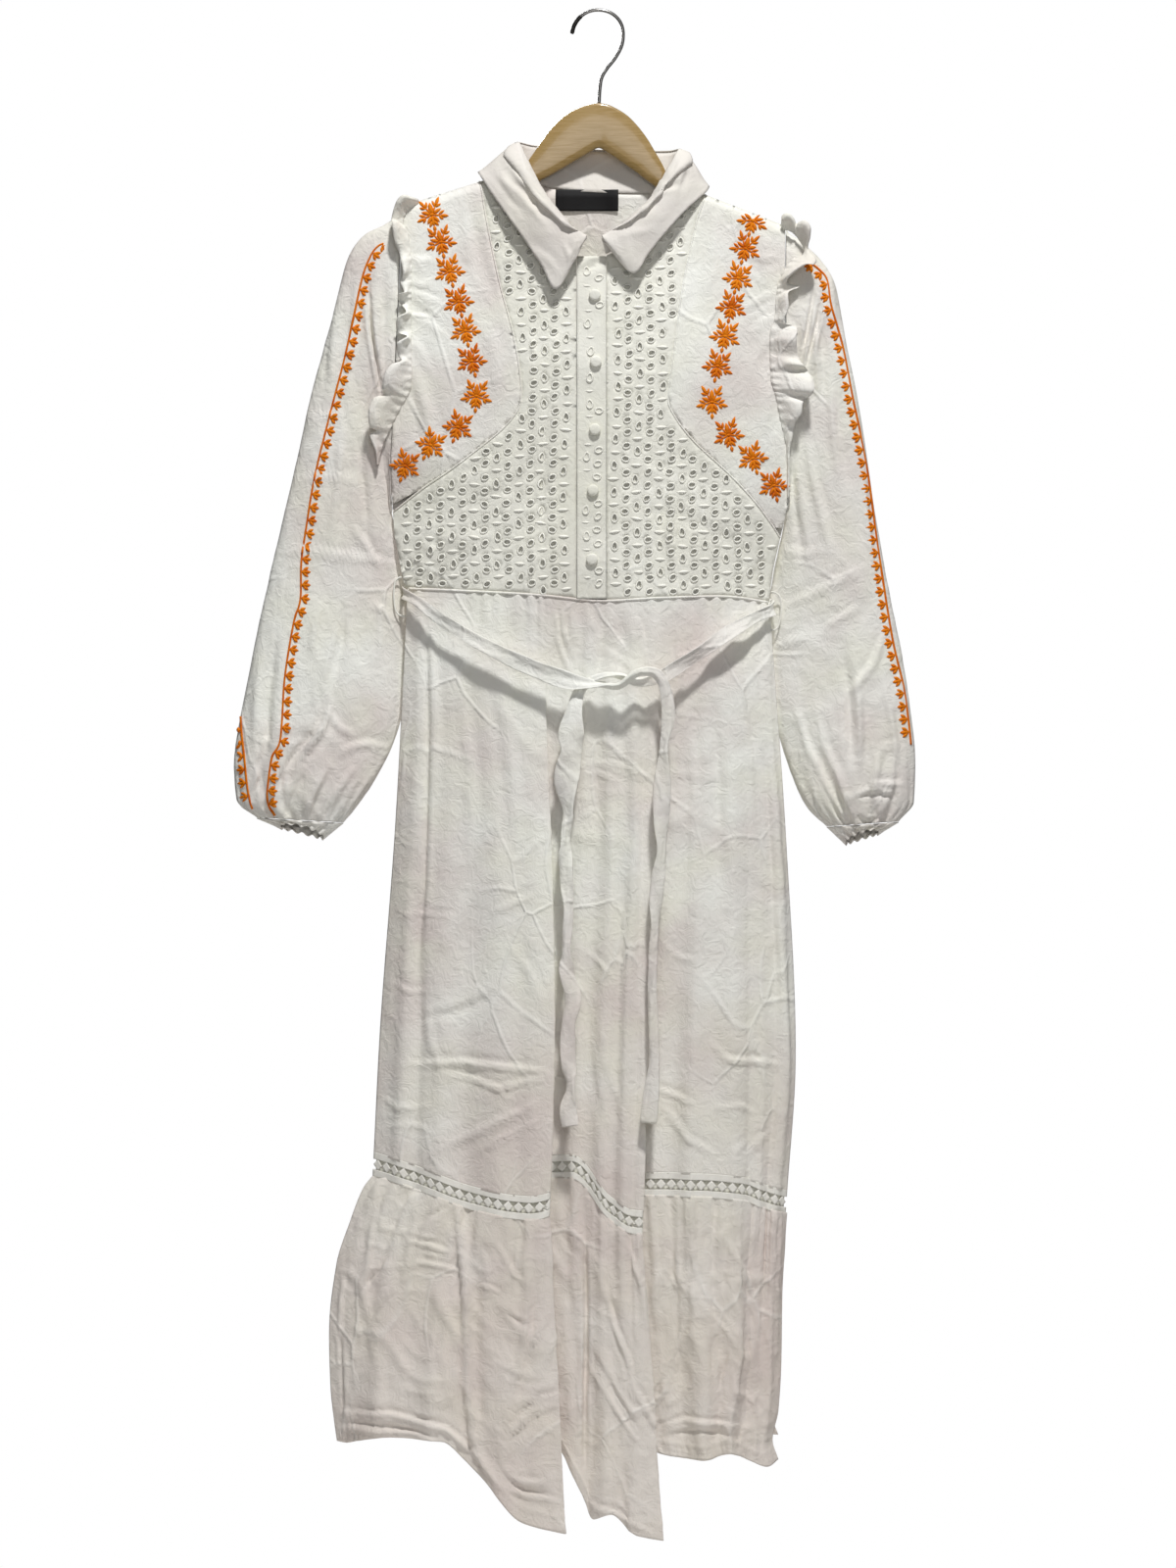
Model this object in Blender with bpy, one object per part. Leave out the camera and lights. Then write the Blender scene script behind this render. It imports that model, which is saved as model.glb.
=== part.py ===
"""Shirt-collar maxi dress with eyelet bodice, hanging from a wooden hanger.

Sizes are laid out in mm on a flat sheet, across from its left edge and down from
its top edge. The seat of the hook lies at (612, 12) on that sheet and is the origin.
World X runs across, world Z up, and the front of the dress faces world -Y.
"""
import math

import bpy
import numpy as np
from mathutils.geometry import delaunay_2d_cdt

SEAT_ACROSS = 612.0
SEAT_DOWN = 12.0
CLOTH = 1.2
COLLAR_CLOTH = 1.4
SEAM_GAP = 0.3
SEAM_HALF = 0.95

SHOULDER_ROLL = 9.0
SHOULDER_DEPTH = 8.4
CHEST_DEPTH = 25.0
CHEST_DROP = 190.0

EYELET_PITCH = 22.8
EYELET_ROW = 27.0
EYELET_WIDTH = 4.6
EYELET_HEIGHT = 7.0
EYELET_MARGIN = 8.1

BAND_HEIGHT = 20.0
BAND_GAP = 0.6
BAND_GAP_PITCH = 10.8
BAND_GAP_WIDTH = 7.2
BAND_GAP_HEIGHT = 4.9

BUTTON_RADIUS = 6.0
BUTTON_HEIGHT = 4.6
PLACKET_LEFT = 588.5
PLACKET_RIGHT = 618.6
PLACKET_LIFT = 1.7

HOOK_WIRE = 1.7
FOLD_COLUMNS = 46
BACK_COLUMNS = 17

WHITE_VOILE = (0.80, 0.78, 0.74, 1.0)
WHITE_EYELET = (0.86, 0.85, 0.80, 1.0)
WHITE_LACE = (0.88, 0.87, 0.83, 1.0)
BEECH = (0.72, 0.55, 0.30, 1.0)
STEEL = (0.35, 0.34, 0.33, 1.0)
LABEL_BLACK = (0.02, 0.02, 0.02, 1.0)

# Shoulder seam and neck corners: across, down.
SHOULDER = np.array([
    (405.0, 210.5), (413.0, 208.5), (430.0, 204.5), (488.0, 186.0), (527.0, 173.0), (612.0, 173.0),
    (692.0, 190.0), (720.0, 199.0), (760.0, 213.5), (792.0, 227.0), (808.0, 232.0),
])

# Armhole and side edge of the bodice: down, across at the left, across at the right.
SIDE_EDGE = np.array([
    (160.0, 411.0, 802.0),
    (215.0, 411.0, 801.0),
    (300.0, 407.5, 800.5),
    (400.0, 403.0, 801.5),
    (470.0, 399.0, 803.5),
    (515.0, 400.5, 804.5),
    (545.0, 402.5, 797.0),
    (580.0, 409.0, 789.0),
    (612.0, 416.0, 784.5),
    (640.0, 416.0, 784.5),
])

# Half depth of the bodice at its side edge: distance below the shoulder, half depth.
EDGE_DEPTH = np.array([
    (0.0, 8.6), (60.0, 10.5), (180.0, 11.0), (265.0, 7.0), (310.0, 1.6), (335.0, SEAM_HALF), (480.0, SEAM_HALF),
])

# Seam between the eyelet front and the side front, down the left and the right: across, down.
PRINCESS_LEFT = np.array([
    (489.5, 185.8), (491.5, 194.0), (495.0, 217.0), (503.0, 258.0), (511.0, 294.0), (523.0, 339.0), (530.0, 376.0),
    (532.0, 404.0), (528.0, 421.0), (511.0, 441.0), (482.0, 464.0), (456.0, 483.0), (433.0, 498.0),
    (403.0, 521.0),
])
PRINCESS_RIGHT = np.array([
    (719.5, 199.2), (717.0, 208.0), (711.0, 226.0), (703.0, 261.0), (695.0, 302.0), (687.0, 363.0), (681.5, 402.0),
    (685.0, 421.0), (707.0, 451.0), (744.0, 485.0), (771.0, 514.0), (789.0, 538.0), (796.0, 549.0),
])

# Front neck edge of each front and back neck edge: across, down.
NECK_LEFT = np.array([(526.2, 174.2), (529.0, 182.0), (533.0, 193.0), (547.0, 218.0), (568.0, 243.0), (588.0, 258.0)])
NECK_RIGHT = np.array([(692.8, 191.2), (690.0, 199.2), (686.0, 208.0), (672.0, 230.0), (650.0, 248.0), (619.0, 262.0)])
NECK_BACK = np.array([
    (527.0, 174.0), (531.5, 180.5), (541.0, 186.0), (562.0, 192.0), (590.0, 196.0), (620.0, 197.5), (652.0, 198.0),
    (676.0, 197.5), (687.0, 196.0), (692.0, 191.0),
])

# Waist seam: across, down.
WAIST = np.array([
    (405.0, 600.0), (427.0, 601.0), (550.0, 608.0), (614.0, 614.0), (671.0, 611.0), (735.0, 609.0), (800.0, 617.0),
])

# Front skirt at the waist, the thigh, the calf and the lace line: cloth position, across and
# depth at each, and the lace line's height. Rows 5 to 7 and 12 to 14 are the two deep side folds
# that roll over the next panel.
SKIRT_FRONT = np.array([
    # place, across: waist, thigh, calf, lace; depth: waist, thigh, calf, lace; lace down
    (0.000, 416.0, 403.5, 388.0, 381.5, 1.0, 1.0, 1.0, 1.0, 1177.0),
    (0.025, 423.0, 413.0, 400.0, 394.0, 6.0, 9.0, 9.0, 9.0, 1180.0),
    (0.055, 434.0, 428.0, 419.0, 414.0, 11.0, 17.0, 18.0, 19.0, 1186.0),
    (0.100, 452.0, 445.0, 440.0, 438.0, 17.0, 20.0, 24.0, 27.0, 1194.0),
    (0.180, 490.0, 490.0, 486.0, 484.0, 23.0, 29.0, 34.0, 37.0, 1210.0),
    (0.270, 535.0, 545.0, 545.0, 542.0, 26.0, 37.0, 44.0, 48.0, 1219.0),
    (0.300, 550.0, 562.5, 566.0, 562.0, 27.0, 35.0, 42.0, 46.0, 1214.0),
    (0.330, 561.0, 552.0, 546.0, 541.0, 27.5, 30.5, 35.0, 38.0, 1204.0),
    (0.360, 570.0, 547.0, 534.0, 528.0, 28.0, 25.5, 27.5, 29.5, 1191.0),
    (0.390, 580.0, 562.0, 552.0, 548.0, 28.5, 24.0, 24.0, 25.0, 1180.0),
    (0.440, 601.0, 592.0, 585.0, 583.0, 29.0, 27.0, 27.0, 28.0, 1178.0),
    (0.510, 632.0, 630.0, 624.0, 622.0, 29.0, 33.0, 35.0, 37.0, 1219.0),
    (0.560, 657.0, 657.0, 649.0, 645.0, 28.5, 36.0, 40.0, 43.0, 1233.0),
    (0.590, 671.0, 669.0, 660.5, 656.0, 28.0, 34.0, 38.0, 41.0, 1234.0),
    (0.620, 681.0, 662.0, 645.0, 638.0, 27.5, 29.0, 31.5, 33.5, 1221.0),
    (0.650, 690.0, 664.0, 638.0, 628.0, 27.0, 24.5, 24.5, 26.0, 1206.0),
    (0.690, 704.0, 684.0, 666.0, 660.0, 26.0, 23.5, 23.0, 24.0, 1196.0),
    (0.780, 730.0, 722.0, 715.0, 712.0, 22.5, 27.0, 30.0, 32.0, 1197.0),
    (0.860, 752.0, 756.0, 757.0, 757.0, 18.0, 23.0, 27.0, 28.0, 1201.0),
    (0.920, 767.0, 776.0, 780.0, 776.0, 12.0, 14.0, 16.0, 17.0, 1208.0),
    (0.960, 776.0, 789.0, 797.0, 788.0, 7.0, 13.0, 14.0, 14.0, 1212.0),
    (1.000, 785.0, 802.5, 811.5, 803.0, 1.0, 1.0, 1.0, 1.0, 1216.0),
])

# Heights of the four skirt sections as fractions from the waist to the lace line.
SKIRT_LEVELS = np.array([0.0, 0.42, 0.78, 1.0])

# Front flounce: cloth position, hem across, hem depth, hem down.
FLOUNCE_FRONT = np.array([
    (0.000, 344.0, 1.0, 1470.0),
    (0.025, 353.0, 9.0, 1471.0),
    (0.055, 366.0, 20.0, 1468.0),
    (0.100, 396.0, 33.0, 1463.0),
    (0.180, 452.0, 45.0, 1466.0),
    (0.205, 475.0, 47.0, 1485.0),
    (0.230, 498.0, 50.0, 1508.0),
    (0.270, 533.0, 56.0, 1547.0),
    (0.300, 577.0, 56.0, 1558.0),
    (0.330, 560.0, 46.5, 1505.0),
    (0.360, 552.0, 36.0, 1480.0),
    (0.390, 566.0, 30.0, 1472.0),
    (0.440, 593.0, 33.0, 1520.0),
    (0.475, 606.0, 37.0, 1546.0),
    (0.510, 623.0, 42.0, 1540.0),
    (0.560, 650.0, 49.0, 1561.0),
    (0.590, 676.0, 48.0, 1566.0),
    (0.620, 656.0, 38.5, 1500.0),
    (0.650, 650.0, 29.0, 1470.0),
    (0.690, 676.0, 27.0, 1481.0),
    (0.780, 716.0, 36.0, 1486.0),
    (0.860, 745.0, 32.0, 1480.0),
    (0.920, 764.0, 20.0, 1488.0),
    (0.960, 782.0, 15.0, 1495.0),
    (1.000, 794.0, 1.0, 1489.0),
])

# Outer edges of the flounce: fraction from the band to the hem, across left, across right.
FLOUNCE_EDGE = np.array([
    (0.00, 381.5, 803.0),
    (0.05, 371.0, 802.0),
    (0.18, 357.0, 800.0),
    (0.33, 344.0, 798.0),
    (0.60, 336.0, 797.0),
    (0.80, 337.5, 794.0),
    (0.92, 341.0, 788.0),
    (1.00, 344.0, 794.0),
])

# Ripples of the front flounce: cloth position, half width, throw at the hem in depth.
FLOUNCE_RIPPLES = np.array([
    (0.085, 0.016, 5.0), (0.135, 0.020, -4.0), (0.165, 0.014, 5.0), (0.205, 0.018, -4.5),
    (0.245, 0.014, 4.0), (0.425, 0.016, 3.5), (0.465, 0.016, -3.5), (0.500, 0.014, 4.0),
    (0.540, 0.014, -3.0), (0.705, 0.016, 3.0), (0.740, 0.018, -3.5), (0.785, 0.018, 4.5),
    (0.825, 0.016, -4.0), (0.865, 0.016, 4.0), (0.900, 0.012, -3.0),
])
GATHER_DEPTH = 0.9

# Back skirt and flounce: cloth position, depth at the waist, at the lace line and at the hem.
SKIRT_BACK = np.array([
    (0.00, 1.0, 1.0, 1.0),
    (0.06, 11.0, 17.0, 18.0),
    (0.16, 19.0, 25.0, 34.0),
    (0.27, 23.0, 34.0, 38.0),
    (0.38, 26.0, 29.0, 36.0),
    (0.50, 27.0, 37.0, 45.0),
    (0.61, 26.0, 31.0, 38.0),
    (0.73, 23.0, 35.0, 43.0),
    (0.84, 19.0, 24.0, 32.0),
    (0.94, 11.0, 17.0, 20.0),
    (1.00, 1.0, 1.0, 1.0),
])
BACK_HEM_DOWN = 1464.0

# Sleeves: fraction along, outer edge, inner edge, middle depth, tilt of the inner edge, half depth.
SLEEVE_LEFT = np.array([
    (0.00, 411.2, 212.0, 400.6, 514.0, 0.0, 0.0, 9.5),
    (0.05, 397.0, 227.0, 398.3, 527.0, 0.5, 7.0, 13.0),
    (0.11, 372.0, 240.0, 400.0, 543.0, 2.0, 14.0, 16.0),
    (0.18, 356.0, 262.0, 404.0, 560.0, 3.0, 18.0, 18.0),
    (0.28, 338.0, 330.0, 411.0, 588.0, 4.0, 19.0, 19.0),
    (0.40, 319.0, 398.0, 417.0, 622.0, 5.0, 18.0, 20.0),
    (0.52, 299.0, 487.0, 419.0, 655.0, 6.0, 16.0, 21.0),
    (0.64, 279.0, 572.0, 415.0, 700.0, 6.0, 14.0, 22.0),
    (0.75, 257.0, 672.0, 404.0, 748.0, 6.0, 9.0, 23.0),
    (0.86, 239.0, 778.0, 386.0, 788.0, 5.0, 4.0, 23.0),
    (0.94, 241.5, 815.0, 367.0, 818.0, 4.0, 0.0, 18.0),
    (1.00, 262.0, 834.0, 350.0, 839.0, 4.0, 0.0, 12.0),
])
SLEEVE_RIGHT = np.array([
    (0.00, 801.6, 232.0, 804.4, 513.0, 0.0, 0.0, 9.5),
    (0.05, 818.0, 247.0, 803.0, 527.0, 0.5, 7.0, 13.0),
    (0.11, 837.0, 265.0, 800.0, 543.0, 2.0, 14.0, 16.0),
    (0.18, 851.0, 289.0, 796.0, 560.0, 3.0, 18.0, 18.0),
    (0.28, 863.0, 350.0, 790.0, 590.0, 4.0, 19.0, 19.0),
    (0.40, 878.0, 424.0, 785.0, 624.0, 5.0, 18.0, 20.0),
    (0.52, 892.0, 520.0, 783.0, 660.0, 6.0, 16.0, 21.0),
    (0.64, 907.5, 606.0, 785.0, 704.0, 6.0, 14.0, 22.0),
    (0.75, 923.5, 688.0, 795.0, 748.0, 6.0, 9.0, 23.0),
    (0.86, 934.0, 778.0, 809.0, 792.0, 5.0, 4.0, 23.0),
    (0.94, 932.5, 818.0, 824.0, 824.0, 4.0, 0.0, 18.0),
    (1.00, 917.0, 838.0, 844.0, 843.0, 4.0, 0.0, 12.0),
])
SLEEVE_PUFFS = 11
SLEEVE_PUFF_DEPTH = 2.2

# Wrist frills: inner row outer edge, inner edge, then the free row outer edge, inner edge.
CUFF_LEFT = np.array([(262.0, 834.0), (350.0, 839.0), (286.0, 844.0), (330.0, 855.5)])
CUFF_RIGHT = np.array([(917.0, 838.0), (844.0, 843.0), (897.0, 850.0), (863.0, 861.0)])
CUFF_WAVES = 13

# Armhole frills: seam height, width of the frill, throw towards the front.
RUFFLE_LEFT = np.array([
    (205.5, 9.0, 8.0), (222.0, 11.0, 14.0), (250.0, 13.0, 15.0), (285.0, 12.0, 16.0), (320.0, 14.0, 17.0),
    (355.0, 11.0, 17.0), (385.0, 15.0, 17.0), (415.0, 17.0, 16.0), (445.0, 15.0, 15.0), (474.0, 10.0, 13.0),
])
RUFFLE_RIGHT = np.array([
    (222.0, 19.0, 9.0), (238.0, 25.0, 15.0), (262.0, 19.0, 16.0), (295.0, 11.0, 17.0), (330.0, 13.0, 17.0),
    (365.0, 14.0, 17.0), (400.0, 24.0, 16.0), (430.0, 15.0, 15.0), (465.0, 8.0, 13.0), (505.0, 5.0, 10.0),
])
RUFFLE_WAVES = 9

# Collar stations from the left front round the back to the right front:
# fold across, down, depth; leaf edge across, down, depth; outward lean across, depth.
COLLAR = np.array([
    (599.0, 246.0, -26.0, 596.0, 248.0, -32.0, 0.0, -1.0),
    (592.0, 241.0, -25.5, 569.0, 297.0, -36.0, 0.0, -1.0),
    (576.0, 226.0, -24.0, 553.0, 274.0, -34.0, 0.0, -1.0),
    (556.0, 199.0, -20.0, 531.0, 241.0, -31.0, -0.3, -0.95),
    (541.0, 170.0, -14.0, 507.0, 207.0, -25.0, -0.5, -0.85),
    (532.0, 150.0, -5.0, 491.0, 182.0, -13.0, -0.9, -0.4),
    (532.0, 147.0, 5.0, 488.0, 176.0, 3.0, -0.95, 0.3),
    (545.0, 149.0, 14.0, 499.0, 186.0, 17.0, -0.6, 0.8),
    (575.0, 151.0, 19.0, 545.0, 202.0, 25.0, -0.1, 1.0),
    (612.0, 153.0, 20.5, 612.0, 207.0, 27.0, 0.0, 1.0),
    (650.0, 154.0, 19.0, 678.0, 206.0, 25.0, 0.1, 1.0),
    (680.0, 155.0, 14.0, 714.0, 197.0, 17.0, 0.6, 0.8),
    (691.5, 154.0, 5.0, 723.0, 190.0, 3.0, 0.95, 0.3),
    (691.0, 156.0, -5.0, 719.5, 198.0, -13.0, 0.9, -0.4),
    (682.0, 173.0, -14.0, 702.0, 214.0, -25.0, 0.5, -0.85),
    (666.0, 200.0, -20.0, 681.0, 237.0, -31.0, 0.3, -0.95),
    (643.0, 225.0, -24.0, 661.0, 262.0, -34.0, 0.0, -1.0),
    (622.0, 241.0, -25.5, 645.0, 281.5, -36.0, 0.0, -1.0),
    (614.0, 246.0, -26.0, 616.5, 249.0, -32.0, 0.0, -1.0),
])

# Wooden hanger: across, top, underside, half thickness.
HANGER = np.array([
    (424.0, 216.0, 221.0, 3.2), (427.0, 213.5, 225.0, 4.6), (445.0, 207.5, 224.0, 5.2), (488.0, 195.0, 214.0, 5.2),
    (514.0, 187.5, 206.0, 4.6), (528.0, 183.0, 199.0, 4.0), (533.0, 175.0, 195.0, 4.2), (538.0, 166.0, 192.0, 5.5),
    (546.0, 154.0, 187.0, 5.5), (558.0, 137.0, 181.0, 5.5), (568.0, 125.5, 175.5, 5.5), (578.0, 117.0, 169.5, 5.5),
    (590.0, 110.5, 162.5, 5.5), (601.0, 107.0, 156.0, 5.5), (611.0, 105.5, 151.0, 5.5), (620.0, 107.0, 156.0, 5.5),
    (630.0, 111.5, 162.5, 5.5), (640.0, 118.0, 169.5, 5.5), (650.0, 128.0, 176.5, 5.5), (660.0, 141.0, 184.5, 5.5),
    (669.0, 156.0, 191.0, 5.5), (676.0, 168.0, 195.5, 5.5), (682.0, 181.5, 200.0, 4.2), (687.0, 194.0, 205.0, 3.8),
    (696.0, 201.5, 213.0, 4.4), (720.0, 210.0, 224.0, 5.0), (770.0, 225.0, 238.0, 5.2), (787.0, 230.0, 240.0, 4.6),
    (790.0, 232.5, 237.5, 3.2),
])

# Hook wire centre line from its tip to the wood: across, down.
HOOK = np.array([
    (583.5, 34.5), (586.0, 26.0), (591.5, 18.0), (600.5, 12.0), (612.0, 10.3), (623.5, 13.4), (632.0, 21.0),
    (635.8, 32.0), (634.6, 46.0), (628.0, 59.0), (619.8, 69.5), (614.2, 79.0), (612.2, 90.0), (611.3, 105.1),
])

# Tie belt from the left tail up through the twist, round the waist and down to the right tail:
# across, down, depth, width, turn in degrees.
BELT = np.array([
    (577.0, 1145.0, -58.0, 15.0, 6.0),
    (579.0, 1108.0, -57.0, 14.0, -8.0),
    (582.0, 1062.0, -56.0, 15.0, 10.0),
    (585.0, 1015.0, -55.0, 16.0, 4.0),
    (579.0, 965.0, -53.0, 14.0, -10.0),
    (581.0, 912.0, -51.0, 17.0, 8.0),
    (577.0, 857.0, -49.0, 20.0, 10.0),
    (577.0, 800.0, -47.0, 21.0, -6.0),
    (582.0, 750.0, -46.0, 22.0, 6.0),
    (588.0, 718.0, -45.5, 17.0, 20.0),
    (598.0, 699.5, -47.5, 10.0, 30.0),
    (614.0, 689.0, -54.5, 8.5, 60.0),
    (632.0, 690.5, -50.0, 8.5, 120.0),
    (650.0, 697.0, -44.5, 8.5, 150.0),
    (668.0, 694.0, -44.0, 12.0, 170.0),
    (684.0, 684.5, -41.0, 19.0, 180.0),
    (712.0, 668.0, -37.5, 20.0, 176.0),
    (745.0, 647.0, -31.0, 18.0, 184.0),
    (772.0, 632.0, -20.0, 16.0, 180.0),
    (789.5, 622.0, -6.0, 15.0, 180.0),
    (787.0, 619.0, 7.0, 15.0, 180.0),
    (776.0, 617.0, 17.0, 15.0, 180.0),
    (750.0, 617.0, 26.0, 17.0, 180.0),
    (690.0, 618.0, 33.5, 18.0, 180.0),
    (612.0, 619.0, 36.0, 18.0, 180.0),
    (520.0, 615.0, 33.5, 18.0, 180.0),
    (450.0, 608.0, 26.0, 17.0, 180.0),
    (425.0, 605.0, 17.0, 15.0, 180.0),
    (412.8, 605.0, 7.0, 15.0, 180.0),
    (411.5, 606.0, -6.0, 15.0, 180.0),
    (427.0, 614.5, -20.0, 16.0, 180.0),
    (455.0, 632.0, -31.0, 18.0, 176.0),
    (492.0, 655.0, -37.0, 20.0, 184.0),
    (535.0, 677.0, -40.5, 21.0, 180.0),
    (575.0, 692.0, -42.5, 20.0, 176.0),
    (600.0, 697.5, -41.5, 11.0, 210.0),
    (616.0, 698.5, -42.5, 8.5, 240.0),
    (632.0, 700.0, -50.5, 8.5, 300.0),
    (650.0, 687.5, -55.5, 8.5, 330.0),
    (668.0, 688.0, -53.5, 11.0, 355.0),
    (678.0, 703.0, -50.5, 14.0, 385.0),
    (680.0, 730.0, -49.0, 13.0, 366.0),
    (679.0, 765.0, -50.0, 12.0, 356.0),
    (675.0, 820.0, -51.0, 12.0, 364.0),
    (672.0, 872.0, -51.5, 11.0, 352.0),
    (668.0, 935.0, -52.0, 12.0, 366.0),
    (665.0, 1005.0, -52.5, 12.0, 360.0),
    (665.0, 1070.0, -53.0, 13.0, 366.0),
    (664.0, 1143.0, -53.5, 12.0, 358.0),
])
BELT_THICK = 2.4
BELT_BOW = 1.6


def smooth(knots, values, at):
    """Shape-keeping cubic through the knots, so a fold never overshoots its rows."""
    knots = np.asarray(knots, float)
    values = np.asarray(values, float)
    span = np.diff(knots)
    rise = np.diff(values) / span
    slope = np.zeros_like(values)
    same = rise[:-1] * rise[1:] > 0
    mean = 2 * rise[:-1] * rise[1:] / np.where(same, rise[:-1] + rise[1:], 1.0)
    slope[1:-1] = np.where(same, mean, 0.0)
    slope[0] = rise[0]
    slope[-1] = rise[-1]
    at = np.clip(at, knots[0], knots[-1])
    cell = np.clip(np.searchsorted(knots, at, side="right") - 1, 0, len(span) - 1)
    t = (at - knots[cell]) / span[cell]
    a = values[cell]
    b = values[cell + 1]
    first = slope[cell] * span[cell]
    last = slope[cell + 1] * span[cell]
    return a + t * (first + t * (3 * (b - a) - 2 * first - last + t * (2 * (a - b) + first + last)))


def flowing(rows, count):
    """Catmull-Rom path through the rows, spaced evenly by row, with count points."""
    rows = np.asarray(rows, float)
    padded = np.vstack([2 * rows[0] - rows[1], rows, 2 * rows[-1] - rows[-2]])
    at = np.linspace(0, len(rows) - 1, count)
    cell = np.minimum(at.astype(int), len(rows) - 2)
    t = (at - cell)[:, None]
    p0, p1, p2, p3 = (padded[cell + k] for k in range(4))
    return 0.5 * (2 * p1 + (p2 - p0) * t + (2 * p0 - 5 * p1 + 4 * p2 - p3) * t**2 + (3 * p1 - p0 - 3 * p2 + p3) * t**3)


def place(across, down, depth):
    """Sheet position to world mm: depth is negative towards the front."""
    return np.stack(np.broadcast_arrays(across - SEAT_ACROSS, depth, SEAT_DOWN - down), axis=-1).astype(float)


def ease(t):
    t = np.clip(t, 0.0, 1.0)
    return t * t * (3 - 2 * t)


def make_object(name, points, faces, colour, smooth_shaded=True):
    """One closed body from points in mm, with faces turned outwards."""
    points = np.asarray(points, float)
    volume = 0.0
    for face in faces:
        for k in range(1, len(face) - 1):
            volume += np.dot(points[face[0]], np.cross(points[face[k]], points[face[k + 1]]))
    if volume < 0:
        faces = [tuple(reversed(face)) for face in faces]
    mesh = bpy.data.meshes.new(name)
    mesh.from_pydata((points * 0.001).tolist(), [], [tuple(int(i) for i in face) for face in faces])
    mesh.validate()
    if smooth_shaded:
        mesh.shade_smooth()
    obj = bpy.data.objects.new(name, mesh)
    bpy.context.scene.collection.objects.link(obj)
    material = bpy.data.materials.new(name + "_material")
    material.use_nodes = True
    shader = material.node_tree.nodes["Principled BSDF"]
    shader.inputs["Base Color"].default_value = colour
    shader.inputs["Roughness"].default_value = 0.8
    material.diffuse_color = colour
    mesh.materials.append(material)
    return obj


def thicken(name, middle, normals, faces, thick, colour):
    """Closed wall from a middle surface: both sides moved off it and every rim closed."""
    middle = np.asarray(middle, float)
    count = len(middle)
    half = 0.5 * np.asarray(thick, float)
    half = half[:, None] if half.ndim else half
    points = np.vstack([middle + half * normals, middle - half * normals])
    seen = {}
    for face in faces:
        for a, b in zip(face, face[1:] + face[:1]):
            seen[(a, b)] = True
    rims = [(a, b) for a, b in seen if (b, a) not in seen]
    solid = list(faces)
    solid += [tuple(i + count for i in reversed(face)) for face in faces]
    solid += [(b, a, a + count, b + count) for a, b in rims]
    return make_object(name, points, solid, colour)


def grid_faces(rows, columns, closed=False):
    """Quads of a grid whose points run row by row; closed joins the last column to the first."""
    faces = []
    for i in range(rows - 1):
        for j in range(columns if closed else columns - 1):
            k = (j + 1) % columns
            faces.append((i * columns + j, i * columns + k, (i + 1) * columns + k, (i + 1) * columns + j))
    return faces


def grid_normals(points, closed=False):
    """Unit normals of a grid of points (rows, columns, 3)."""
    along = np.gradient(points, axis=0)
    if closed:
        round_it = 0.5 * (np.roll(points, -1, axis=1) - np.roll(points, 1, axis=1))
    else:
        round_it = np.gradient(points, axis=1)
    normals = np.cross(round_it, along)
    return normals / np.maximum(np.linalg.norm(normals, axis=2, keepdims=True), 1e-9)


def shell(name, points, thick, colour, closed=False):
    """Wall on a grid of middle points."""
    rows, columns = points.shape[:2]
    normals = grid_normals(points, closed)
    faces = grid_faces(rows, columns, closed)
    return thicken(name, points.reshape(-1, 3), normals.reshape(-1, 3), faces, thick, colour)


def shoulder_down(across):
    return np.interp(across, SHOULDER[:, 0], SHOULDER[:, 1])


def body_half(across, down):
    """Half depth of the bodice: seam roll at the shoulder, deeper towards the middle and the chest."""
    below = np.maximum(down - shoulder_down(across), 0.0)
    left = np.interp(down, SIDE_EDGE[:, 0], SIDE_EDGE[:, 1])
    right = np.interp(down, SIDE_EDGE[:, 0], SIDE_EDGE[:, 2])
    middle = 0.5 * (left + right)
    side = np.clip(np.abs((across - middle) / (0.5 * (right - left))), 0.0, 1.0)
    roll = np.clip(below / SHOULDER_ROLL, 0.0, 1.0)
    rolled = SEAM_HALF + (SHOULDER_DEPTH - SEAM_HALF) * (1 - (1 - roll) ** 2)
    edge = smooth(EDGE_DEPTH[:, 0], EDGE_DEPTH[:, 1], below)
    chest = SHOULDER_DEPTH + (CHEST_DEPTH - SHOULDER_DEPTH) * ease(below / CHEST_DROP * 0.9)
    chest = chest + 3.0 * ease((below - 300.0) / 140.0)
    full = edge + (chest - edge) * (1 - side**2.4)
    return np.minimum(rolled + below * 0.5, full) if np.ndim(below) == 0 else np.where(
        below < SHOULDER_ROLL, np.minimum(rolled, full), full)


def front_depth(across, down):
    return -body_half(across, down)


def back_depth(across, down):
    return 0.84 * body_half(across, down) + 0.16 * SEAM_HALF


def height_field(depth, across, down, lift=0.0):
    """Points on a depth surface and their unit normals, moved out by lift towards the viewer's side."""
    step = 0.5
    y = depth(across, down)
    slope_x = (depth(across + step, down) - depth(across - step, down)) / (2 * step)
    slope_z = -(depth(across, down + step) - depth(across, down - step)) / (2 * step)
    normals = np.stack([slope_x, -np.ones_like(slope_x), slope_z], axis=-1)
    normals /= np.linalg.norm(normals, axis=-1, keepdims=True)
    return place(across, down, y) + lift * normals, normals


def resample(outline, step):
    """Closed outline with its sides cut into lengths of at most step."""
    result = []
    for a, b in zip(outline, np.roll(outline, -1, axis=0)):
        pieces = max(1, int(math.ceil(np.linalg.norm(b - a) / step)))
        for k in range(pieces):
            result.append(a + (b - a) * k / pieces)
    return np.array(result)


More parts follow.
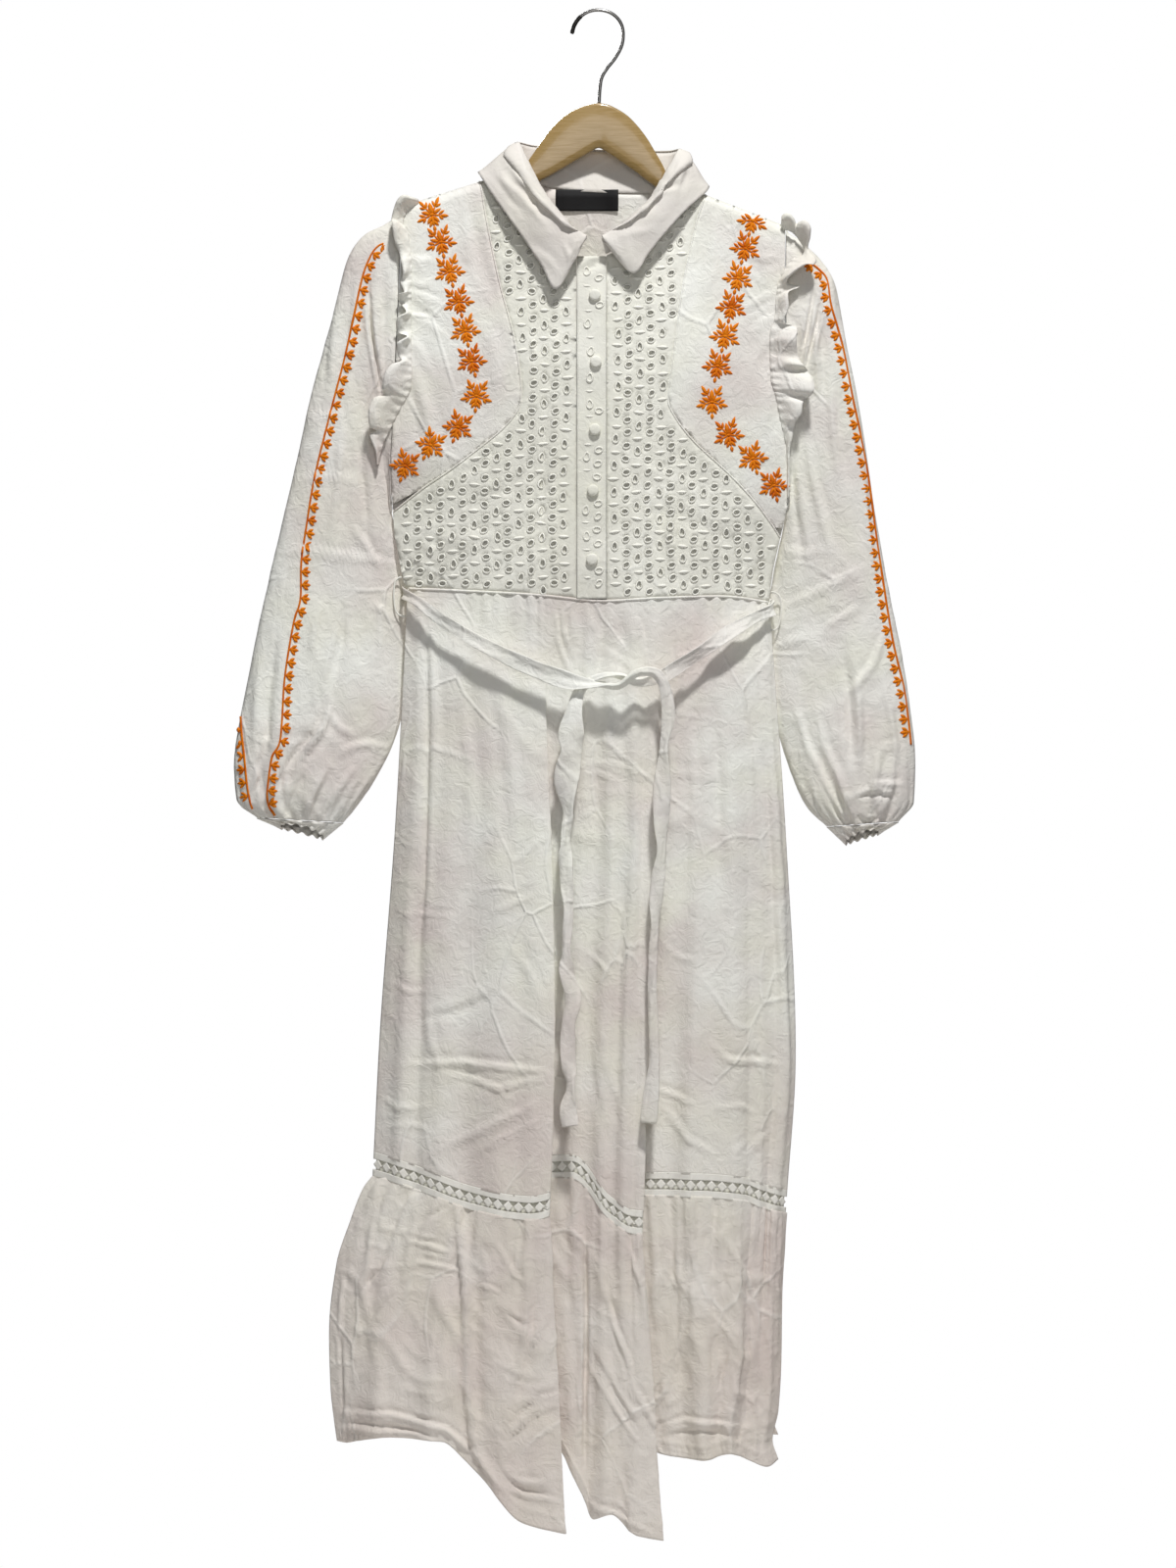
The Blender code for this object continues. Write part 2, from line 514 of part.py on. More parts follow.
def inside(points, outline):
    """Which of the points lie within a closed outline."""
    result = np.zeros(len(points), bool)
    for a, b in zip(outline, np.roll(outline, -1, axis=0)):
        crosses = (a[1] > points[:, 1]) != (b[1] > points[:, 1])
        if a[1] == b[1]:
            continue
        edge = a[0] + (points[:, 1] - a[1]) * (b[0] - a[0]) / (b[1] - a[1])
        result ^= crosses & (points[:, 0] < edge)
    return result


def room(points, outline):
    """Distance of each point from the outline."""
    best = np.full(len(points), 1e9)
    for a, b in zip(outline, np.roll(outline, -1, axis=0)):
        run = b - a
        t = np.clip(((points - a) @ run) / max(run @ run, 1e-9), 0, 1)
        best = np.minimum(best, np.linalg.norm(points - a - t[:, None] * run, axis=1))
    return best


def roll_rows(first, last, count):
    """Points just below the shoulder seam, where the cloth rolls over the hanger."""
    across = np.linspace(first, last, count)
    return np.vstack([np.stack([across, shoulder_down(across) + fall], axis=1) for fall in (3.0, 8.0)])


def cut_flat(outline, holes, spread, step, extra=()):
    """Triangles of a flat panel with holes: points (n, 2) and faces."""
    rim = resample(np.asarray(outline, float), step)
    points = [tuple(p) for p in rim]
    edges = [(i, (i + 1) % len(rim)) for i in range(len(rim))]
    owner = [-1] * len(rim)
    for number, hole in enumerate(holes):
        start = len(points)
        points += [tuple(p) for p in hole]
        owner += [number] * len(hole)
        edges += [(start + i, start + (i + 1) % len(hole)) for i in range(len(hole))]
    if spread:
        low = rim.min(axis=0)
        high = rim.max(axis=0)
        across, down = np.meshgrid(np.arange(low[0], high[0], spread), np.arange(low[1], high[1], spread))
        inner = np.stack([across.ravel(), down.ravel()], axis=1)
        inner = inner[inside(inner, rim)]
        inner = inner[room(inner, rim) > 0.4 * spread]
        inner = inner[inner[:, 1] - shoulder_down(inner[:, 0]) > 18.0]
        points += [tuple(p) for p in inner]
        owner += [-1] * len(inner)
    if len(extra):
        near = np.asarray(extra)
        near = near[inside(near, rim)]
        near = near[room(near, rim) > 1.5]
        points += [tuple(p) for p in near]
        owner += [-1] * len(near)
    result = delaunay_2d_cdt([tuple(map(float, p)) for p in points], edges, [], 0, 1e-6, True)
    found = np.array([tuple(p) for p in result[0]])
    faces = np.array([tuple(face) for face in result[2]])
    owners = np.array([owner[ids[0]] if ids else -1 for ids in result[3]])[faces]
    in_hole = (owners[:, 0] >= 0) & (owners == owners[:, :1]).all(axis=1)
    wanted = inside(found[faces].mean(axis=1), rim) & ~in_hole
    return found, [tuple(face) for face in faces[wanted].tolist()]


def eyelet_holes(outline, first_across, first_down):
    """Pointed oval holes in columns, those that fit inside the outline.

    Every second column holds the large eyelets, half a row lower in each next one;
    the columns between hold the small ones, a quarter row below the first.
    """
    holes = []
    for column in range(-14, 15):
        across = first_across + column * EYELET_PITCH * 0.5
        shift = 0.25 * EYELET_ROW if column % 2 else 0.5 * EYELET_ROW * (column // 2 % 2)
        downs = np.arange(first_down + shift, 612.0, EYELET_ROW)
        for down in downs:
            shape = np.array([
                (across, down - 0.5 * EYELET_HEIGHT),
                (across + 0.5 * EYELET_WIDTH, down + 0.1 * EYELET_HEIGHT),
                (across, down + 0.5 * EYELET_HEIGHT),
                (across - 0.5 * EYELET_WIDTH, down + 0.1 * EYELET_HEIGHT),
            ])
            centre = np.array([(across, down)])
            if inside(centre, outline)[0] and room(centre, outline)[0] > EYELET_MARGIN + 0.5 * EYELET_HEIGHT:
                holes.append(shape)
    return holes


def inset(rows, gap):
    """Line that runs down the sheet, moved across by gap."""
    run = np.gradient(rows, axis=0)
    side = np.stack([run[:, 1], -run[:, 0]], axis=1)
    side /= np.linalg.norm(side, axis=1, keepdims=True)
    return rows + gap * side


def waist_down(across):
    return smooth(WAIST[:, 0], WAIST[:, 1], across)


def waist_row(first, last, stations):
    """Waist edge of a bodice panel, with its points at the skirt's own columns."""
    across = np.concatenate([[first], stations[(stations > first + 1) & (stations < last - 1)], [last]])
    return np.stack([across, waist_down(across) - 0.5 * SEAM_GAP], axis=1)


def front_stations():
    return smooth(SKIRT_FRONT[:, 0], SKIRT_FRONT[:, 1], fold_places(FOLD_COLUMNS))


def back_stations():
    return np.linspace(SKIRT_FRONT[0, 1], SKIRT_FRONT[-1, 1], BACK_COLUMNS)


def side_line(top, bottom, column, count):
    down = np.linspace(top, bottom, count)
    return np.stack([np.interp(down, SIDE_EDGE[:, 0], SIDE_EDGE[:, column]), down], axis=1)


def build_bodice_fronts():
    """Eyelet fronts: neck, princess seam, side seam, waist and the button edge."""
    princess = inset(PRINCESS_LEFT, 0.5 * SEAM_GAP)
    side = side_line(princess[-1, 1] + 2.0, waist_down(416.0) - 1.0, 1, 5)
    waist = waist_row(416.8, PLACKET_LEFT - SEAM_GAP, front_stations())
    neck = NECK_LEFT[::-1]
    outline = np.vstack([
        princess, side, waist, [(PLACKET_LEFT - SEAM_GAP, 440.0)], neck,
    ])
    holes = eyelet_holes(outline, 599.7, 197.9)
    flat, faces = cut_flat(outline, holes, 0, 26.0, roll_rows(495.0, 525.0, 3))
    points, normals = height_field(front_depth, flat[:, 0], flat[:, 1])
    thicken("bodice_front_left", points, normals, faces, CLOTH, WHITE_EYELET)

    princess = inset(PRINCESS_RIGHT, -0.5 * SEAM_GAP)
    side = side_line(princess[-1, 1] + 2.0, waist_down(784.0) - 1.0, 2, 4)
    waist = waist_row(PLACKET_RIGHT + SEAM_GAP, 784.2, front_stations())[::-1]
    outline = np.vstack([
        princess, side, waist, [(PLACKET_RIGHT + SEAM_GAP, 440.0)], NECK_RIGHT[::-1],
    ])
    holes = eyelet_holes(outline, 628.3, 179.5)
    flat, faces = cut_flat(outline, holes, 0, 26.0, roll_rows(695.0, 714.0, 3))
    points, normals = height_field(front_depth, flat[:, 0], flat[:, 1])
    thicken("bodice_front_right", points, normals, faces, CLOTH, WHITE_EYELET)


def build_side_fronts():
    """Plain side fronts from the shoulder to the point at the underarm."""
    for name, princess, column, gap, tip in (
        ("side_front_left", PRINCESS_LEFT, 1, -0.5 * SEAM_GAP, 515.0),
        ("side_front_right", PRINCESS_RIGHT, 2, 0.5 * SEAM_GAP, 540.0),
    ):
        seam = inset(princess, gap)[:-1]
        edge = side_line(tip, 217.0 if column == 1 else 237.0, column, 9)
        corner = side_line(210.6, 210.6, 1, 1) if column == 1 else side_line(231.0, 231.0, 2, 1)
        outline = np.vstack([seam, edge, corner])
        flat, faces = cut_flat(outline, [], 34.0, 30.0, roll_rows(418.0, 795.0, 20))
        points, normals = height_field(front_depth, flat[:, 0], flat[:, 1])
        thicken(name, points, normals, faces, CLOTH, WHITE_VOILE)


def build_bodice_back():
    """Back bodice in one piece with a shallow neck."""
    left = side_line(210.6, waist_down(416.0) - 1.0, 1, 14)
    waist = waist_row(416.8, 784.2, back_stations())
    right = side_line(waist_down(784.0) - 1.0, 231.0, 2, 14)
    outline = np.vstack([
        left, waist, right, [(760.0, 214.0), (720.0, 199.5)], NECK_BACK[::-1], [(488.0, 186.5)],
    ])
    flat, faces = cut_flat(outline, [], 46.0, 32.0, roll_rows(418.0, 795.0, 20))
    points, normals = height_field(back_depth, flat[:, 0], flat[:, 1])
    thicken("bodice_back", points, normals, faces, CLOTH, WHITE_VOILE)


def build_placket():
    """Upper button band lying on the fronts, and the band under it."""
    for name, first, last, lift, top in (
        ("placket_over", PLACKET_LEFT, PLACKET_RIGHT, PLACKET_LIFT, 263.0),
        ("placket_under", PLACKET_LEFT + 0.6, PLACKET_RIGHT - 1.2, 0.0, 264.0),
    ):
        down = np.linspace(top, waist_down(604.0) - 1.6, 15)
        across = np.linspace(first, last, 4)
        a, d = np.meshgrid(across, down)
        points, normals = height_field(front_depth, a.ravel(), d.ravel(), lift)
        thicken(name, points, normals, grid_faces(len(down), len(across)), CLOTH, WHITE_EYELET)


def build_buttons():
    """Cloth-covered domes down the band."""
    profile = [(0.0, 0.0), (4.6, 0.0), (BUTTON_RADIUS, 1.5), (5.2, 3.4), (3.2, 4.3), (0.0, BUTTON_HEIGHT)]
    sides = 12
    for number, (across, down) in enumerate(((607.0, 303.0), (608.0, 371.0), (607.0, 440.0), (605.0, 502.0), (604.0, 572.0))):
        under = front_depth(np.array([across - 5.0, across, across + 5.0]), down + np.array([5.0, 5.5, 5.0]))
        base = under.min() - PLACKET_LIFT - 0.5 * CLOTH - SEAM_GAP
        points = [place(across, down, base)]
        faces = []
        for radius, height in profile[1:-1]:
            for k in range(sides):
                turn = 2 * math.pi * k / sides
                points.append(place(across + radius * math.cos(turn), down + radius * math.sin(turn), base - height))
        points.append(place(across, down, base - profile[-1][1]))
        top = len(points) - 1
        for k in range(sides):
            n = (k + 1) % sides
            faces.append((0, 1 + n, 1 + k))
            for ring in range(len(profile) - 3):
                a = 1 + ring * sides
                faces.append((a + k, a + n, a + sides + n, a + sides + k))
            last = 1 + (len(profile) - 3) * sides
            faces.append((last + k, last + n, top))
        make_object(f"button_{number + 1}", np.array(points), faces, WHITE_VOILE)


def build_collar():
    """Stand from the neck seam to the fold, and the pointed leaf rolled over it."""
    count = 31
    rows = flowing(COLLAR, count)
    fold = place(rows[:, 0], rows[:, 1], rows[:, 2])
    edge = place(rows[:, 3], rows[:, 4], rows[:, 5])
    out = np.stack([rows[:, 6], rows[:, 7], np.zeros(count)], axis=1)
    out /= np.linalg.norm(out, axis=1, keepdims=True)
    up = np.array([0.0, 0.0, 1.0])
    t = np.array([0.0, 0.12, 0.28, 0.6, 1.0])[:, None, None]
    start = fold + 1.6 * up + 0.8 * out
    first = fold + 5.5 * up + 4.8 * out
    second = fold + (edge - fold) * 0.25 + (4.0 + 5.5 * np.abs(out[:, 1:2])) * out
    leaf = (1 - t) ** 3 * start + 3 * t * (1 - t) ** 2 * first + 3 * t**2 * (1 - t) * second + t**3 * edge
    leaf = leaf.transpose(1, 0, 2)
    shell("collar_leaf", leaf, COLLAR_CLOTH, WHITE_VOILE)

    along = np.arange(count) / (count - 1)
    left = NECK_LEFT[::-1]
    neck = np.vstack([left + (1.1, -1.6), NECK_BACK[1:-1] + (0, -1.4), NECK_RIGHT + (-1.1, -1.6)])
    depth = np.concatenate([
        front_depth(left[:, 0], left[:, 1]),
        back_depth(NECK_BACK[1:-1, 0], NECK_BACK[1:-1, 1]),
        front_depth(NECK_RIGHT[:, 0], NECK_RIGHT[:, 1]),
    ])
    corner = len(left) - 1
    neck[corner] = (525.6, 170.2)
    neck[-1 - corner] = (693.4, 187.2)
    depth[corner] = 0.0
    depth[-1 - corner] = 0.0
    length = np.concatenate([[0.0], np.cumsum(np.linalg.norm(np.diff(neck, axis=0), axis=1))])
    length /= length[-1]
    anchors = np.array([0.0, length[corner], 0.5, length[-1 - corner], 1.0])
    spread = np.interp(along, [0.0, 5.6 / 18, 0.5, 12.4 / 18, 1.0], anchors)
    base = place(np.interp(spread, length, neck[:, 0]), np.interp(spread, length, neck[:, 1]),
                 np.interp(spread, length, depth))
    s = np.array([0.0, 0.45, 1.0])[:, None, None]
    stand = (base * (1 - s) + fold * s).transpose(1, 0, 2)
    shell("collar_stand", stand, 1.2, WHITE_VOILE)


def build_label():
    """Small folded label sewn inside the back neck."""
    across = np.linspace(567.5, 631.0, 5)
    down = np.array([199.5, 208.0, 217.0])
    a, d = np.meshgrid(across, down)
    points, normals = height_field(back_depth, a.ravel(), d.ravel(), 0.6 + SEAM_GAP + 0.5)
    thicken("neck_label", points, normals, grid_faces(3, 5), 1.0, LABEL_BLACK)


def skirt_front_points(place_in, level):
    """Front skirt: cloth position across and fraction from the waist to the lace line."""
    q = SKIRT_FRONT[:, 0]
    across = np.stack([smooth(q, SKIRT_FRONT[:, 1 + k], place_in) for k in range(4)], axis=-1)
    depth = np.stack([smooth(q, SKIRT_FRONT[:, 5 + k], place_in) for k in range(4)], axis=-1)
    bottom = smooth(q, SKIRT_FRONT[:, 9], place_in)
    top = waist_down(across[..., 0]) + 0.5 * SEAM_GAP
    x = between_levels(across, level)
    y = between_levels(depth, level)
    seam = -front_depth(np.clip(across[..., 0], 416.5, 784.0), top)
    y = seam + (y - seam) * ease(level / 0.16)
    return x, top + (bottom - top) * level, -y


def between_levels(values, level):
    """Smooth change of a section value from level to level."""
    result = np.empty(np.broadcast(values[..., 0], level).shape)
    values = np.broadcast_to(values, result.shape + (4,))
    level = np.broadcast_to(level, result.shape)
    rise = np.diff(values, axis=-1) / np.diff(SKIRT_LEVELS)
    slope = np.stack([rise[..., 0], 0.5 * (rise[..., 0] + rise[..., 1]), 0.5 * (rise[..., 1] + rise[..., 2]), rise[..., 2]], axis=-1)
    cell = np.clip(np.searchsorted(SKIRT_LEVELS, level, side="right") - 1, 0, 2)
    span = np.diff(SKIRT_LEVELS)[cell]
    t = (level - SKIRT_LEVELS[cell]) / span
    a = np.take_along_axis(values, cell[..., None], -1)[..., 0]
    b = np.take_along_axis(values, cell[..., None] + 1, -1)[..., 0]
    first = np.take_along_axis(slope, cell[..., None], -1)[..., 0] * span
    last = np.take_along_axis(slope, cell[..., None] + 1, -1)[..., 0] * span
    return a + t * (first + t * (3 * (b - a) - 2 * first - last + t * (2 * (a - b) + first + last)))


def fold_places(count):
    """Cloth positions closer together where the deep folds turn."""
    fine = np.linspace(0, 1, 2001)
    weight = 1.0 + 4.0 * np.exp(-((fine - 0.335) / 0.05) ** 2) + 4.0 * np.exp(-((fine - 0.625) / 0.05) ** 2)
    weight += 1.2 * np.exp(-(fine / 0.05) ** 2) + 1.2 * np.exp(-((1 - fine) / 0.08) ** 2)
    total = np.concatenate([[0.0], np.cumsum(0.5 * (weight[1:] + weight[:-1]))])
    return np.interp(np.linspace(0, total[-1], count), total, fine)


def fold_slack(place_in):
    """Extra room at the seams inside the two deep folds, where the cloth turns back."""
    return 1.3 * np.exp(-((place_in - 0.355) / 0.03) ** 2) + 1.3 * np.exp(-((place_in - 0.645) / 0.03) ** 2)


def build_skirt_front():
    """Skirt front with two deep folds that roll over their neighbours."""
    q = fold_places(FOLD_COLUMNS)
    levels = np.array([0.0, 0.08, 0.2, 0.42, 0.66, 0.86, 1.0])
    a, l = np.meshgrid(q, levels)
    x, d, y = skirt_front_points(a, l)
    shell("skirt_front", place(x, d - (0.5 * SEAM_GAP + fold_slack(a)) * l, y), CLOTH, WHITE_VOILE)


def band_front_points(place_in, step):
    """Lace band hanging from the skirt hem: step is mm below the lace line."""
    x, d, y = skirt_front_points(place_in, np.ones_like(place_in))
    x2, d2, y2 = skirt_front_points(place_in, np.full_like(place_in, 0.96))
    fall = np.maximum(d - d2, 1.0)
    return x + (x - x2) / fall * step, d + step, y + (y - y2) / fall * step


def band_runs(count):
    """Arc length of the band line against cloth position."""
    q = np.linspace(0, 1, count)
    x, d, y = skirt_front_points(q, np.ones_like(q))
    length = np.concatenate([[0.0], np.cumsum(np.sqrt(np.diff(x) ** 2 + np.diff(d) ** 2 + np.diff(y) ** 2))])
    return q, length


def band_holes(low, high, count_rows, spots):
    """Triangular gaps above and below the diamonds at the given spots."""
    holes = []
    middle = 0.5 * (low + high)
    w = 0.5 * BAND_GAP_WIDTH
    for spot in spots:
        for row in range(count_rows):
            sign = -1.0 if row == 0 else 1.0
            wide = middle + sign * (BAND_GAP_HEIGHT + 0.9)
            holes.append(np.array([(spot - w, wide), (spot + w, wide), (spot, wide - sign * BAND_GAP_HEIGHT)]))
    return holes


def build_lace():
    """Insertion band, front and back, with its gaps cut through."""
    q, length = band_runs(1201)
    total = length[-1]
    low = BAND_GAP
    high = low + BAND_HEIGHT
    shown = []
    spot = 0.9 * BAND_GAP_PITCH
    while spot < total - 0.7 * BAND_GAP_PITCH:
        at = np.interp(spot, length, q)
        if not (0.285 < at < 0.385 or 0.578 < at < 0.672):
            shown.append(spot)
        spot += BAND_GAP_PITCH
    holes = band_holes(low, high, 2, shown)
    turns = np.interp(fold_places(FOLD_COLUMNS), q, length)
    top = np.stack([turns, np.full_like(turns, low)], axis=1)
    bottom = np.stack([turns[::-1], np.full_like(turns, high)], axis=1)
    flat, faces = cut_flat(np.vstack([top, bottom]), holes, 0, 400.0)
    at = np.interp(flat[:, 0], length, q)
    shift = 0.0004
    x, d, y = band_front_points(at, flat[:, 1])
    points = place(x, d, y)
    ahead = place(*band_front_points(np.minimum(at + shift, 1.0), flat[:, 1]))
    behind = place(*band_front_points(np.maximum(at - shift, 0.0), flat[:, 1]))
    lower = place(*band_front_points(at, flat[:, 1] + 0.5))
    normals = np.cross(ahead - behind, lower - points)
    normals /= np.linalg.norm(normals, axis=1, keepdims=True)
    thicken("lace_front", points, normals, faces, CLOTH, WHITE_LACE)

    q = np.linspace(0, 1, BACK_COLUMNS)
    a, step = np.meshgrid(q, np.array([low, high]))
    shell("lace_back", place(*band_back_points(a, step)), CLOTH, WHITE_LACE)


def back_points(place_in, level):
    """Back skirt: its side edges follow the front's, its depth comes from the back table."""
    left = between_levels(np.broadcast_to(SKIRT_FRONT[0, 1:5], level.shape + (4,)), level)
    right = between_levels(np.broadcast_to(SKIRT_FRONT[-1, 1:5], level.shape + (4,)), level)
    waist = smooth(SKIRT_BACK[:, 0], SKIRT_BACK[:, 1], place_in)
    low = smooth(SKIRT_BACK[:, 0], SKIRT_BACK[:, 2], place_in)
    x = left + (right - left) * place_in
    top = waist_down(416.0 + (785.0 - 416.0) * place_in) + 0.5 * SEAM_GAP
    bottom = back_lace_down(place_in)
    depth = waist + (low - waist) * level
    seam = back_depth(np.clip(x, 416.5, 784.0), top)
    return x, top + (bottom - top) * level, seam + (depth - seam) * ease(level / 0.16)


def back_lace_down(place_in):
    """Lace line of the back: it meets the front's at both side seams and sags between."""
    first = SKIRT_FRONT[0, 9]
    last = SKIRT_FRONT[-1, 9]
    return first + (last - first) * place_in + 4.0 * np.sin(math.pi * place_in)


def band_back_points(place_in, step):
    x, d, y = back_points(place_in, np.ones_like(place_in))
    x2, d2, y2 = back_points(place_in, np.full_like(place_in, 0.96))
    fall = np.maximum(d - d2, 1.0)
    return x + (x - x2) / fall * step, d + step, y + (y - y2) / fall * step


def build_skirt_back():
    q = np.linspace(0, 1, BACK_COLUMNS)
    levels = np.array([0.0, 0.08, 0.2, 0.6, 1.0])
    a, l = np.meshgrid(q, levels)
    x, d, y = back_points(a, l)
    shell("skirt_back", place(x, d - 0.5 * SEAM_GAP * l, y), CLOTH, WHITE_VOILE)


def gathers(place_in, count, seed):
    """Uneven small gathers: two sine runs of different pitch."""
    return np.sin(2 * math.pi * (count * place_in + 0.6 * np.sin(7 * place_in + seed)) + seed)


def flounce_front_points(place_in, level):
    """Front flounce from the band's lower edge to the hem."""
    step = BAND_HEIGHT + 2.0 * BAND_GAP + fold_slack(place_in)
    x0, d0, y0 = band_front_points(place_in, step)
    q = FLOUNCE_FRONT[:, 0]
    x1 = smooth(q, FLOUNCE_FRONT[:, 1], place_in)
    y1 = -smooth(q, FLOUNCE_FRONT[:, 2], place_in)
    d1 = smooth(q, FLOUNCE_FRONT[:, 3], place_in)
    x = x0 + (x1 - x0) * level
    straight_left = x0[..., :1] + (x1[..., :1] - x0[..., :1]) * level
    straight_right = x0[..., -1:] + (x1[..., -1:] - x0[..., -1:]) * level
    bulge_left = smooth(FLOUNCE_EDGE[:, 0], FLOUNCE_EDGE[:, 1], level) - straight_left
    bulge_right = smooth(FLOUNCE_EDGE[:, 0], FLOUNCE_EDGE[:, 2], level) - straight_right
    x = x + bulge_left * np.clip(1 - place_in / 0.27, 0, 1) + bulge_right * np.clip((place_in - 0.72) / 0.28, 0, 1)
    y = y0 + (y1 - y0) * ease(level * 1.1)
    ripple = np.zeros_like(y)
    for spot, width, throw in FLOUNCE_RIPPLES:
        ripple += throw * np.exp(-((place_in - spot) / width) ** 2)
    y = y - ripple * ease(level * 1.15)
    calm = ease(place_in / 0.03) * ease((1 - place_in) / 0.03)
    for turn in (0.335, 0.625):
        calm = calm * (1 - np.exp(-((place_in - turn) / 0.045) ** 2))
    y = y - GATHER_DEPTH * gathers(place_in, 26, 0.4) * calm * np.sin(math.pi * np.clip(level * 1.6, 0, 1))
    return x, d0 + (d1 - d0) * level, y


def build_flounce():
    """Gathered hem flounce, front and back."""
    q = fold_places(FOLD_COLUMNS)
    levels = np.array([0.0, 0.08, 0.24, 0.48, 0.74, 1.0])
    a, l = np.meshgrid(q, levels)
    shell("flounce_front", place(*flounce_front_points(a, l)), CLOTH, WHITE_VOILE)

    q = np.linspace(0, 1, 2 * BACK_COLUMNS - 1)
    levels = np.array([0.0, 0.2, 0.6, 1.0])
    a, l = np.meshgrid(q, levels)
    x0, d0, y0 = band_back_points(a, np.full_like(a, BAND_HEIGHT + 2.3 * BAND_GAP))
    left = smooth(FLOUNCE_EDGE[:, 0], FLOUNCE_EDGE[:, 1], l)
    right = smooth(FLOUNCE_EDGE[:, 0], FLOUNCE_EDGE[:, 2], l)
    x = left + (right - left) * a
    x = x0 + (x - x0) * ease(l * 3.0)
    y1 = smooth(SKIRT_BACK[:, 0], SKIRT_BACK[:, 3], a)
    calm = ease(a / 0.08) * ease((1 - a) / 0.08)
    y = y0 + (y1 - y0) * l + 4.0 * gathers(a, 9, 1.7) * ease(l * 1.1) * calm
    shell("flounce_back", place(x, d0 + (BACK_HEM_DOWN - d0) * l, y), CLOTH, WHITE_VOILE)


def sleeve_points(table, turn, level, column, toward):
    """Flattened tube between the sleeve's outer and inner edges."""
    columns = [smooth(table[:, 0], table[:, k], level) for k in range(1, 8)]
    out_x, out_d, in_x, in_d, mid_y, tilt, half = columns
    c = np.cos(turn)
    s = np.sin(turn)
    lean = 0.5 * (1 - c)
    x = in_x + (out_x - in_x) * 0.5 * (1 + c)
    d = in_d + (out_d - in_d) * 0.5 * (1 + c)
    flat = np.sign(s) * np.abs(s) ** 0.8
    puff = SLEEVE_PUFF_DEPTH * np.sin(SLEEVE_PUFFS * turn + 1.3 * np.sin(turn)) * ease((level - 0.72) / 0.2)
    puff = puff * np.abs(s) ** 0.5
    y = mid_y + tilt * lean - (half + puff) * flat
    seam = np.interp(d, SIDE_EDGE[:, 0], SIDE_EDGE[:, column]) + toward * 1.35
    at_seam = 1 - ease(level / 0.05)
    return x + (seam - x) * at_seam, d, y


def build_sleeves():
    """Long full sleeves with the cloth gathered into the wrists."""
    columns = 18
    turn = 2 * math.pi * np.arange(columns) / columns
    levels = np.array([0.0, 0.05, 0.11, 0.18, 0.32, 0.48, 0.64, 0.78, 0.88, 0.95, 1.0])
    t, l = np.meshgrid(turn, levels)
    for name, table, column, toward in (
        ("sleeve_left", SLEEVE_LEFT, 1, -1.0),
        ("sleeve_right", SLEEVE_RIGHT, 2, 1.0),
    ):
        x, d, y = sleeve_points(table, t, l, column, toward)
        shell(name, place(x, d, y), CLOTH, WHITE_VOILE, closed=True)


def build_cuffs():
    """Wrist frills: a narrow waved tube hanging from each elastic."""
    columns = 39
    turn = 2 * math.pi * np.arange(columns) / columns
    for name, rows in (("cuff_left", CUFF_LEFT), ("cuff_right", CUFF_RIGHT)):
        grid = []
        for level in (0.0, 1.0):
            outer = rows[0] + (rows[2] - rows[0]) * level
            inner = rows[1] + (rows[3] - rows[1]) * level
            c = 0.5 * (1 + np.cos(turn))
            flat = np.sign(np.sin(turn)) * np.abs(np.sin(turn)) ** 0.8
            wave = np.sin(CUFF_WAVES * turn)
            x = inner[0] + (outer[0] - inner[0]) * c
            d = inner[1] + (outer[1] - inner[1]) * c + 1.25 + 1.6 * level * wave
            y = 4.0 - (12.0 - 3.0 * level + 1.6 * level * wave) * flat
            grid.append(place(x, d, y))
        shell(name, np.array(grid), CLOTH, WHITE_VOILE, closed=True)


def build_ruffles():
    """Gathered frills standing off the armhole seams."""
    for name, table, column, toward, root in (
        ("ruffle_left", RUFFLE_LEFT, 1, -1.0, 0.735),
        ("ruffle_right", RUFFLE_RIGHT, 2, 1.0, 0.78),
    ):
        count = 42
        t = np.linspace(0, 1, count)
        down = table[0, 0] + (table[-1, 0] - table[0, 0]) * t
        width = smooth(table[:, 0], table[:, 1], down)
        throw = smooth(table[:, 0], table[:, 2], down)
        seam = np.interp(down, SIDE_EDGE[:, 0], SIDE_EDGE[:, column])
        wave = np.sin(2 * math.pi * RUFFLE_WAVES * t + 1.5 * np.sin(9 * t))
        cross = np.cos(2 * math.pi * RUFFLE_WAVES * t + 1.5 * np.sin(9 * t))
        grid = []
        for w in (0.0, 0.5, 1.0):
            x = seam - toward * 2.0 + toward * w * width * (0.85 + 0.25 * cross)
            d = down + w * 3.0 * wave
            base = -throw - 1.0
            y = base * (root + (1 - root) * ease(w * 1.4)) - w * (4.0 + 4.0 * wave)
            grid.append(place(x, d, y))
        shell(name, np.array(grid), 1.0, WHITE_VOILE)


def build_belt():
    """One long tie: a bowed strip swept along the belt line."""
    rows = flowing(BELT, 85)
    centre = place(rows[:, 0], rows[:, 1], rows[:, 2])
    run = np.gradient(centre, axis=0)
    run /= np.linalg.norm(run, axis=1, keepdims=True)
    round_waist = outward_of(centre)
    side = np.cross(run, round_waist)
    side /= np.linalg.norm(side, axis=1, keepdims=True)
    face = np.cross(side, run)
    turn = np.radians(rows[:, 4])[:, None]
    across = side * np.cos(turn) + face * np.sin(turn)
    bow = face * np.cos(turn) - side * np.sin(turn)
    half = 0.5 * rows[:, 3:4]
    grid = []
    for w in (-1.0, 0.0, 1.0):
        grid.append(centre + across * half * w + bow * BELT_BOW * (1 - w * w))
    shell("tie_belt", np.array(grid), BELT_THICK, WHITE_VOILE)


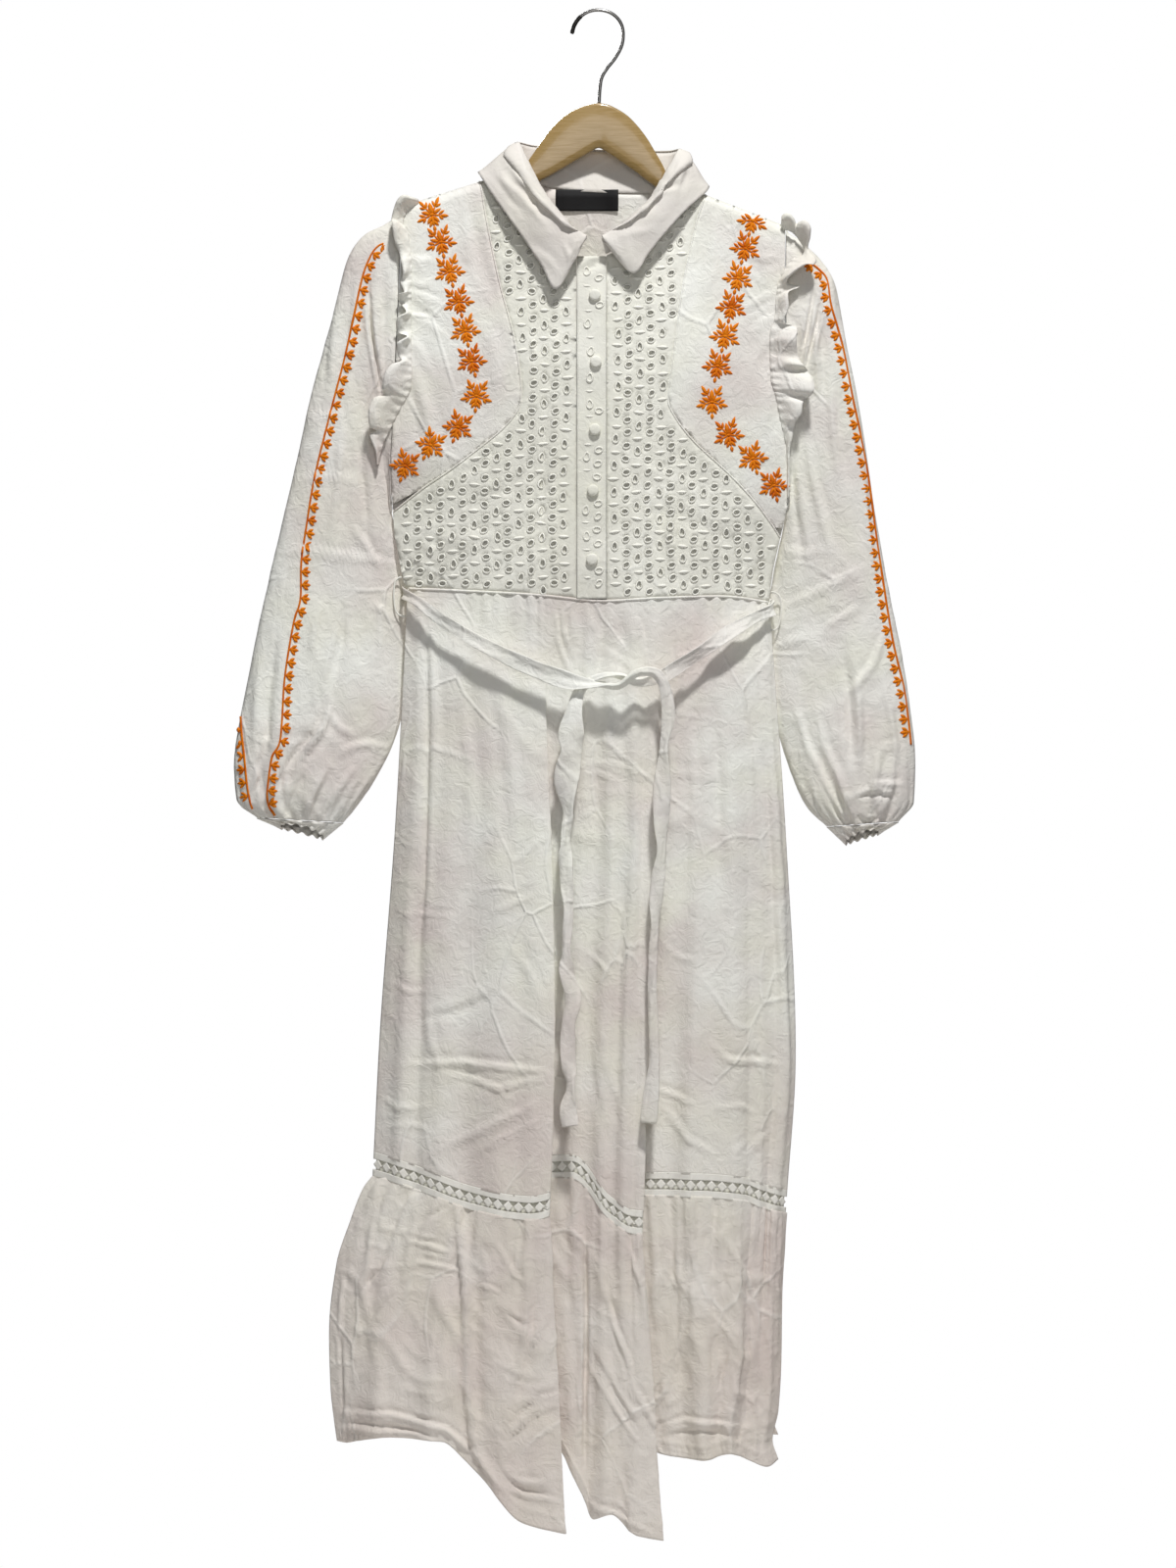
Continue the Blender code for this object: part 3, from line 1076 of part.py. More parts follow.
def outward_of(points):
    """Direction away from the middle of the waist, flat in plan."""
    away = np.stack([points[:, 0] / 190.0**2, points[:, 1] / 30.0**2, np.zeros(len(points))], axis=1)
    return away / np.linalg.norm(away, axis=1, keepdims=True)


def tube(name, centre, radius, sides, colour):
    """Round rod along a path, both ends closed."""
    centre = np.asarray(centre, float)
    run = np.gradient(centre, axis=0)
    run /= np.linalg.norm(run, axis=1, keepdims=True)
    across = np.cross(run, [0.0, 1.0, 0.0])
    across /= np.linalg.norm(across, axis=1, keepdims=True)
    other = np.cross(run, across)
    points = []
    for k in range(sides):
        turn = 2 * math.pi * k / sides
        points.append(centre + radius * (across * math.cos(turn) + other * math.sin(turn)))
    points = np.array(points).transpose(1, 0, 2)
    faces = grid_faces(len(centre), sides, closed=True)
    faces.append(tuple(range(sides))[::-1])
    last = (len(centre) - 1) * sides
    faces.append(tuple(last + k for k in range(sides)))
    return make_object(name, points.reshape(-1, 3), faces, colour)


def build_belt_loops():
    """Thread loops standing off the side seams round the belt."""
    for name, first, last, toward, top, bottom in (
        ("belt_loop_left", 409.7, 414.1, -1.0, 589.0, 629.0),
        ("belt_loop_right", 787.0, 787.2, 1.0, 604.0, 643.0),
    ):
        reach = 0.5 * (first + last) + toward * 9.0
        rows = [
            (first, top), (0.5 * (first + reach), top + 1.0), (reach, top + 6.0), (reach + toward, 0.5 * (top + bottom)),
            (reach - toward, bottom - 6.0), (0.5 * (last + reach), bottom - 1.0), (last, bottom),
        ]
        path = flowing(np.array(rows), 11)
        tube(name, place(path[:, 0], path[:, 1], np.zeros(len(path))), 0.9, 6, WHITE_VOILE)


def build_hook():
    path = flowing(HOOK, 27)
    tube("hanger_hook", place(path[:, 0], path[:, 1], np.zeros(len(path))), HOOK_WIRE, 7, STEEL)


def build_hanger():
    """Wooden hanger: rounded upright sections from tip to tip."""
    ring = 8
    points = []
    for across, top, bottom, thick in HANGER:
        middle = 0.5 * (top + bottom)
        half = 0.5 * (bottom - top)
        chamfer = min(3.0, 0.6 * thick)
        for depth, down in (
            (thick, -half + chamfer), (thick - chamfer * 0.8, -half), (-thick + chamfer * 0.8, -half),
            (-thick, -half + chamfer), (-thick, half - chamfer), (-thick + chamfer * 0.8, half),
            (thick - chamfer * 0.8, half), (thick, half - chamfer),
        ):
            points.append(place(across, middle + down, depth))
    faces = grid_faces(len(HANGER), ring, closed=True)
    faces.append(tuple(range(ring))[::-1])
    last = (len(HANGER) - 1) * ring
    faces.append(tuple(last + k for k in range(ring)))
    make_object("hanger_wood", np.array(points), faces, BEECH)


def clear_scene():
    for obj in list(bpy.data.objects):
        bpy.data.objects.remove(obj, do_unlink=True)


def main():
    clear_scene()
    build_hanger()
    build_hook()
    build_bodice_fronts()
    build_side_fronts()
    build_bodice_back()
    build_placket()
    build_buttons()
    build_collar()
    build_label()
    build_ruffles()
    build_sleeves()
    build_cuffs()
    build_skirt_front()
    build_skirt_back()
    build_lace()
    build_flounce()
    build_belt()
    build_belt_loops()


main()
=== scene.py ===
import math

import bpy
import numpy as np
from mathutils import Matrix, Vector
from mathutils.geometry import delaunay_2d_cdt


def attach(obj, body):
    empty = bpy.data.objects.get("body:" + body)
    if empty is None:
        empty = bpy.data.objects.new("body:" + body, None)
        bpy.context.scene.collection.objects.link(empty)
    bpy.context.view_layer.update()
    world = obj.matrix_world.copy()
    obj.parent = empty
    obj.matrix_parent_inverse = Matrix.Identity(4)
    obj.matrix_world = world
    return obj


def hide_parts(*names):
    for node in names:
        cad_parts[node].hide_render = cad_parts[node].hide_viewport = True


# Lengths are mm on a flat layout sheet: across from its left edge, down from its top. The seat of the hook
# is (612, 12) on that sheet and the origin here. Depth is negative towards the front.
seat = (612, 12)

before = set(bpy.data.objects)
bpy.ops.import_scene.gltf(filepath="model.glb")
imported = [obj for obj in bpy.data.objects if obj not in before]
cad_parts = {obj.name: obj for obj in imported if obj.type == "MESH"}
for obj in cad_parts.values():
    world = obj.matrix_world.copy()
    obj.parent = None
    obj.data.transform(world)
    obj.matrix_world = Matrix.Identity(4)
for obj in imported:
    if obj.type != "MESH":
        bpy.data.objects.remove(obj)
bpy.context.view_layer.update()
print("frame loaded")


def table(*rows):
    # rows as one array
    return np.array(rows, float)


def ease(t):
    # smooth step: 3 t squared minus 2 t cubed, held at 0 and 1
    t = np.clip(t, 0, 1)
    return t * t * (3 - 2 * t)


def bell(x):
    # e to the minus x squared
    return np.exp(-(x * x))


def unit(v):
    # the vector over its length
    return v / np.maximum(np.linalg.norm(v, axis=-1, keepdims=True), 1e-9)


def runLength(points):
    # the length walked along a path, up to each of its points
    return np.concatenate([[0], np.cumsum(np.linalg.norm(np.diff(points, axis=0), axis=1))])


def place(across, down, depth):
    # sheet to world axes, still in mm: X is across less 612, Z is 12 less down
    return np.stack(np.broadcast_arrays(across - seat[0], depth, seat[1] - down), axis=-1).astype(float)


def ring(count):
    # angles evenly round a circle
    return 2 * math.pi * np.arange(count) / count


def cubic(a, b, first, last, t):
    # from a to b with the slopes first and last at the ends
    return a + t * (first + t * (3 * (b - a) - 2 * first - last + t * (2 * (a - b) + first + last)))


def straight(rows, k, at):
    # straight lines through column k of the rows against their first column
    return np.interp(at, rows[:, 0], rows[:, k])


def smooth(rows, k, at):
    # cubics through column k; each slope is the harmonic mean of its neighbours, so nothing overshoots
    knots, values = rows[:, 0], rows[:, k]
    span = np.diff(knots)
    rise = np.diff(values) / span
    same = rise[:-1] * rise[1:] > 0
    mean = 2 * rise[:-1] * rise[1:] / np.where(same, rise[:-1] + rise[1:], 1)
    slope = np.concatenate([rise[:1], np.where(same, mean, 0), rise[-1:]])
    at = np.clip(at, knots[0], knots[-1])
    cell = np.clip(np.searchsorted(knots, at, side="right") - 1, 0, len(span) - 1)
    wide = span[cell]
    return cubic(values[cell], values[cell + 1], slope[cell] * wide, slope[cell + 1] * wide,
                 (at - knots[cell]) / wide)


def flowing(rows, count):
    # Catmull-Rom path through the rows
    padded = np.vstack([2 * rows[0] - rows[1], rows, 2 * rows[-1] - rows[-2]])
    at = np.linspace(0, len(rows) - 1, count)
    cell = np.minimum(at.astype(int), len(rows) - 2)
    t = (at - cell)[:, None]
    a, b, c, d = (padded[cell + k] for k in range(4))
    return 0.5 * (2 * b + (c - a) * t + (2 * a - 5 * b + 4 * c - d) * t**2 + (3 * b - a - 3 * c + d) * t**3)


def evenPath(rows, step):
    # the same path with its points a fixed length apart on the sheet
    fine = flowing(rows, 40 * len(rows))
    run = runLength(fine[:, :2])
    at = np.linspace(0, run[-1], max(2, int(round(run[-1] / step)) + 1))
    return np.stack([np.interp(at, run, fine[:, k]) for k in range(fine.shape[1])], axis=1)


def noise(u, v, seed):
    # random numbers on a square lattice, eased between its corners: -1 to 1
    size = 64
    lattice = np.random.default_rng(seed).uniform(-1, 1, (size, size))
    iu, iv = np.floor(u).astype(int), np.floor(v).astype(int)
    fu, fv = ease(u - iu), ease(v - iv)
    iu, ju, iv, jv = iu % size, (iu + 1) % size, iv % size, (iv + 1) % size
    top = lattice[iu, iv] * (1 - fu) + lattice[ju, iv] * fu
    low = lattice[iu, jv] * (1 - fu) + lattice[ju, jv] * fu
    return top * (1 - fv) + low * fv


def crumple(u, v, seed):
    # sharp-crested small folds: a crest where a warped noise crosses zero, in two sizes
    wu = u + 0.9 * noise(0.6 * u, 0.6 * v, seed + 1)
    wv = v + 0.9 * noise(0.6 * u + 7.3, 0.6 * v, seed + 2)
    big = np.clip(1 - 2.6 * np.abs(noise(wu, wv, seed)), 0, 1)
    small = np.clip(1 - 2.2 * np.abs(noise(2.3 * wv, 2.3 * wu, seed + 3)), 0, 1)
    return big**1.5 * (0.5 + 0.5 * noise(0.5 * u, 0.5 * v, seed + 4)) + 0.35 * small**1.5


def strokes(across, down, creases, slim=1):
    # each crease is a crest along its path: its height times a bell over the distance, less a shallow trough
    # on one side, fading to both ends; a row is width, height, then across and down of each point
    total = np.zeros(np.broadcast(across, down).shape)
    for row in creases:
        width = row[0] * slim
        path = np.reshape(row[2:], (-1, 2)).astype(float)
        low, high = path.min(axis=0) - 5 * width, path.max(axis=0) + 5 * width
        near = (across > low[0]) & (across < high[0]) & (down > low[1]) & (down < high[1])
        a, d = across[near], down[near]
        if not a.size:
            continue
        best = np.full(a.shape, 1e9)
        signed, along = np.zeros(a.shape), np.zeros(a.shape)
        start = 0
        for p, q, length in zip(path[:-1], path[1:], np.linalg.norm(np.diff(path, axis=0), axis=1)):
            run = (q - p) / length
            t = np.clip((a - p[0]) * run[0] + (d - p[1]) * run[1], 0, length)
            dx = a - p[0] - t * run[0]
            dd = d - p[1] - t * run[1]
            distance = np.hypot(dx, dd)
            nearer = distance < best
            best = np.where(nearer, distance, best)
            signed = np.where(nearer, np.copysign(distance, dx * run[1] - dd * run[0]), signed)
            along = np.where(nearer, start + t, along)
            start += length
        u = signed / width
        fade = np.sin(math.pi * np.clip(along / start, 0.02, 0.98)) ** 0.7
        total[near] += row[1] * fade * (bell(u) - 0.5 * bell((u - 1.8) / 1.3))
    return total


def gridFaces(rows, columns, closed=False):
    # four-cornered faces over a grid of points; closed joins its last column to the first
    i, j = np.meshgrid(np.arange(rows - 1), np.arange(columns if closed else columns - 1), indexing="ij")
    k = (j + 1) % columns
    below = (i + 1) * columns
    return np.stack([i * columns + j, i * columns + k, below + k, below + j], axis=-1).reshape(-1, 4)


def gridNormals(points, closed=False):
    # the cross product of the slopes along a grid's two directions
    if closed:
        over = 0.5 * (np.roll(points, -1, axis=1) - np.roll(points, 1, axis=1))
    else:
        over = np.gradient(points, axis=1)
    return unit(np.cross(over, np.gradient(points, axis=0)))


def facesOut(points, faces):
    # turns all faces of a closed mesh round if its volume comes out negative
    total = 0
    for part in faces:
        corner = points[part[:, 0]]
        for k in range(1, part.shape[1] - 1):
            total += np.einsum("ij,ij->i", corner, np.cross(points[part[:, k]], points[part[:, k + 1]])).sum()
    return [part[:, ::-1] for part in faces] if total < 0 else faces


def tube(rings, along=None, pitch=0.4):
    # closed rings (rows, columns, 3), capped at both ends: points, faces and a uv in mm along and round it
    rows, columns = rings.shape[:2]
    cap = np.arange(columns)[None]
    points = rings.reshape(-1, 3)
    faces = [gridFaces(rows, columns, closed=True), cap[:, ::-1], cap + (rows - 1) * columns]
    along = np.zeros(rows) if along is None else along
    uv = np.stack([np.repeat(along, columns), np.tile(np.arange(columns) * pitch, rows)], axis=1)
    return points, facesOut(points, faces), uv


def padFaces(rows, columns):
    # a grid, the same grid turned over below it, and the rim between the two
    cell = gridFaces(rows, columns)
    grid = np.arange(rows * columns).reshape(rows, columns)
    rim = np.concatenate([grid[0, :-1], grid[:-1, -1], grid[-1, :0:-1], grid[:0:-1, 0]])
    after = np.roll(rim, -1)
    sides = np.stack([after, rim, rim + grid.size, after + grid.size], axis=1)
    return np.vstack([cell, cell[:, ::-1] + grid.size, sides])


def copiesOf(points, faces):
    # one set of faces for each of the N copies in points (N, P, 3)
    n, p = points.shape[:2]
    shifted = faces[None] + (np.arange(n) * p)[:, None, None]
    return points.reshape(-1, 3), [shifted.reshape(-1, faces.shape[1])]


def joinShapes(shapes):
    # several (points, list of face arrays, uv) into one
    points, faces, uvs = [], [], []
    count = 0
    for shape in shapes:
        points.append(shape[0])
        faces += [part + count for part in shape[1]]
        uvs.append(shape[2])
        count += len(shape[0])
    return np.vstack(points), faces, np.vstack(uvs)


made = {}


def intoScene(name, data):
    # an object for a mesh, lamp or camera, linked to the scene
    thing = bpy.data.objects.new(name, data)
    bpy.context.scene.collection.objects.link(thing)
    return thing


def sew(name, shape, material, slotName="white_voile", node=None, thick=0):
    # a piece from points in mm, faces and one uv pair for each point; node is the solid it stands for
    points, faces, uv = shape if len(shape) == 3 else (*shape, None)
    mesh = bpy.data.meshes.new(name)
    faces = [faces] if isinstance(faces, np.ndarray) else faces
    corners = [face for part in faces for face in part.tolist()]
    mesh.from_pydata((np.reshape(points, (-1, 3)) * 0.001).tolist(), [], corners)
    if uv is not None:
        loops = np.empty(len(mesh.loops), np.int32)
        mesh.loops.foreach_get("vertex_index", loops)
        corners = uv.reshape(-1, 2)[loops].astype(np.float32)
        mesh.uv_layers.new(name="UVMap").data.foreach_set("uv", corners.ravel())
    mesh.update()
    mesh.shade_smooth()
    mesh.materials.append(material)
    piece = intoScene(name, mesh)
    if thick:
        wall = piece.modifiers.new("wall", "SOLIDIFY")
        wall.thickness = thick * 0.001
        wall.offset = 0
    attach(piece, "root")
    if node:
        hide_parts(node)
    made[name] = piece
    return piece


def linear(hexColour):
    # sRGB to linear: over 12.92 near black, else the 2.4 power
    c = np.array([int(hexColour[k:k + 2], 16) for k in (1, 3, 5)]) / 255
    c = np.where(c <= 0.04045, c / 12.92, ((c + 0.055) / 1.055) ** 2.4)
    return (*c.tolist(), 1)


def linkTo(tree, node, links):
    # a source is an output, or a node that gives its first one
    for key, source in links.items():
        tree.links.new(getattr(source, "outputs", [source])[0], node.inputs[key])


def addNode(tree, kind, settings, links):
    # one node with its settings and links
    node = tree.nodes.new("ShaderNode" + kind)
    for key, value in settings.items():
        if isinstance(key, str) and hasattr(node, key):
            setattr(node, key, value)
        else:
            node.inputs[key].default_value = value
    linkTo(tree, node, links)
    return node


def newMaterial(name, settings):
    # a Principled material with its sockets set: material, tree, shader and Object coordinates
    material = bpy.data.materials.new(name)
    material.use_nodes = True
    tree = material.node_tree
    shader = tree.nodes["Principled BSDF"]
    for key, value in settings.items():
        shader.inputs[key].default_value = value
    return material, tree, shader, addNode(tree, "TexCoord", {}, {}).outputs["Object"]


clothLook = {
    # thread and wall in mm; crumple and ridge are the strengths of the fine folds and of the pressed creases
    # low is the colour the cloth turns towards low on the dress: painted shade for the light falling off
    # towards the hem
    "voile": {"light": "#F2F2EB", "shade": "#DDD4CE", "warm": "#EBEADB", "low": "#D5C5BB", "thread": 1.5,
              "crumple": 0.5, "ridge": 0.6, "roughness": 0.88},
    "eyelet": {"light": "#F0EFE5", "shade": "#E1DFD4", "warm": "#E9E8DA", "low": "#E0DED2", "thread": 1.6,
               "crumple": 0.35, "ridge": 0.3, "roughness": 0.86},
    # the collar's colours are darker than the other cottons: painted shade, standing in for the shade on the
    # folded collar
    "collar": {"light": "#E7E3DC", "shade": "#D6CFC8", "warm": "#E2DED3", "low": "#E2DED3", "thread": 1.4,
               "crumple": 0.25, "ridge": 0.2, "roughness": 0.84},
    # creaseWidth is how narrow each pressed crease is; the two crease colour settings paint a highlight along
    # it: painted highlight
    "specular": 0.2, "creaseHighlightColour": "#FFFFFB", "creaseWidth": 0.045, "creaseHighlightShare": 0.14, "wall": 0.8,
}


def clothMaterial(name, look):
    # plain-woven cotton voile, washed and creased: matt, off-white with faint warm and pinkish clouds;
    # its threads are about 0.35 mm apart, drawn about four times as coarse so that they show at all
    material, tree, shader, coords = newMaterial(
        name, {"Roughness": look["roughness"], "Specular IOR Level": clothLook["specular"]})
    clouds = addNode(tree, "TexNoise", {"Scale": 7, "Detail": 3, "Roughness": 0.55}, {"Vector": coords})
    patches = addNode(tree, "TexNoise", {"Scale": 17, "Detail": 2}, {"Vector": coords})
    height = addNode(tree, "SeparateXYZ", {}, {0: coords}).outputs[2]
    under = {}
    # clouded at random with the shade colour, patched with warm, and darker, creamier and pinker down the
    # skirt: the downward part is painted shade for the light falling off towards the hem
    for key, source, first, last, most in (
        ("shade", clouds, 0.38, 0.66, 1), ("warm", patches, 0.42, 0.72, 0.7),
        ("low", height, -0.9, -1.4, 0.5),
    ):
        share = addNode(tree, "MapRange", {"From Min": first, "From Max": last, "To Max": most},
                        {"Value": source})
        base = addNode(tree, "Mix", {"data_type": "RGBA", 6: linear(look["light"]), 7: linear(look[key])},
                       {0: share, **under})
        under = {6: base.outputs[2]}
    pitch = 1000 / look["thread"]
    slow = pitch * 0.06
    threads = []
    for scale in ((pitch, pitch, slow), (slow, slow, pitch)):
        run = addNode(tree, "Mapping", {"Scale": scale}, {"Vector": coords})
        threads.append(addNode(tree, "TexNoise", {"Scale": 1, "Detail": 1}, {"Vector": run}))
    weave = addNode(tree, "Math", {"operation": "MAXIMUM"}, {0: threads[0], 1: threads[1]})
    soft = addNode(tree, "TexNoise", {"Scale": 95, "Detail": 3, "Roughness": 0.6, "Distortion": 1.2},
                   {"Vector": coords})
    # thin pressed creases: the straight borders of large uneven cells, bent a little and kept only in patches
    where = addNode(tree, "TexNoise", {"Scale": 9, "Detail": 0}, {"Vector": coords})
    bent = addNode(tree, "Mix", {"data_type": "VECTOR", 0: 0.05}, {4: coords, 5: where.outputs["Color"]})
    stretch = addNode(tree, "Mapping", {"Scale": (1, 1, 0.7)}, {"Vector": bent.outputs[1]})
    cells = addNode(tree, "TexVoronoi", {"feature": "DISTANCE_TO_EDGE", "Scale": 17, "Randomness": 1},
                    {"Vector": stretch})
    narrow = addNode(tree, "MapRange", {
        "interpolation_type": "SMOOTHSTEP", "From Max": clothLook["creaseWidth"], "To Min": 1, "To Max": 0,
    }, {"Value": cells.outputs["Distance"]})
    patchy = addNode(tree, "MapRange", {"From Min": 0.47, "From Max": 0.62}, {"Value": where})
    crease = addNode(tree, "Math", {"operation": "MULTIPLY"}, {0: narrow, 1: patchy})
    bump = {}
    for source, strength, distance in (
        (weave, 0.5, 0.00022), (soft, look["crumple"], 0.003), (crease, look["ridge"], 0.0012),
    ):
        links = {"Height": source, **bump}
        bump = {"Normal": addNode(tree, "Bump", {"Strength": strength, "Distance": distance}, links)}
    # painted highlight: along each pressed crease the base colour is mixed towards near white, standing in
    # for light catching the crease's edge
    creaseHighlight = addNode(tree, "Math", {"operation": "MULTIPLY", 1: clothLook["creaseHighlightShare"]}, {0: crease})
    base = addNode(tree, "Mix", {"data_type": "RGBA", 7: linear(clothLook["creaseHighlightColour"])}, {0: creaseHighlight, **under})
    linkTo(tree, shader, {"Base Color": base.outputs[2], **bump})
    return material


def threadMaterial(name, light, shade, pitch, roughness, tone=False):
    # embroidery or crochet thread laid side by side: stripes run across the stitch, along the piece's own v,
    # each groove between threads painted darker by the same wave that raises them (painted shade);
    # satin-stitch motifs also get a painted highlight towards each petal's crest, and differ in paleness from
    # motif to motif, by their tone
    material, tree, shader, coords = newMaterial(name, {"Roughness": roughness, "Specular IOR Level": 0.16})
    uv = addNode(tree, "TexCoord", {}, {}).outputs["UV"]
    # uv is in mm; a wave has 20 / (2 pi) bands for each unit of scale
    wave = addNode(tree, "TexWave", {
        "wave_type": "BANDS", "bands_direction": "X", "Scale": 2 * math.pi / 20 / pitch,
        "Distortion": 0.7, "Detail": 1, "Detail Scale": 2,
    }, {"Vector": uv})
    wave = wave.outputs["Fac"]
    tint = addNode(tree, "TexNoise", {"Scale": 160, "Detail": 2}, {"Vector": coords})
    # painted shade: the stripe wave, which also raises the threads below, mixes the colour darker in the
    # grooves between threads; the noise tint is the thread's own uneven colour
    paintedShadingAndTint = addNode(tree, "Math", {"operation": "MULTIPLY"}, {0: wave, 1: tint})
    first, last = 0.02, 0.42
    if tone:
        first, last = 0, 0.27
        # the tone attribute is half the motif's own paleness and half a painted highlight towards each
        # petal's crest
        crest = addNode(tree, "Attribute", {"attribute_name": "tone"}, {}).outputs["Fac"]
        crest = addNode(tree, "Math", {"operation": "ADD", 1: 0.25}, {0: crest})
        paintedShadingAndTint = addNode(tree, "Math", {"operation": "MULTIPLY_ADD", 2: -0.12}, {0: paintedShadingAndTint, 1: crest})
    ramp = addNode(tree, "MapRange", {"From Min": first, "From Max": last}, {"Value": paintedShadingAndTint})
    base = addNode(tree, "Mix", {"data_type": "RGBA", 6: linear(shade), 7: linear(light)}, {0: ramp})
    bump = addNode(tree, "Bump", {"Strength": 0.5, "Distance": 0.0003}, {"Height": wave})
    linkTo(tree, shader, {"Base Color": base.outputs[2], "Normal": bump})
    return material


voile = clothMaterial("creasedCottonVoile", clothLook["voile"])
eyeletCotton = clothMaterial("broderieCotton", clothLook["eyelet"])
# the collar's cotton is drawn darker than the rest: painted shade
collarCottonPaintedShade = clothMaterial("collarCottonWithPaintedShade", clothLook["collar"])
orangeThread = threadMaterial("satinStitchOrange", "#F89B12", "#CB5600", 0.8, 0.6, tone=True)
whiteThread = threadMaterial("satinStitchWhite", "#FBFAF2", "#ECEADF", 0.9, 0.5)
crochetThread = threadMaterial("crochetCotton", "#FBF9F2", "#E2DED3", 1.1, 0.8)


def sewCloth(node, points, faces=None, material=voile, thick=clothLook["wall"], **more):
    # a sheet named after the solid it stands for; without faces its points are a grid
    faces = gridFaces(*points.shape[:2]) if faces is None else faces
    sew(node + "_cloth", (points, faces), material, node=node, thick=thick, **more)


bodice = {
    "shoulderRoll": 9, "shoulderDepth": 8.4, "chestDepth": 25, "chestDrop": 190, "seamHalf": 0.95,
    "seamDown": 607,  # where the relief calms down to the waist seam
    "shoulder": table(
        (405, 210.5), (413, 208.5), (430, 204.5), (488, 186), (527, 173), (612, 173), (692, 190),
        (720, 199), (760, 213.5), (792, 227), (808, 232),
    ),
    # down, then across on the left and right
    "sideEdge": table(
        (160, 411, 802), (215, 411, 801), (300, 407.5, 800.5), (400, 403, 801.5), (470, 399, 803.5),
        (515, 400.5, 804.5), (545, 402.5, 797), (580, 409, 789), (612, 416, 784.5), (640, 416, 784.5),
    ),
    "edgeDepth": table(
        (0, 8.6), (60, 10.5), (180, 11), (265, 7), (310, 1.6), (335, 0.95), (480, 0.95),
    ),
    "princessLeft": table(
        (489.5, 185.8), (491.5, 194), (495, 217), (503, 258), (511, 294), (523, 339), (530, 376),
        (532, 404), (528, 421), (511, 441), (482, 464), (456, 483), (433, 498), (403, 521),
    ),
    "princessRight": table(
        (719.5, 199.2), (717, 208), (711, 226), (703, 261), (695, 302), (687, 363), (681.5, 402),
        (685, 421), (707, 451), (744, 485), (771, 514), (789, 538), (796, 549),
    ),
    "neckLeft": table(
        (526.2, 174.2), (529, 182), (533, 193), (547, 218), (568, 243), (588, 258),
    ),
    "neckRight": table(
        (692.8, 191.2), (690, 199.2), (686, 208), (672, 230), (650, 248), (619, 262),
    ),
    "neckBack": table(
        (527, 174), (531.5, 180.5), (541, 186), (562, 192), (590, 196), (620, 197.5), (652, 198),
        (676, 197.5), (687, 196), (692, 191),
    ),
    "waist": table(
        (405, 600), (427, 601), (550, 608), (614, 614), (671, 611), (735, 609), (800, 617),
    ),
    "placketLeft": 588.5, "placketRight": 618.6, "placketLift": 1.7,
    # soft creases: width, height, then across and down of each point
    "creases": [
        (3.5, 1.1, 412, 262, 428, 268, 446, 266), (3, 1, 414, 285, 430, 292, 441, 290),
        (2.6, 1.2, 414, 297, 432, 303, 452, 312), (3.2, 0.9, 416, 322, 436, 330, 455, 345),
        (3, -1, 415, 308, 430, 316, 444, 328), (3.5, 0.9, 418, 345, 431, 362, 440, 384),
        (6, 1.2, 424, 380, 436, 420, 440, 452), (5, -1, 415, 380, 424, 415, 428, 452),
        (4, 1, 472, 196, 476, 240, 484, 290), (5, -0.9, 484, 212, 492, 260, 504, 310),
        (7, 1, 497, 330, 506, 370, 505, 410), (5, 0.8, 430, 215, 426, 250, 428, 300),
        (3, 0.9, 795, 262, 780, 266, 764, 262), (3, 1, 794, 300, 776, 306, 758, 318),
        (3, -0.9, 795, 318, 778, 322, 762, 336), (3.5, 1, 795, 342, 780, 352, 770, 372),
        (6, 1.2, 789, 385, 780, 430, 776, 470), (4, 0.9, 735, 208, 728, 250, 720, 300),
        (6, -0.9, 722, 215, 714, 265, 706, 320), (5, 0.8, 713, 330, 706, 365, 708, 400),
        (5, 0.9, 778, 222, 780, 260, 778, 300), (5, 0.9, 452, 500, 490, 486, 520, 462),
        (6, -0.8, 470, 520, 520, 500, 548, 470), (7, 0.9, 425, 540, 470, 552, 520, 548),
        (6, 0.7, 640, 470, 690, 492, 740, 520), (7, -0.8, 650, 520, 700, 530, 760, 560),
        (5, 0.7, 540, 330, 548, 380, 546, 430), (5, 0.6, 660, 330, 656, 380, 662, 430),
        (4, 0.9, 412, 560, 430, 574, 446, 596), (3, 0.9, 420, 548, 440, 560, 452, 580),
        (4, 0.8, 785, 560, 768, 575, 756, 598), (3, 0.8, 663, 560, 668, 584, 676, 606),
        (3, -0.7, 655, 565, 659, 590, 664, 608), (3.2, -1.3, 556, 400, 555, 480, 553, 545, 549, 606),
        (3, 0.9, 550, 400, 549, 480, 547, 545, 543, 604),
        (3.4, -1.3, 676, 418, 679, 480, 676, 545, 675, 606), (3, 1, 684, 430, 688, 490, 684, 550, 682, 606),
    ],
}


def belowShoulder(across, down):
    # how far under the shoulder line, never less than 0
    return np.maximum(down - straight(bodice["shoulder"], 1, across), 0)


def bodyHalf(across, down):
    # half depth: rolls off the shoulder seam, then grows to the chest, times 1 - side^2.4 to the side edges
    below = belowShoulder(across, down)
    left, right = (straight(bodice["sideEdge"], k, down) for k in (1, 2))
    side = np.clip(np.abs((across - 0.5 * (left + right)) / (0.5 * (right - left))), 0, 1)
    roll = np.clip(below / bodice["shoulderRoll"], 0, 1)
    rolled = bodice["seamHalf"] + (bodice["shoulderDepth"] - bodice["seamHalf"]) * (1 - (1 - roll) ** 2)
    edge = smooth(bodice["edgeDepth"], 1, below)
    deeper = bodice["chestDepth"] - bodice["shoulderDepth"]
    chest = bodice["shoulderDepth"] + deeper * ease(below / bodice["chestDrop"] * 0.9)
    chest = chest + 3 * ease((below - 300) / 140)
    full = edge + (chest - edge) * (1 - side**2.4)
    return np.where(below < bodice["shoulderRoll"], np.minimum(rolled, full), full)


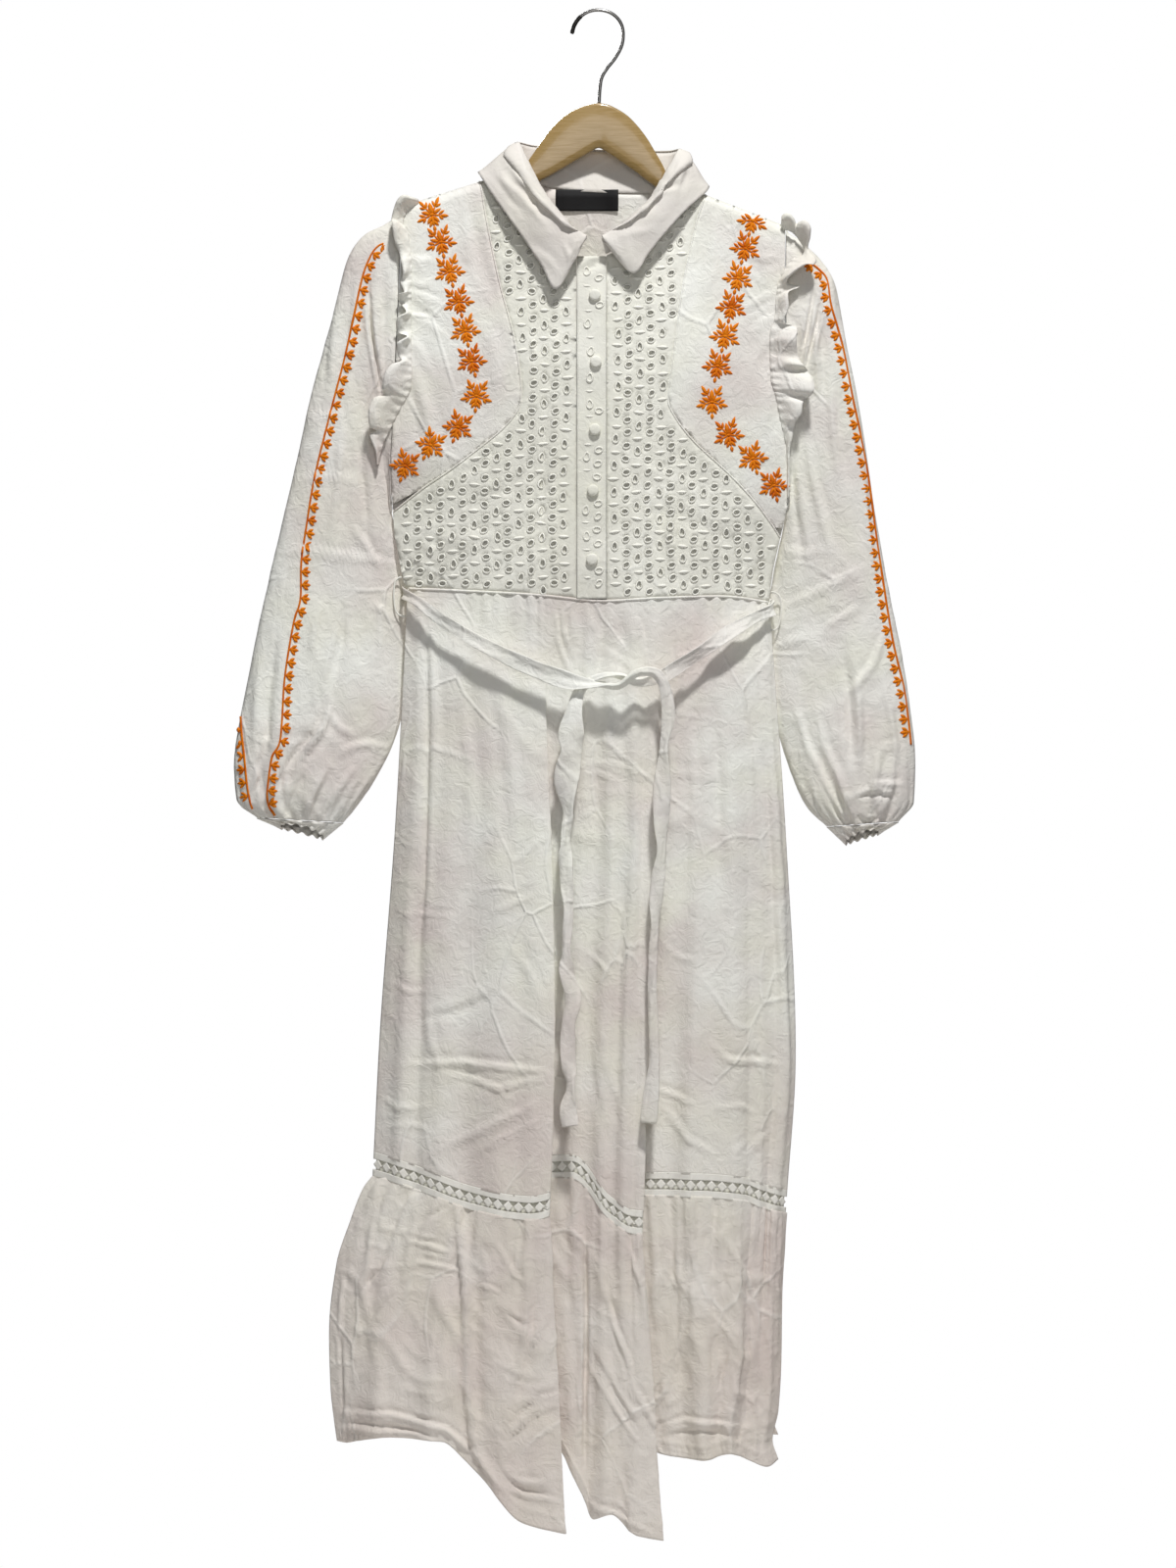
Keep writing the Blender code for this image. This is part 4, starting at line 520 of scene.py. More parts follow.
def frontDepth(across, down):
    # minus the half depth, the creases and a faint unevenness, calm at the shoulder and the waist
    calm = ease(belowShoulder(across, down) / 25) * ease((bodice["seamDown"] - down) / 14)
    soft = 0.9 * noise(across / 34, down / 52, 11) + 0.45 * noise(across / 13, down / 21, 12)
    return -bodyHalf(across, down) - (1.4 * strokes(across, down, bodice["creases"]) + soft) * calm


def backDepth(across, down):
    # 0.84 of the half depth, so that the back hangs flatter
    return 0.84 * bodyHalf(across, down) + 0.16 * bodice["seamHalf"]


def wornBackDepth(across, down):
    # the same with unevenness and small folds, calm at the shoulder and the waist
    calm = ease(belowShoulder(across, down) / 30) * ease((bodice["seamDown"] - down) / 16)
    soft = 1.6 * noise(across / 40, down / 70, 21) + 0.6 * noise(across / 15, down / 26, 22)
    return backDepth(across, down) + (soft + 0.5 * crumple(across / 60, down / 80, 23)) * calm


def surfaceOf(depth):
    # a depth function as a surface: its points, moved along its normal by lift
    def at(across, down, lift=0):
        step = 0.5
        slopeX = (depth(across + step, down) - depth(across - step, down)) / (2 * step)
        slopeZ = -(depth(across, down + step) - depth(across, down - step)) / (2 * step)
        normals = unit(np.stack([slopeX, -np.ones_like(slopeX), slopeZ], axis=-1))
        return place(across, down, depth(across, down)) + np.asarray(lift, float)[..., None] * normals
    return at


onFront, onBack = surfaceOf(frontDepth), surfaceOf(wornBackDepth)


def sidesOf(outline):
    # each point of an outline with the next one
    return zip(outline, np.roll(outline, -1, axis=0))


def inside(points, outline):
    # odd number of outline edges to the right of the point
    result = np.zeros(len(points), bool)
    for a, b in sidesOf(outline):
        if a[1] == b[1]:
            continue
        crosses = (a[1] > points[:, 1]) != (b[1] > points[:, 1])
        edge = a[0] + (points[:, 1] - a[1]) * (b[0] - a[0]) / (b[1] - a[1])
        result ^= crosses & (points[:, 0] < edge)
    return result


def room(points, outline):
    # distance to the nearest edge of the outline
    best = np.full(len(points), 1e9)
    for a, b in sidesOf(outline):
        run = b - a
        t = np.clip(((points - a) @ run) / max(run @ run, 1e-9), 0, 1)
        best = np.minimum(best, np.linalg.norm(points - a - t[:, None] * run, axis=1))
    return best


def flatPanel(outline, holes, spread, step):
    # triangulates a flat panel: rim, rounded holes (N, K, 2) and a staggered lattice of inner points
    counts = [max(1, int(math.ceil(np.linalg.norm(b - a) / step))) for a, b in sidesOf(outline)]
    rim = np.vstack([a + (b - a) * (np.arange(n) / n)[:, None]
                     for (a, b), n in zip(sidesOf(outline), counts)])
    low, high = rim.min(axis=0), rim.max(axis=0)
    a, d = np.meshgrid(np.arange(low[0], high[0], spread), np.arange(low[1], high[1], spread * 0.87))
    a = a + 0.5 * spread * (np.arange(a.shape[0]) % 2)[:, None]
    inner = np.stack([a.ravel(), d.ravel()], axis=1)
    inner = inner[inside(inner, rim)]
    inner = inner[room(inner, rim) > 0.45 * spread]
    edges = [np.stack([np.arange(len(rim)), (np.arange(len(rim)) + 1) % len(rim)], axis=1)]
    if len(holes):
        centres = holes.mean(axis=1)
        far = np.sqrt(((inner[:, None] - centres[None]) ** 2).sum(axis=2)).min(axis=1)
        inner = inner[far > 0.55 * spread + 2]
        corners = np.arange(holes.size // 2).reshape(holes.shape[:2])
        edges.append(np.stack([corners, np.roll(corners, -1, axis=1)], axis=2).reshape(-1, 2) + len(rim))
    points = np.vstack([rim, np.reshape(holes, (-1, 2)), inner])
    result = delaunay_2d_cdt(points.tolist(), np.vstack(edges).tolist(), [], 0, 1e-5, False)
    flat = np.array([tuple(p) for p in result[0]])
    faces = np.array(result[2])
    middle = flat[faces].mean(axis=1)
    keep = inside(middle, rim)
    if len(holes):
        nearest = ((middle[:, None] - centres[None]) ** 2).sum(axis=2).argmin(axis=1)
        spoke = holes[nearest] - middle[:, None]
        turn = np.cross(spoke, np.roll(spoke, -1, axis=1))
        keep &= ~((turn > 0).all(axis=1) | (turn < 0).all(axis=1))
    return flat, faces[keep]


def insetLine(rows, gap):
    # every point moved sideways from the line by gap
    run = np.gradient(rows, axis=0)
    return rows + gap * unit(np.stack([run[:, 1], -run[:, 0]], axis=1))


def waistDown(across):
    # height of the waist seam on the sheet
    return smooth(bodice["waist"], 1, across)


def sideLine(top, bottom, column, count):
    # points down the left (1) or right (2) side edge
    down = np.linspace(top, bottom, count)
    return np.stack([straight(bodice["sideEdge"], column, down), down], axis=1)


def waistRow(first, last, count):
    # points along the waist seam
    across = np.linspace(first, last, count)
    return np.stack([across, waistDown(across) - 0.15], axis=1)


# teardrop and oval eyelets with raised satin rims, and short satin bars
broderie = {
    "column": 11.4, "row": 27,
    "left": (599.7, 197.9), "right": (628.3, 179.5),  # across and down of one teardrop
    "tear": (2.15, 3.5), "oval": (3.1, 2.1), "rim": 1.9, "rimHeight": 1.25,
    "bar": (6.2, 1.8, 1.8),  # half length, half width, height
    "sway": 1.9,  # how far stitches wander from their rows, mm
}


def broderieSpots(outline, start, margin):
    # centres (N, 2), kinds (0 teardrop, 1 oval, 2 bar) and a random turn for each
    c, r = np.meshgrid(np.arange(-17, 18), np.arange(-2, 17), indexing="ij")
    even = c % 2 == 0
    row = broderie["row"]
    down = start[1] + np.where(even, 0.5 * row * (c // 2 % 2), 0.25 * row) + r * row
    grid = np.stack([start[0] + c * broderie["column"], down], axis=-1)
    tears, ovals, half = grid[even], grid[~even], (0, 0.5 * row)
    centres = np.vstack([tears, ovals, ovals + half, tears + half])
    kinds = np.repeat([0, 1, 2], [len(tears), 2 * len(ovals), len(tears)])
    chance = np.random.default_rng(5)
    centres = centres + chance.normal(0, 0.3 * broderie["sway"], centres.shape)
    centres[:, 0] += broderie["sway"] * np.sin(centres[:, 1] / 47)
    oval = kinds == 1
    turn = chance.normal(0, 0.16, len(centres)) * np.where(oval, 2, 1) - np.where(oval, 0.4, 0)
    keep = inside(centres, outline)
    keep[keep] &= room(centres[keep], outline) > margin
    return centres[keep], kinds[keep], turn[keep]


def eyeletRing(centres, kinds, turn, count, grow):
    # outline of each eyelet, its radius grown by grow: teardrops are narrower above the middle
    t = ring(count)
    tear = (kinds == 0)[:, None]
    w, h = (np.where(tear, broderie["tear"][k], broderie["oval"][k]) + grow for k in (0, 1))
    x = w * np.sin(t) * np.where(tear, 1 - 0.28 * np.cos(t), 1)
    y = -h * np.cos(t)
    c, s = np.cos(turn)[:, None], np.sin(turn)[:, None]
    return centres[:, None] + np.stack([x * c - y * s, x * s + y * c], axis=2)


def rimShapes(surface, centres, kinds, turn, lift):
    # a satin ring round each eyelet: four rings of points, closed round
    count = 12
    rings, uvs = [], []
    t = np.arange(count) / count
    section = ((-0.35, -0.25), (0.1, 0.75), (0.95, broderie["rimHeight"]), (broderie["rim"], -0.15))
    for grow, height in section:
        flat = eyeletRing(centres, kinds, turn, count, grow)
        rings.append(surface(flat[..., 0], flat[..., 1], lift + height))
        uv = np.stack([t * 20, np.full(count, grow)], axis=1)
        uvs.append(np.broadcast_to(uv, (len(centres), count, 2)))
    k = np.arange(count)
    n = (k + 1) % count
    faces = np.vstack([np.stack([a * count + k, a * count + n, b * count + n, b * count + k], axis=1)
                       for a, b in ((0, 1), (1, 2), (2, 3), (3, 0))])
    return *copiesOf(np.concatenate(rings, axis=1), faces), np.concatenate(uvs, axis=1).reshape(-1, 2)


petal = {"rows": 5, "columns": 4, "under": -0.25}


def petalShapes(surface, centres, angle, half, width, height, lift):
    # raised pointed ovals of satin stitch: along u from tip to tip the half width is width * sin(pi u)^0.7,
    # the height falls off to the edge as (1 - v^2)^0.7; closed below by a flat face just under the cloth
    rows, columns = petal["rows"], petal["columns"] + 1
    u, v = np.meshgrid(np.linspace(0.03, 0.97, rows), np.linspace(-1, 1, columns), indexing="ij")
    spread = np.sin(math.pi * u) ** 0.7
    n = u.size
    along = np.tile((u * 2 - 1).ravel(), 2)
    across = np.tile((v * spread).ravel(), 2)
    top = np.concatenate([((1 - v * v) ** 0.7 * spread).ravel(), np.zeros(n)])
    low = np.repeat([0, petal["under"]], n)
    half, width, height, angle = (np.broadcast_to(part, len(centres))[:, None]
                                  for part in (half, width, height, angle))
    x = along * half * np.cos(angle) - across * width * np.sin(angle)
    y = along * half * np.sin(angle) + across * width * np.cos(angle)
    flat = centres[:, None] + np.stack([x, y], axis=2)
    points = surface(flat[..., 0], flat[..., 1], lift + top * height + low)
    uv = np.stack([along * half, across * width], axis=2).reshape(-1, 2)
    return *copiesOf(points, padFaces(rows, columns)), uv


for side, column, sign, low in (("left", 1, 1, (416, 416.8)), ("right", 2, -1, (784, 784.2))):
    end = side.title()
    edge = bodice["placket" + end] - 0.3 * sign
    line = insetLine(bodice["princess" + end], sign * 0.15)
    hang = sideLine(line[-1, 1] + 2, waistDown(low[0]) - 1, column, 8)
    waist = waistRow(*sorted((low[1], edge)), 24)[::sign]
    outline = np.vstack([line, hang, waist, [(edge, 440)], bodice["neck" + end][::-1]])
    spots = broderieSpots(outline, broderie[side], 4.6)
    eyelets, bars = ([values[chosen] for values in spots] for chosen in (spots[1] < 2, spots[1] == 2))
    flat, faces = flatPanel(outline, eyeletRing(*eyelets, 12, 0), 5, 4)
    sewCloth("bodice_front_" + side, onFront(*flat.T), faces[:, ::-1], eyeletCotton, slotName="eyelet_cotton")
    half, width, height = broderie["bar"]
    n = len(bars[0])
    chance = np.random.default_rng(9)
    tilt, longer = chance.normal(0, 0.08, n), chance.uniform(0.85, 1.1, n)
    shapes = [rimShapes(onFront, *eyelets, 0.3),
              petalShapes(onFront, bars[0], tilt, half * longer, width, height, 0.3)]
    sew("broderie_stitches_" + side, joinShapes(shapes), whiteThread, "eyelet_cotton")
    # plain cloth lies close behind the eyelets, so they show it and the shadow of their own upper edge
    inner = outline - 3 * unit(outline - outline.mean(axis=0))
    flat, faces = flatPanel(inner, [], 9, 9)
    sew("eyelet_lining_" + side, (onFront(*flat.T, -1.7), faces[:, ::-1]), eyeletCotton, thick=0.4)
print("eyelet fronts made")

for side, column, sign, tip, top, corner in (
    ("left", 1, -1, 515, 217, 210.6), ("right", 2, 1, 540, 237, 231),
):
    line = insetLine(bodice["princess" + side.title()], sign * 0.15)[:-1]
    outline = np.vstack([line, sideLine(tip, top, column, 12), sideLine(corner, corner, column, 1)])
    flat, faces = flatPanel(outline, [], 3.6, 3.6)
    sewCloth("side_front_" + side, onFront(*flat.T), faces[:, ::-1])

outline = np.vstack([
    sideLine(210.6, waistDown(416) - 1, 1, 30), waistRow(416.8, 784.2, 60),
    sideLine(waistDown(784) - 1, 231, 2, 30),
    [(760, 214), (720, 199.5)], bodice["neckBack"][::-1], [(488, 186.5)],
])
flat, faces = flatPanel(outline, [], 8, 6)
sewCloth("bodice_back", onBack(*flat.T), faces)
print("bodice made")


def stitchRun(surface, path, lift, pitch=2.6, length=1.7, width=0.32):
    # a row of short raised stitches along a path, each a small petal turned along it
    spots = evenPath(path, pitch)[:, :2]
    run = np.gradient(spots, axis=0)
    return petalShapes(surface, spots, np.arctan2(run[:, 1], run[:, 0]), 0.5 * length, width, 0.35, lift)


placket = {
    "top": 263, "topUnder": 264, "bunch": 1.5,
    # across and down of each button; its profile is radius and height
    "buttons": table((607, 303), (608, 371), (607, 440), (605, 502), (604, 572)), "radius": 6,
    "profile": table((0.02, 0), (4.4, 0), (5.7, 0.35), (6, 1.2), (5.95, 2), (5.6, 2.75), (4.9, 3.25),
                     (3.6, 3.55), (1.8, 3.7), (0.02, 3.75)),
}


def placketDepth(across, down):
    # the over band stands off the fronts; its first centimetres under the collar are bunched
    bunched = placket["bunch"] * np.sin((down - 262) / 3.1 + (across - 600) / 5) * bell((down - 262) / 17)
    between = 0.5 * np.cos((down - 303) / 68 * 2 * math.pi) * ease((down - 290) / 20)
    return frontDepth(across, down) - bodice["placketLift"] - bunched - between


onPlacket = surfaceOf(placketDepth)
low = waistDown(604) - 1.6
for node, first, last, surface, top in (
    ("placket_over", bodice["placketLeft"], bodice["placketRight"], onPlacket, placket["top"]),
    ("placket_under", bodice["placketLeft"] + 0.6, bodice["placketRight"] - 1.2, onFront,
     placket["topUnder"]),
):
    down, across = np.meshgrid(np.linspace(top, low, 150), np.linspace(first, last, 15), indexing="ij")
    sewCloth(node, surface(across, down), gridFaces(150, 15)[:, ::-1], eyeletCotton, slotName="eyelet_cotton")

strip = table((590.5, 272), (616.6, 272), (616.6, 604), (590.5, 604))
spots = broderieSpots(strip, broderie["left"], 4.5)
away = np.abs(spots[0][:, None, 1] - placket["buttons"][:, 1]).min(axis=1) > 9
eyelets, bars = ([values[away & chosen] for values in spots] for chosen in (spots[1] < 2, spots[1] == 2))
edges = [table(*((across, down) for down in (264, 350, 450, 550, 608))) for across in (590.6, 616.6)]
sew("broderie_stitches_band", joinShapes([
    rimShapes(onPlacket, *eyelets, 0.4), petalShapes(onPlacket, bars[0], 0, 4.2, 1.3, 0.9, 0.4),
    *(stitchRun(onPlacket, edge, 0.4) for edge in edges),
]), whiteThread, "eyelet_cotton")

# cloth pulled over a dome: a flat back, an edge bulge, and faint pull lines round the rim
for number, (across, down) in enumerate(placket["buttons"]):
    base = onFront(np.array([across]), np.array([down]))[0, 1] - 3
    t = ring(32)
    reach, height = placket["profile"][:, :1], placket["profile"][:, 1:]
    reach = reach * (1 + 0.02 * np.sin(9 * t)[None] * np.clip(reach / placket["radius"], 0, 1) ** 3)
    dome = tube(place(across + reach * np.cos(t), down + reach * np.sin(t), base - height - 0.35))
    sewCloth(f"button_{number + 1}", *dome[:2], eyeletCotton, thick=0)
print("button band made")


collar = {
    "leaf": 1.1, "stand": 1,  # walls, mm
    "stations": table(
        (599, 246, -26, 596, 248, -32, 0, -1), (592, 241, -25.5, 569, 297, -36, 0, -1),
        (576, 226, -24, 553, 274, -34, 0, -1), (556, 199, -20, 531, 241, -31, -0.3, -0.95),
        (541, 170, -14, 507, 207, -25, -0.5, -0.85), (532, 150, -5, 491, 182, -13, -0.9, -0.4),
        (532, 147, 5, 488, 176, 3, -0.95, 0.3), (545, 149, 14, 499, 186, 17, -0.6, 0.8),
        (575, 151, 19, 545, 202, 25, -0.1, 1), (612, 153, 20.5, 612, 207, 27, 0, 1),
        (650, 154, 19, 678, 206, 25, 0.1, 1), (680, 155, 14, 714, 197, 17, 0.6, 0.8),
        (691.5, 154, 5, 723, 190, 3, 0.95, 0.3), (691, 156, -5, 719.5, 198, -13, 0.9, -0.4),
        (682, 173, -14, 702, 214, -25, 0.5, -0.85), (666, 200, -20, 681, 237, -31, 0.3, -0.95),
        (643, 225, -24, 661, 262, -34, 0, -1), (622, 241, -25.5, 645, 281.5, -36, 0, -1),
        (614, 246, -26, 616.5, 249, -32, 0, -1),
    ),
    "roll": 8.5,  # how far the upper part bulges over the lower leaf, mm
    "crescent": [0, 0.1, 0.42, 0.5, 0.56, 0.62, 0, 0, 0, 0, 0, 0, 0, 0.62, 0.5, 0.42, 0.36, 0.1, 0],
    "creases": [
        (3, 1.4, 512, 185, 530, 200, 556, 232), (2.4, 1.2, 520, 172, 540, 196, 566, 222),
        (2, 1, 536, 222, 548, 214, 558, 208), (3, -1, 505, 180, 520, 205, 540, 225),
        (2.2, 1, 572, 230, 590, 234, 600, 236), (2.2, 0.9, 575, 250, 580, 262, 583, 275),
        (2, 0.8, 588, 246, 586, 256, 580, 268), (2.6, 0.9, 700, 168, 694, 182, 690, 200),
        (2.2, 0.8, 660, 205, 672, 200, 690, 196), (2.6, -0.8, 668, 180, 676, 192, 700, 190),
        (3, 0.7, 540, 255, 560, 268, 572, 285), (3, 0.6, 630, 245, 650, 240, 670, 236),
        (2.2, 0.9, 664, 208, 656, 218, 654, 226),
    ],
}


def collarRows(count):
    # along the collar: its fold, its free edge and the outward direction
    rows = flowing(collar["stations"], count)
    fold, edge = place(*rows[:, :3].T), place(*rows[:, 3:6].T)
    edge[:, 1] += 5 * ease(-edge[:, 1] / 25)
    return fold, edge, unit(np.stack([rows[:, 6], rows[:, 7], np.zeros(count)], axis=1))


def collarLeaf(count, levels):
    # a cubic from the fold over to the edge; the roll pushes its upper part out and the part below back in
    fold, edge, out = collarRows(count)
    t = levels[:, None, None]
    up = np.array([0, 0, 1])
    start = fold + 1.6 * up + 0.8 * out
    first = fold + 5.5 * up + 4.8 * out
    second = fold + (edge - fold) * 0.25 + (4 + 5.5 * np.abs(out[:, 1:2])) * out
    leaf = (1 - t) ** 3 * start + 3 * t * (1 - t) ** 2 * first + 3 * t**2 * (1 - t) * second + t**3 * edge
    crescent = collar["crescent"]
    turn = np.interp(np.linspace(0, 1, count), np.linspace(0, 1, len(crescent)), crescent)
    lip = ease((turn - 0.05) / 0.3)
    level = levels[:, None] * np.ones(count)
    upper = np.sin(math.pi * np.clip(level / np.maximum(turn, 0.05), 0, 1) ** 1.6) ** 0.8
    lower = bell((level - turn - 0.13) / 0.10)
    push = collar["roll"] * lip * (0.75 * upper * (level < turn) - 0.10 * lower)
    sag = -3.5 * lip * upper * (level < turn)
    return leaf + push[..., None] * out + sag[..., None] * up


count = 165
levels = np.concatenate([np.linspace(0, 0.3, 9)[:-1], np.linspace(0.3, 0.72, 20)[:-1],
                         np.linspace(0.72, 1, 11)])
leaf = collarLeaf(count, levels)
normals = gridNormals(leaf)
away = unit(np.stack([leaf[..., 0] + 2, leaf[..., 1], np.zeros(leaf.shape[:2])], axis=-1))
normals *= np.sign((normals * away).sum(axis=-1, keepdims=True))
front = ease(-leaf[..., 1] / 12)
wrinkle = 1.7 * strokes(leaf[..., 0] + seat[0], seat[1] - leaf[..., 2], collar["creases"]) * front
small = crumple(leaf[..., 0] / 24, leaf[..., 2] / 30, 32)
wrinkle += 0.5 * noise(leaf[..., 0] / 16, leaf[..., 2] / 16, 31) + 1.1 * small * front
edgeTurn = bell((1 - levels) * 55 / 4.5 - 1)[:, None] * 0.35
leaf = leaf + (wrinkle - edgeTurn)[..., None] * normals
sewCloth("collar_leaf", leaf, material=collarCottonPaintedShade, thick=collar["leaf"])

left, right, back = bodice["neckLeft"][::-1], bodice["neckRight"], bodice["neckBack"][1:-1]
neck = np.vstack([left + (1.1, -1.6), back + (0, -1.4), right + (-1.1, -1.6)])
depth = np.concatenate([-bodyHalf(*left.T), backDepth(*back.T), -bodyHalf(*right.T)])
corner = len(left) - 1
neck[corner], neck[-1 - corner] = (525.6, 170.2), (693.4, 187.2)
depth[[corner, -1 - corner]] = 0
length = runLength(neck)
length /= length[-1]
fold, edge, out = collarRows(count)
anchors = np.array([0, length[corner], 0.5, length[-1 - corner], 1])
spread = np.interp(np.linspace(0, 1, count), [0, 5.6 / 18, 0.5, 12.4 / 18, 1], anchors)
base = place(*(np.interp(spread, length, values) for values in (*neck.T, depth)))
s = np.linspace(0, 1, 12)[:, None]
ripple = 0.5 * np.sin(math.pi * s) * noise(np.linspace(0, 30, count)[None] + 0 * s, 3 * s, 33)
stand = base * (1 - s[..., None]) + fold * s[..., None] + ripple[..., None] * out
sewCloth("collar_stand", stand, material=collarCottonPaintedShade, thick=collar["stand"])

label = {"across": (567, 631), "down": (193, 214.5), "seam": 199.5, "rib": 0.0007}
# woven polyester satin: near black with a soft sheen, fine ribs 0.7 mm apart across it, drawn lighter on
# their tops than in the grooves between them: painted shade
satin, tree, shader, coords = newMaterial("wovenLabelSatin", {"Roughness": 0.5, "Specular IOR Level": 0.2})
ribs = addNode(tree, "TexWave", {
    "bands_direction": "Z", "Scale": 2 * math.pi / 20 / label["rib"], "Distortion": 0.4,
}, {"Vector": coords}).outputs["Fac"]
# painted shade: the same rib wave that raises the ribs darkens the grooves between them
tone = addNode(tree, "Mix", {"data_type": "RGBA", 6: linear("#050505"), 7: linear("#1B191A")}, {0: ribs})
bump = addNode(tree, "Bump", {"Strength": 0.35, "Distance": 0.0002}, {"Height": ribs})
linkTo(tree, shader, {"Base Color": tone.outputs[2], "Normal": bump})
across, down = np.meshgrid(np.linspace(*label["across"], 40), np.linspace(*label["down"], 14))
bow = 0.5 * np.sin((across - 567) / 9) + 0.4 * ((down - label["seam"]) / 17.5) ** 2


def labelDepth(across, down):
    # follows the back panel and, above the neck seam, the stand that leans away from it
    seam = label["seam"]
    return wornBackDepth(across, np.maximum(down, seam)) + 0.15 * np.maximum(seam - down, 0)


points = surfaceOf(labelDepth)(across, down, 1.7 + bow)
sewCloth("neck_label", points, gridFaces(14, 40)[:, ::-1], satin, slotName="label_black")
print("collar made")

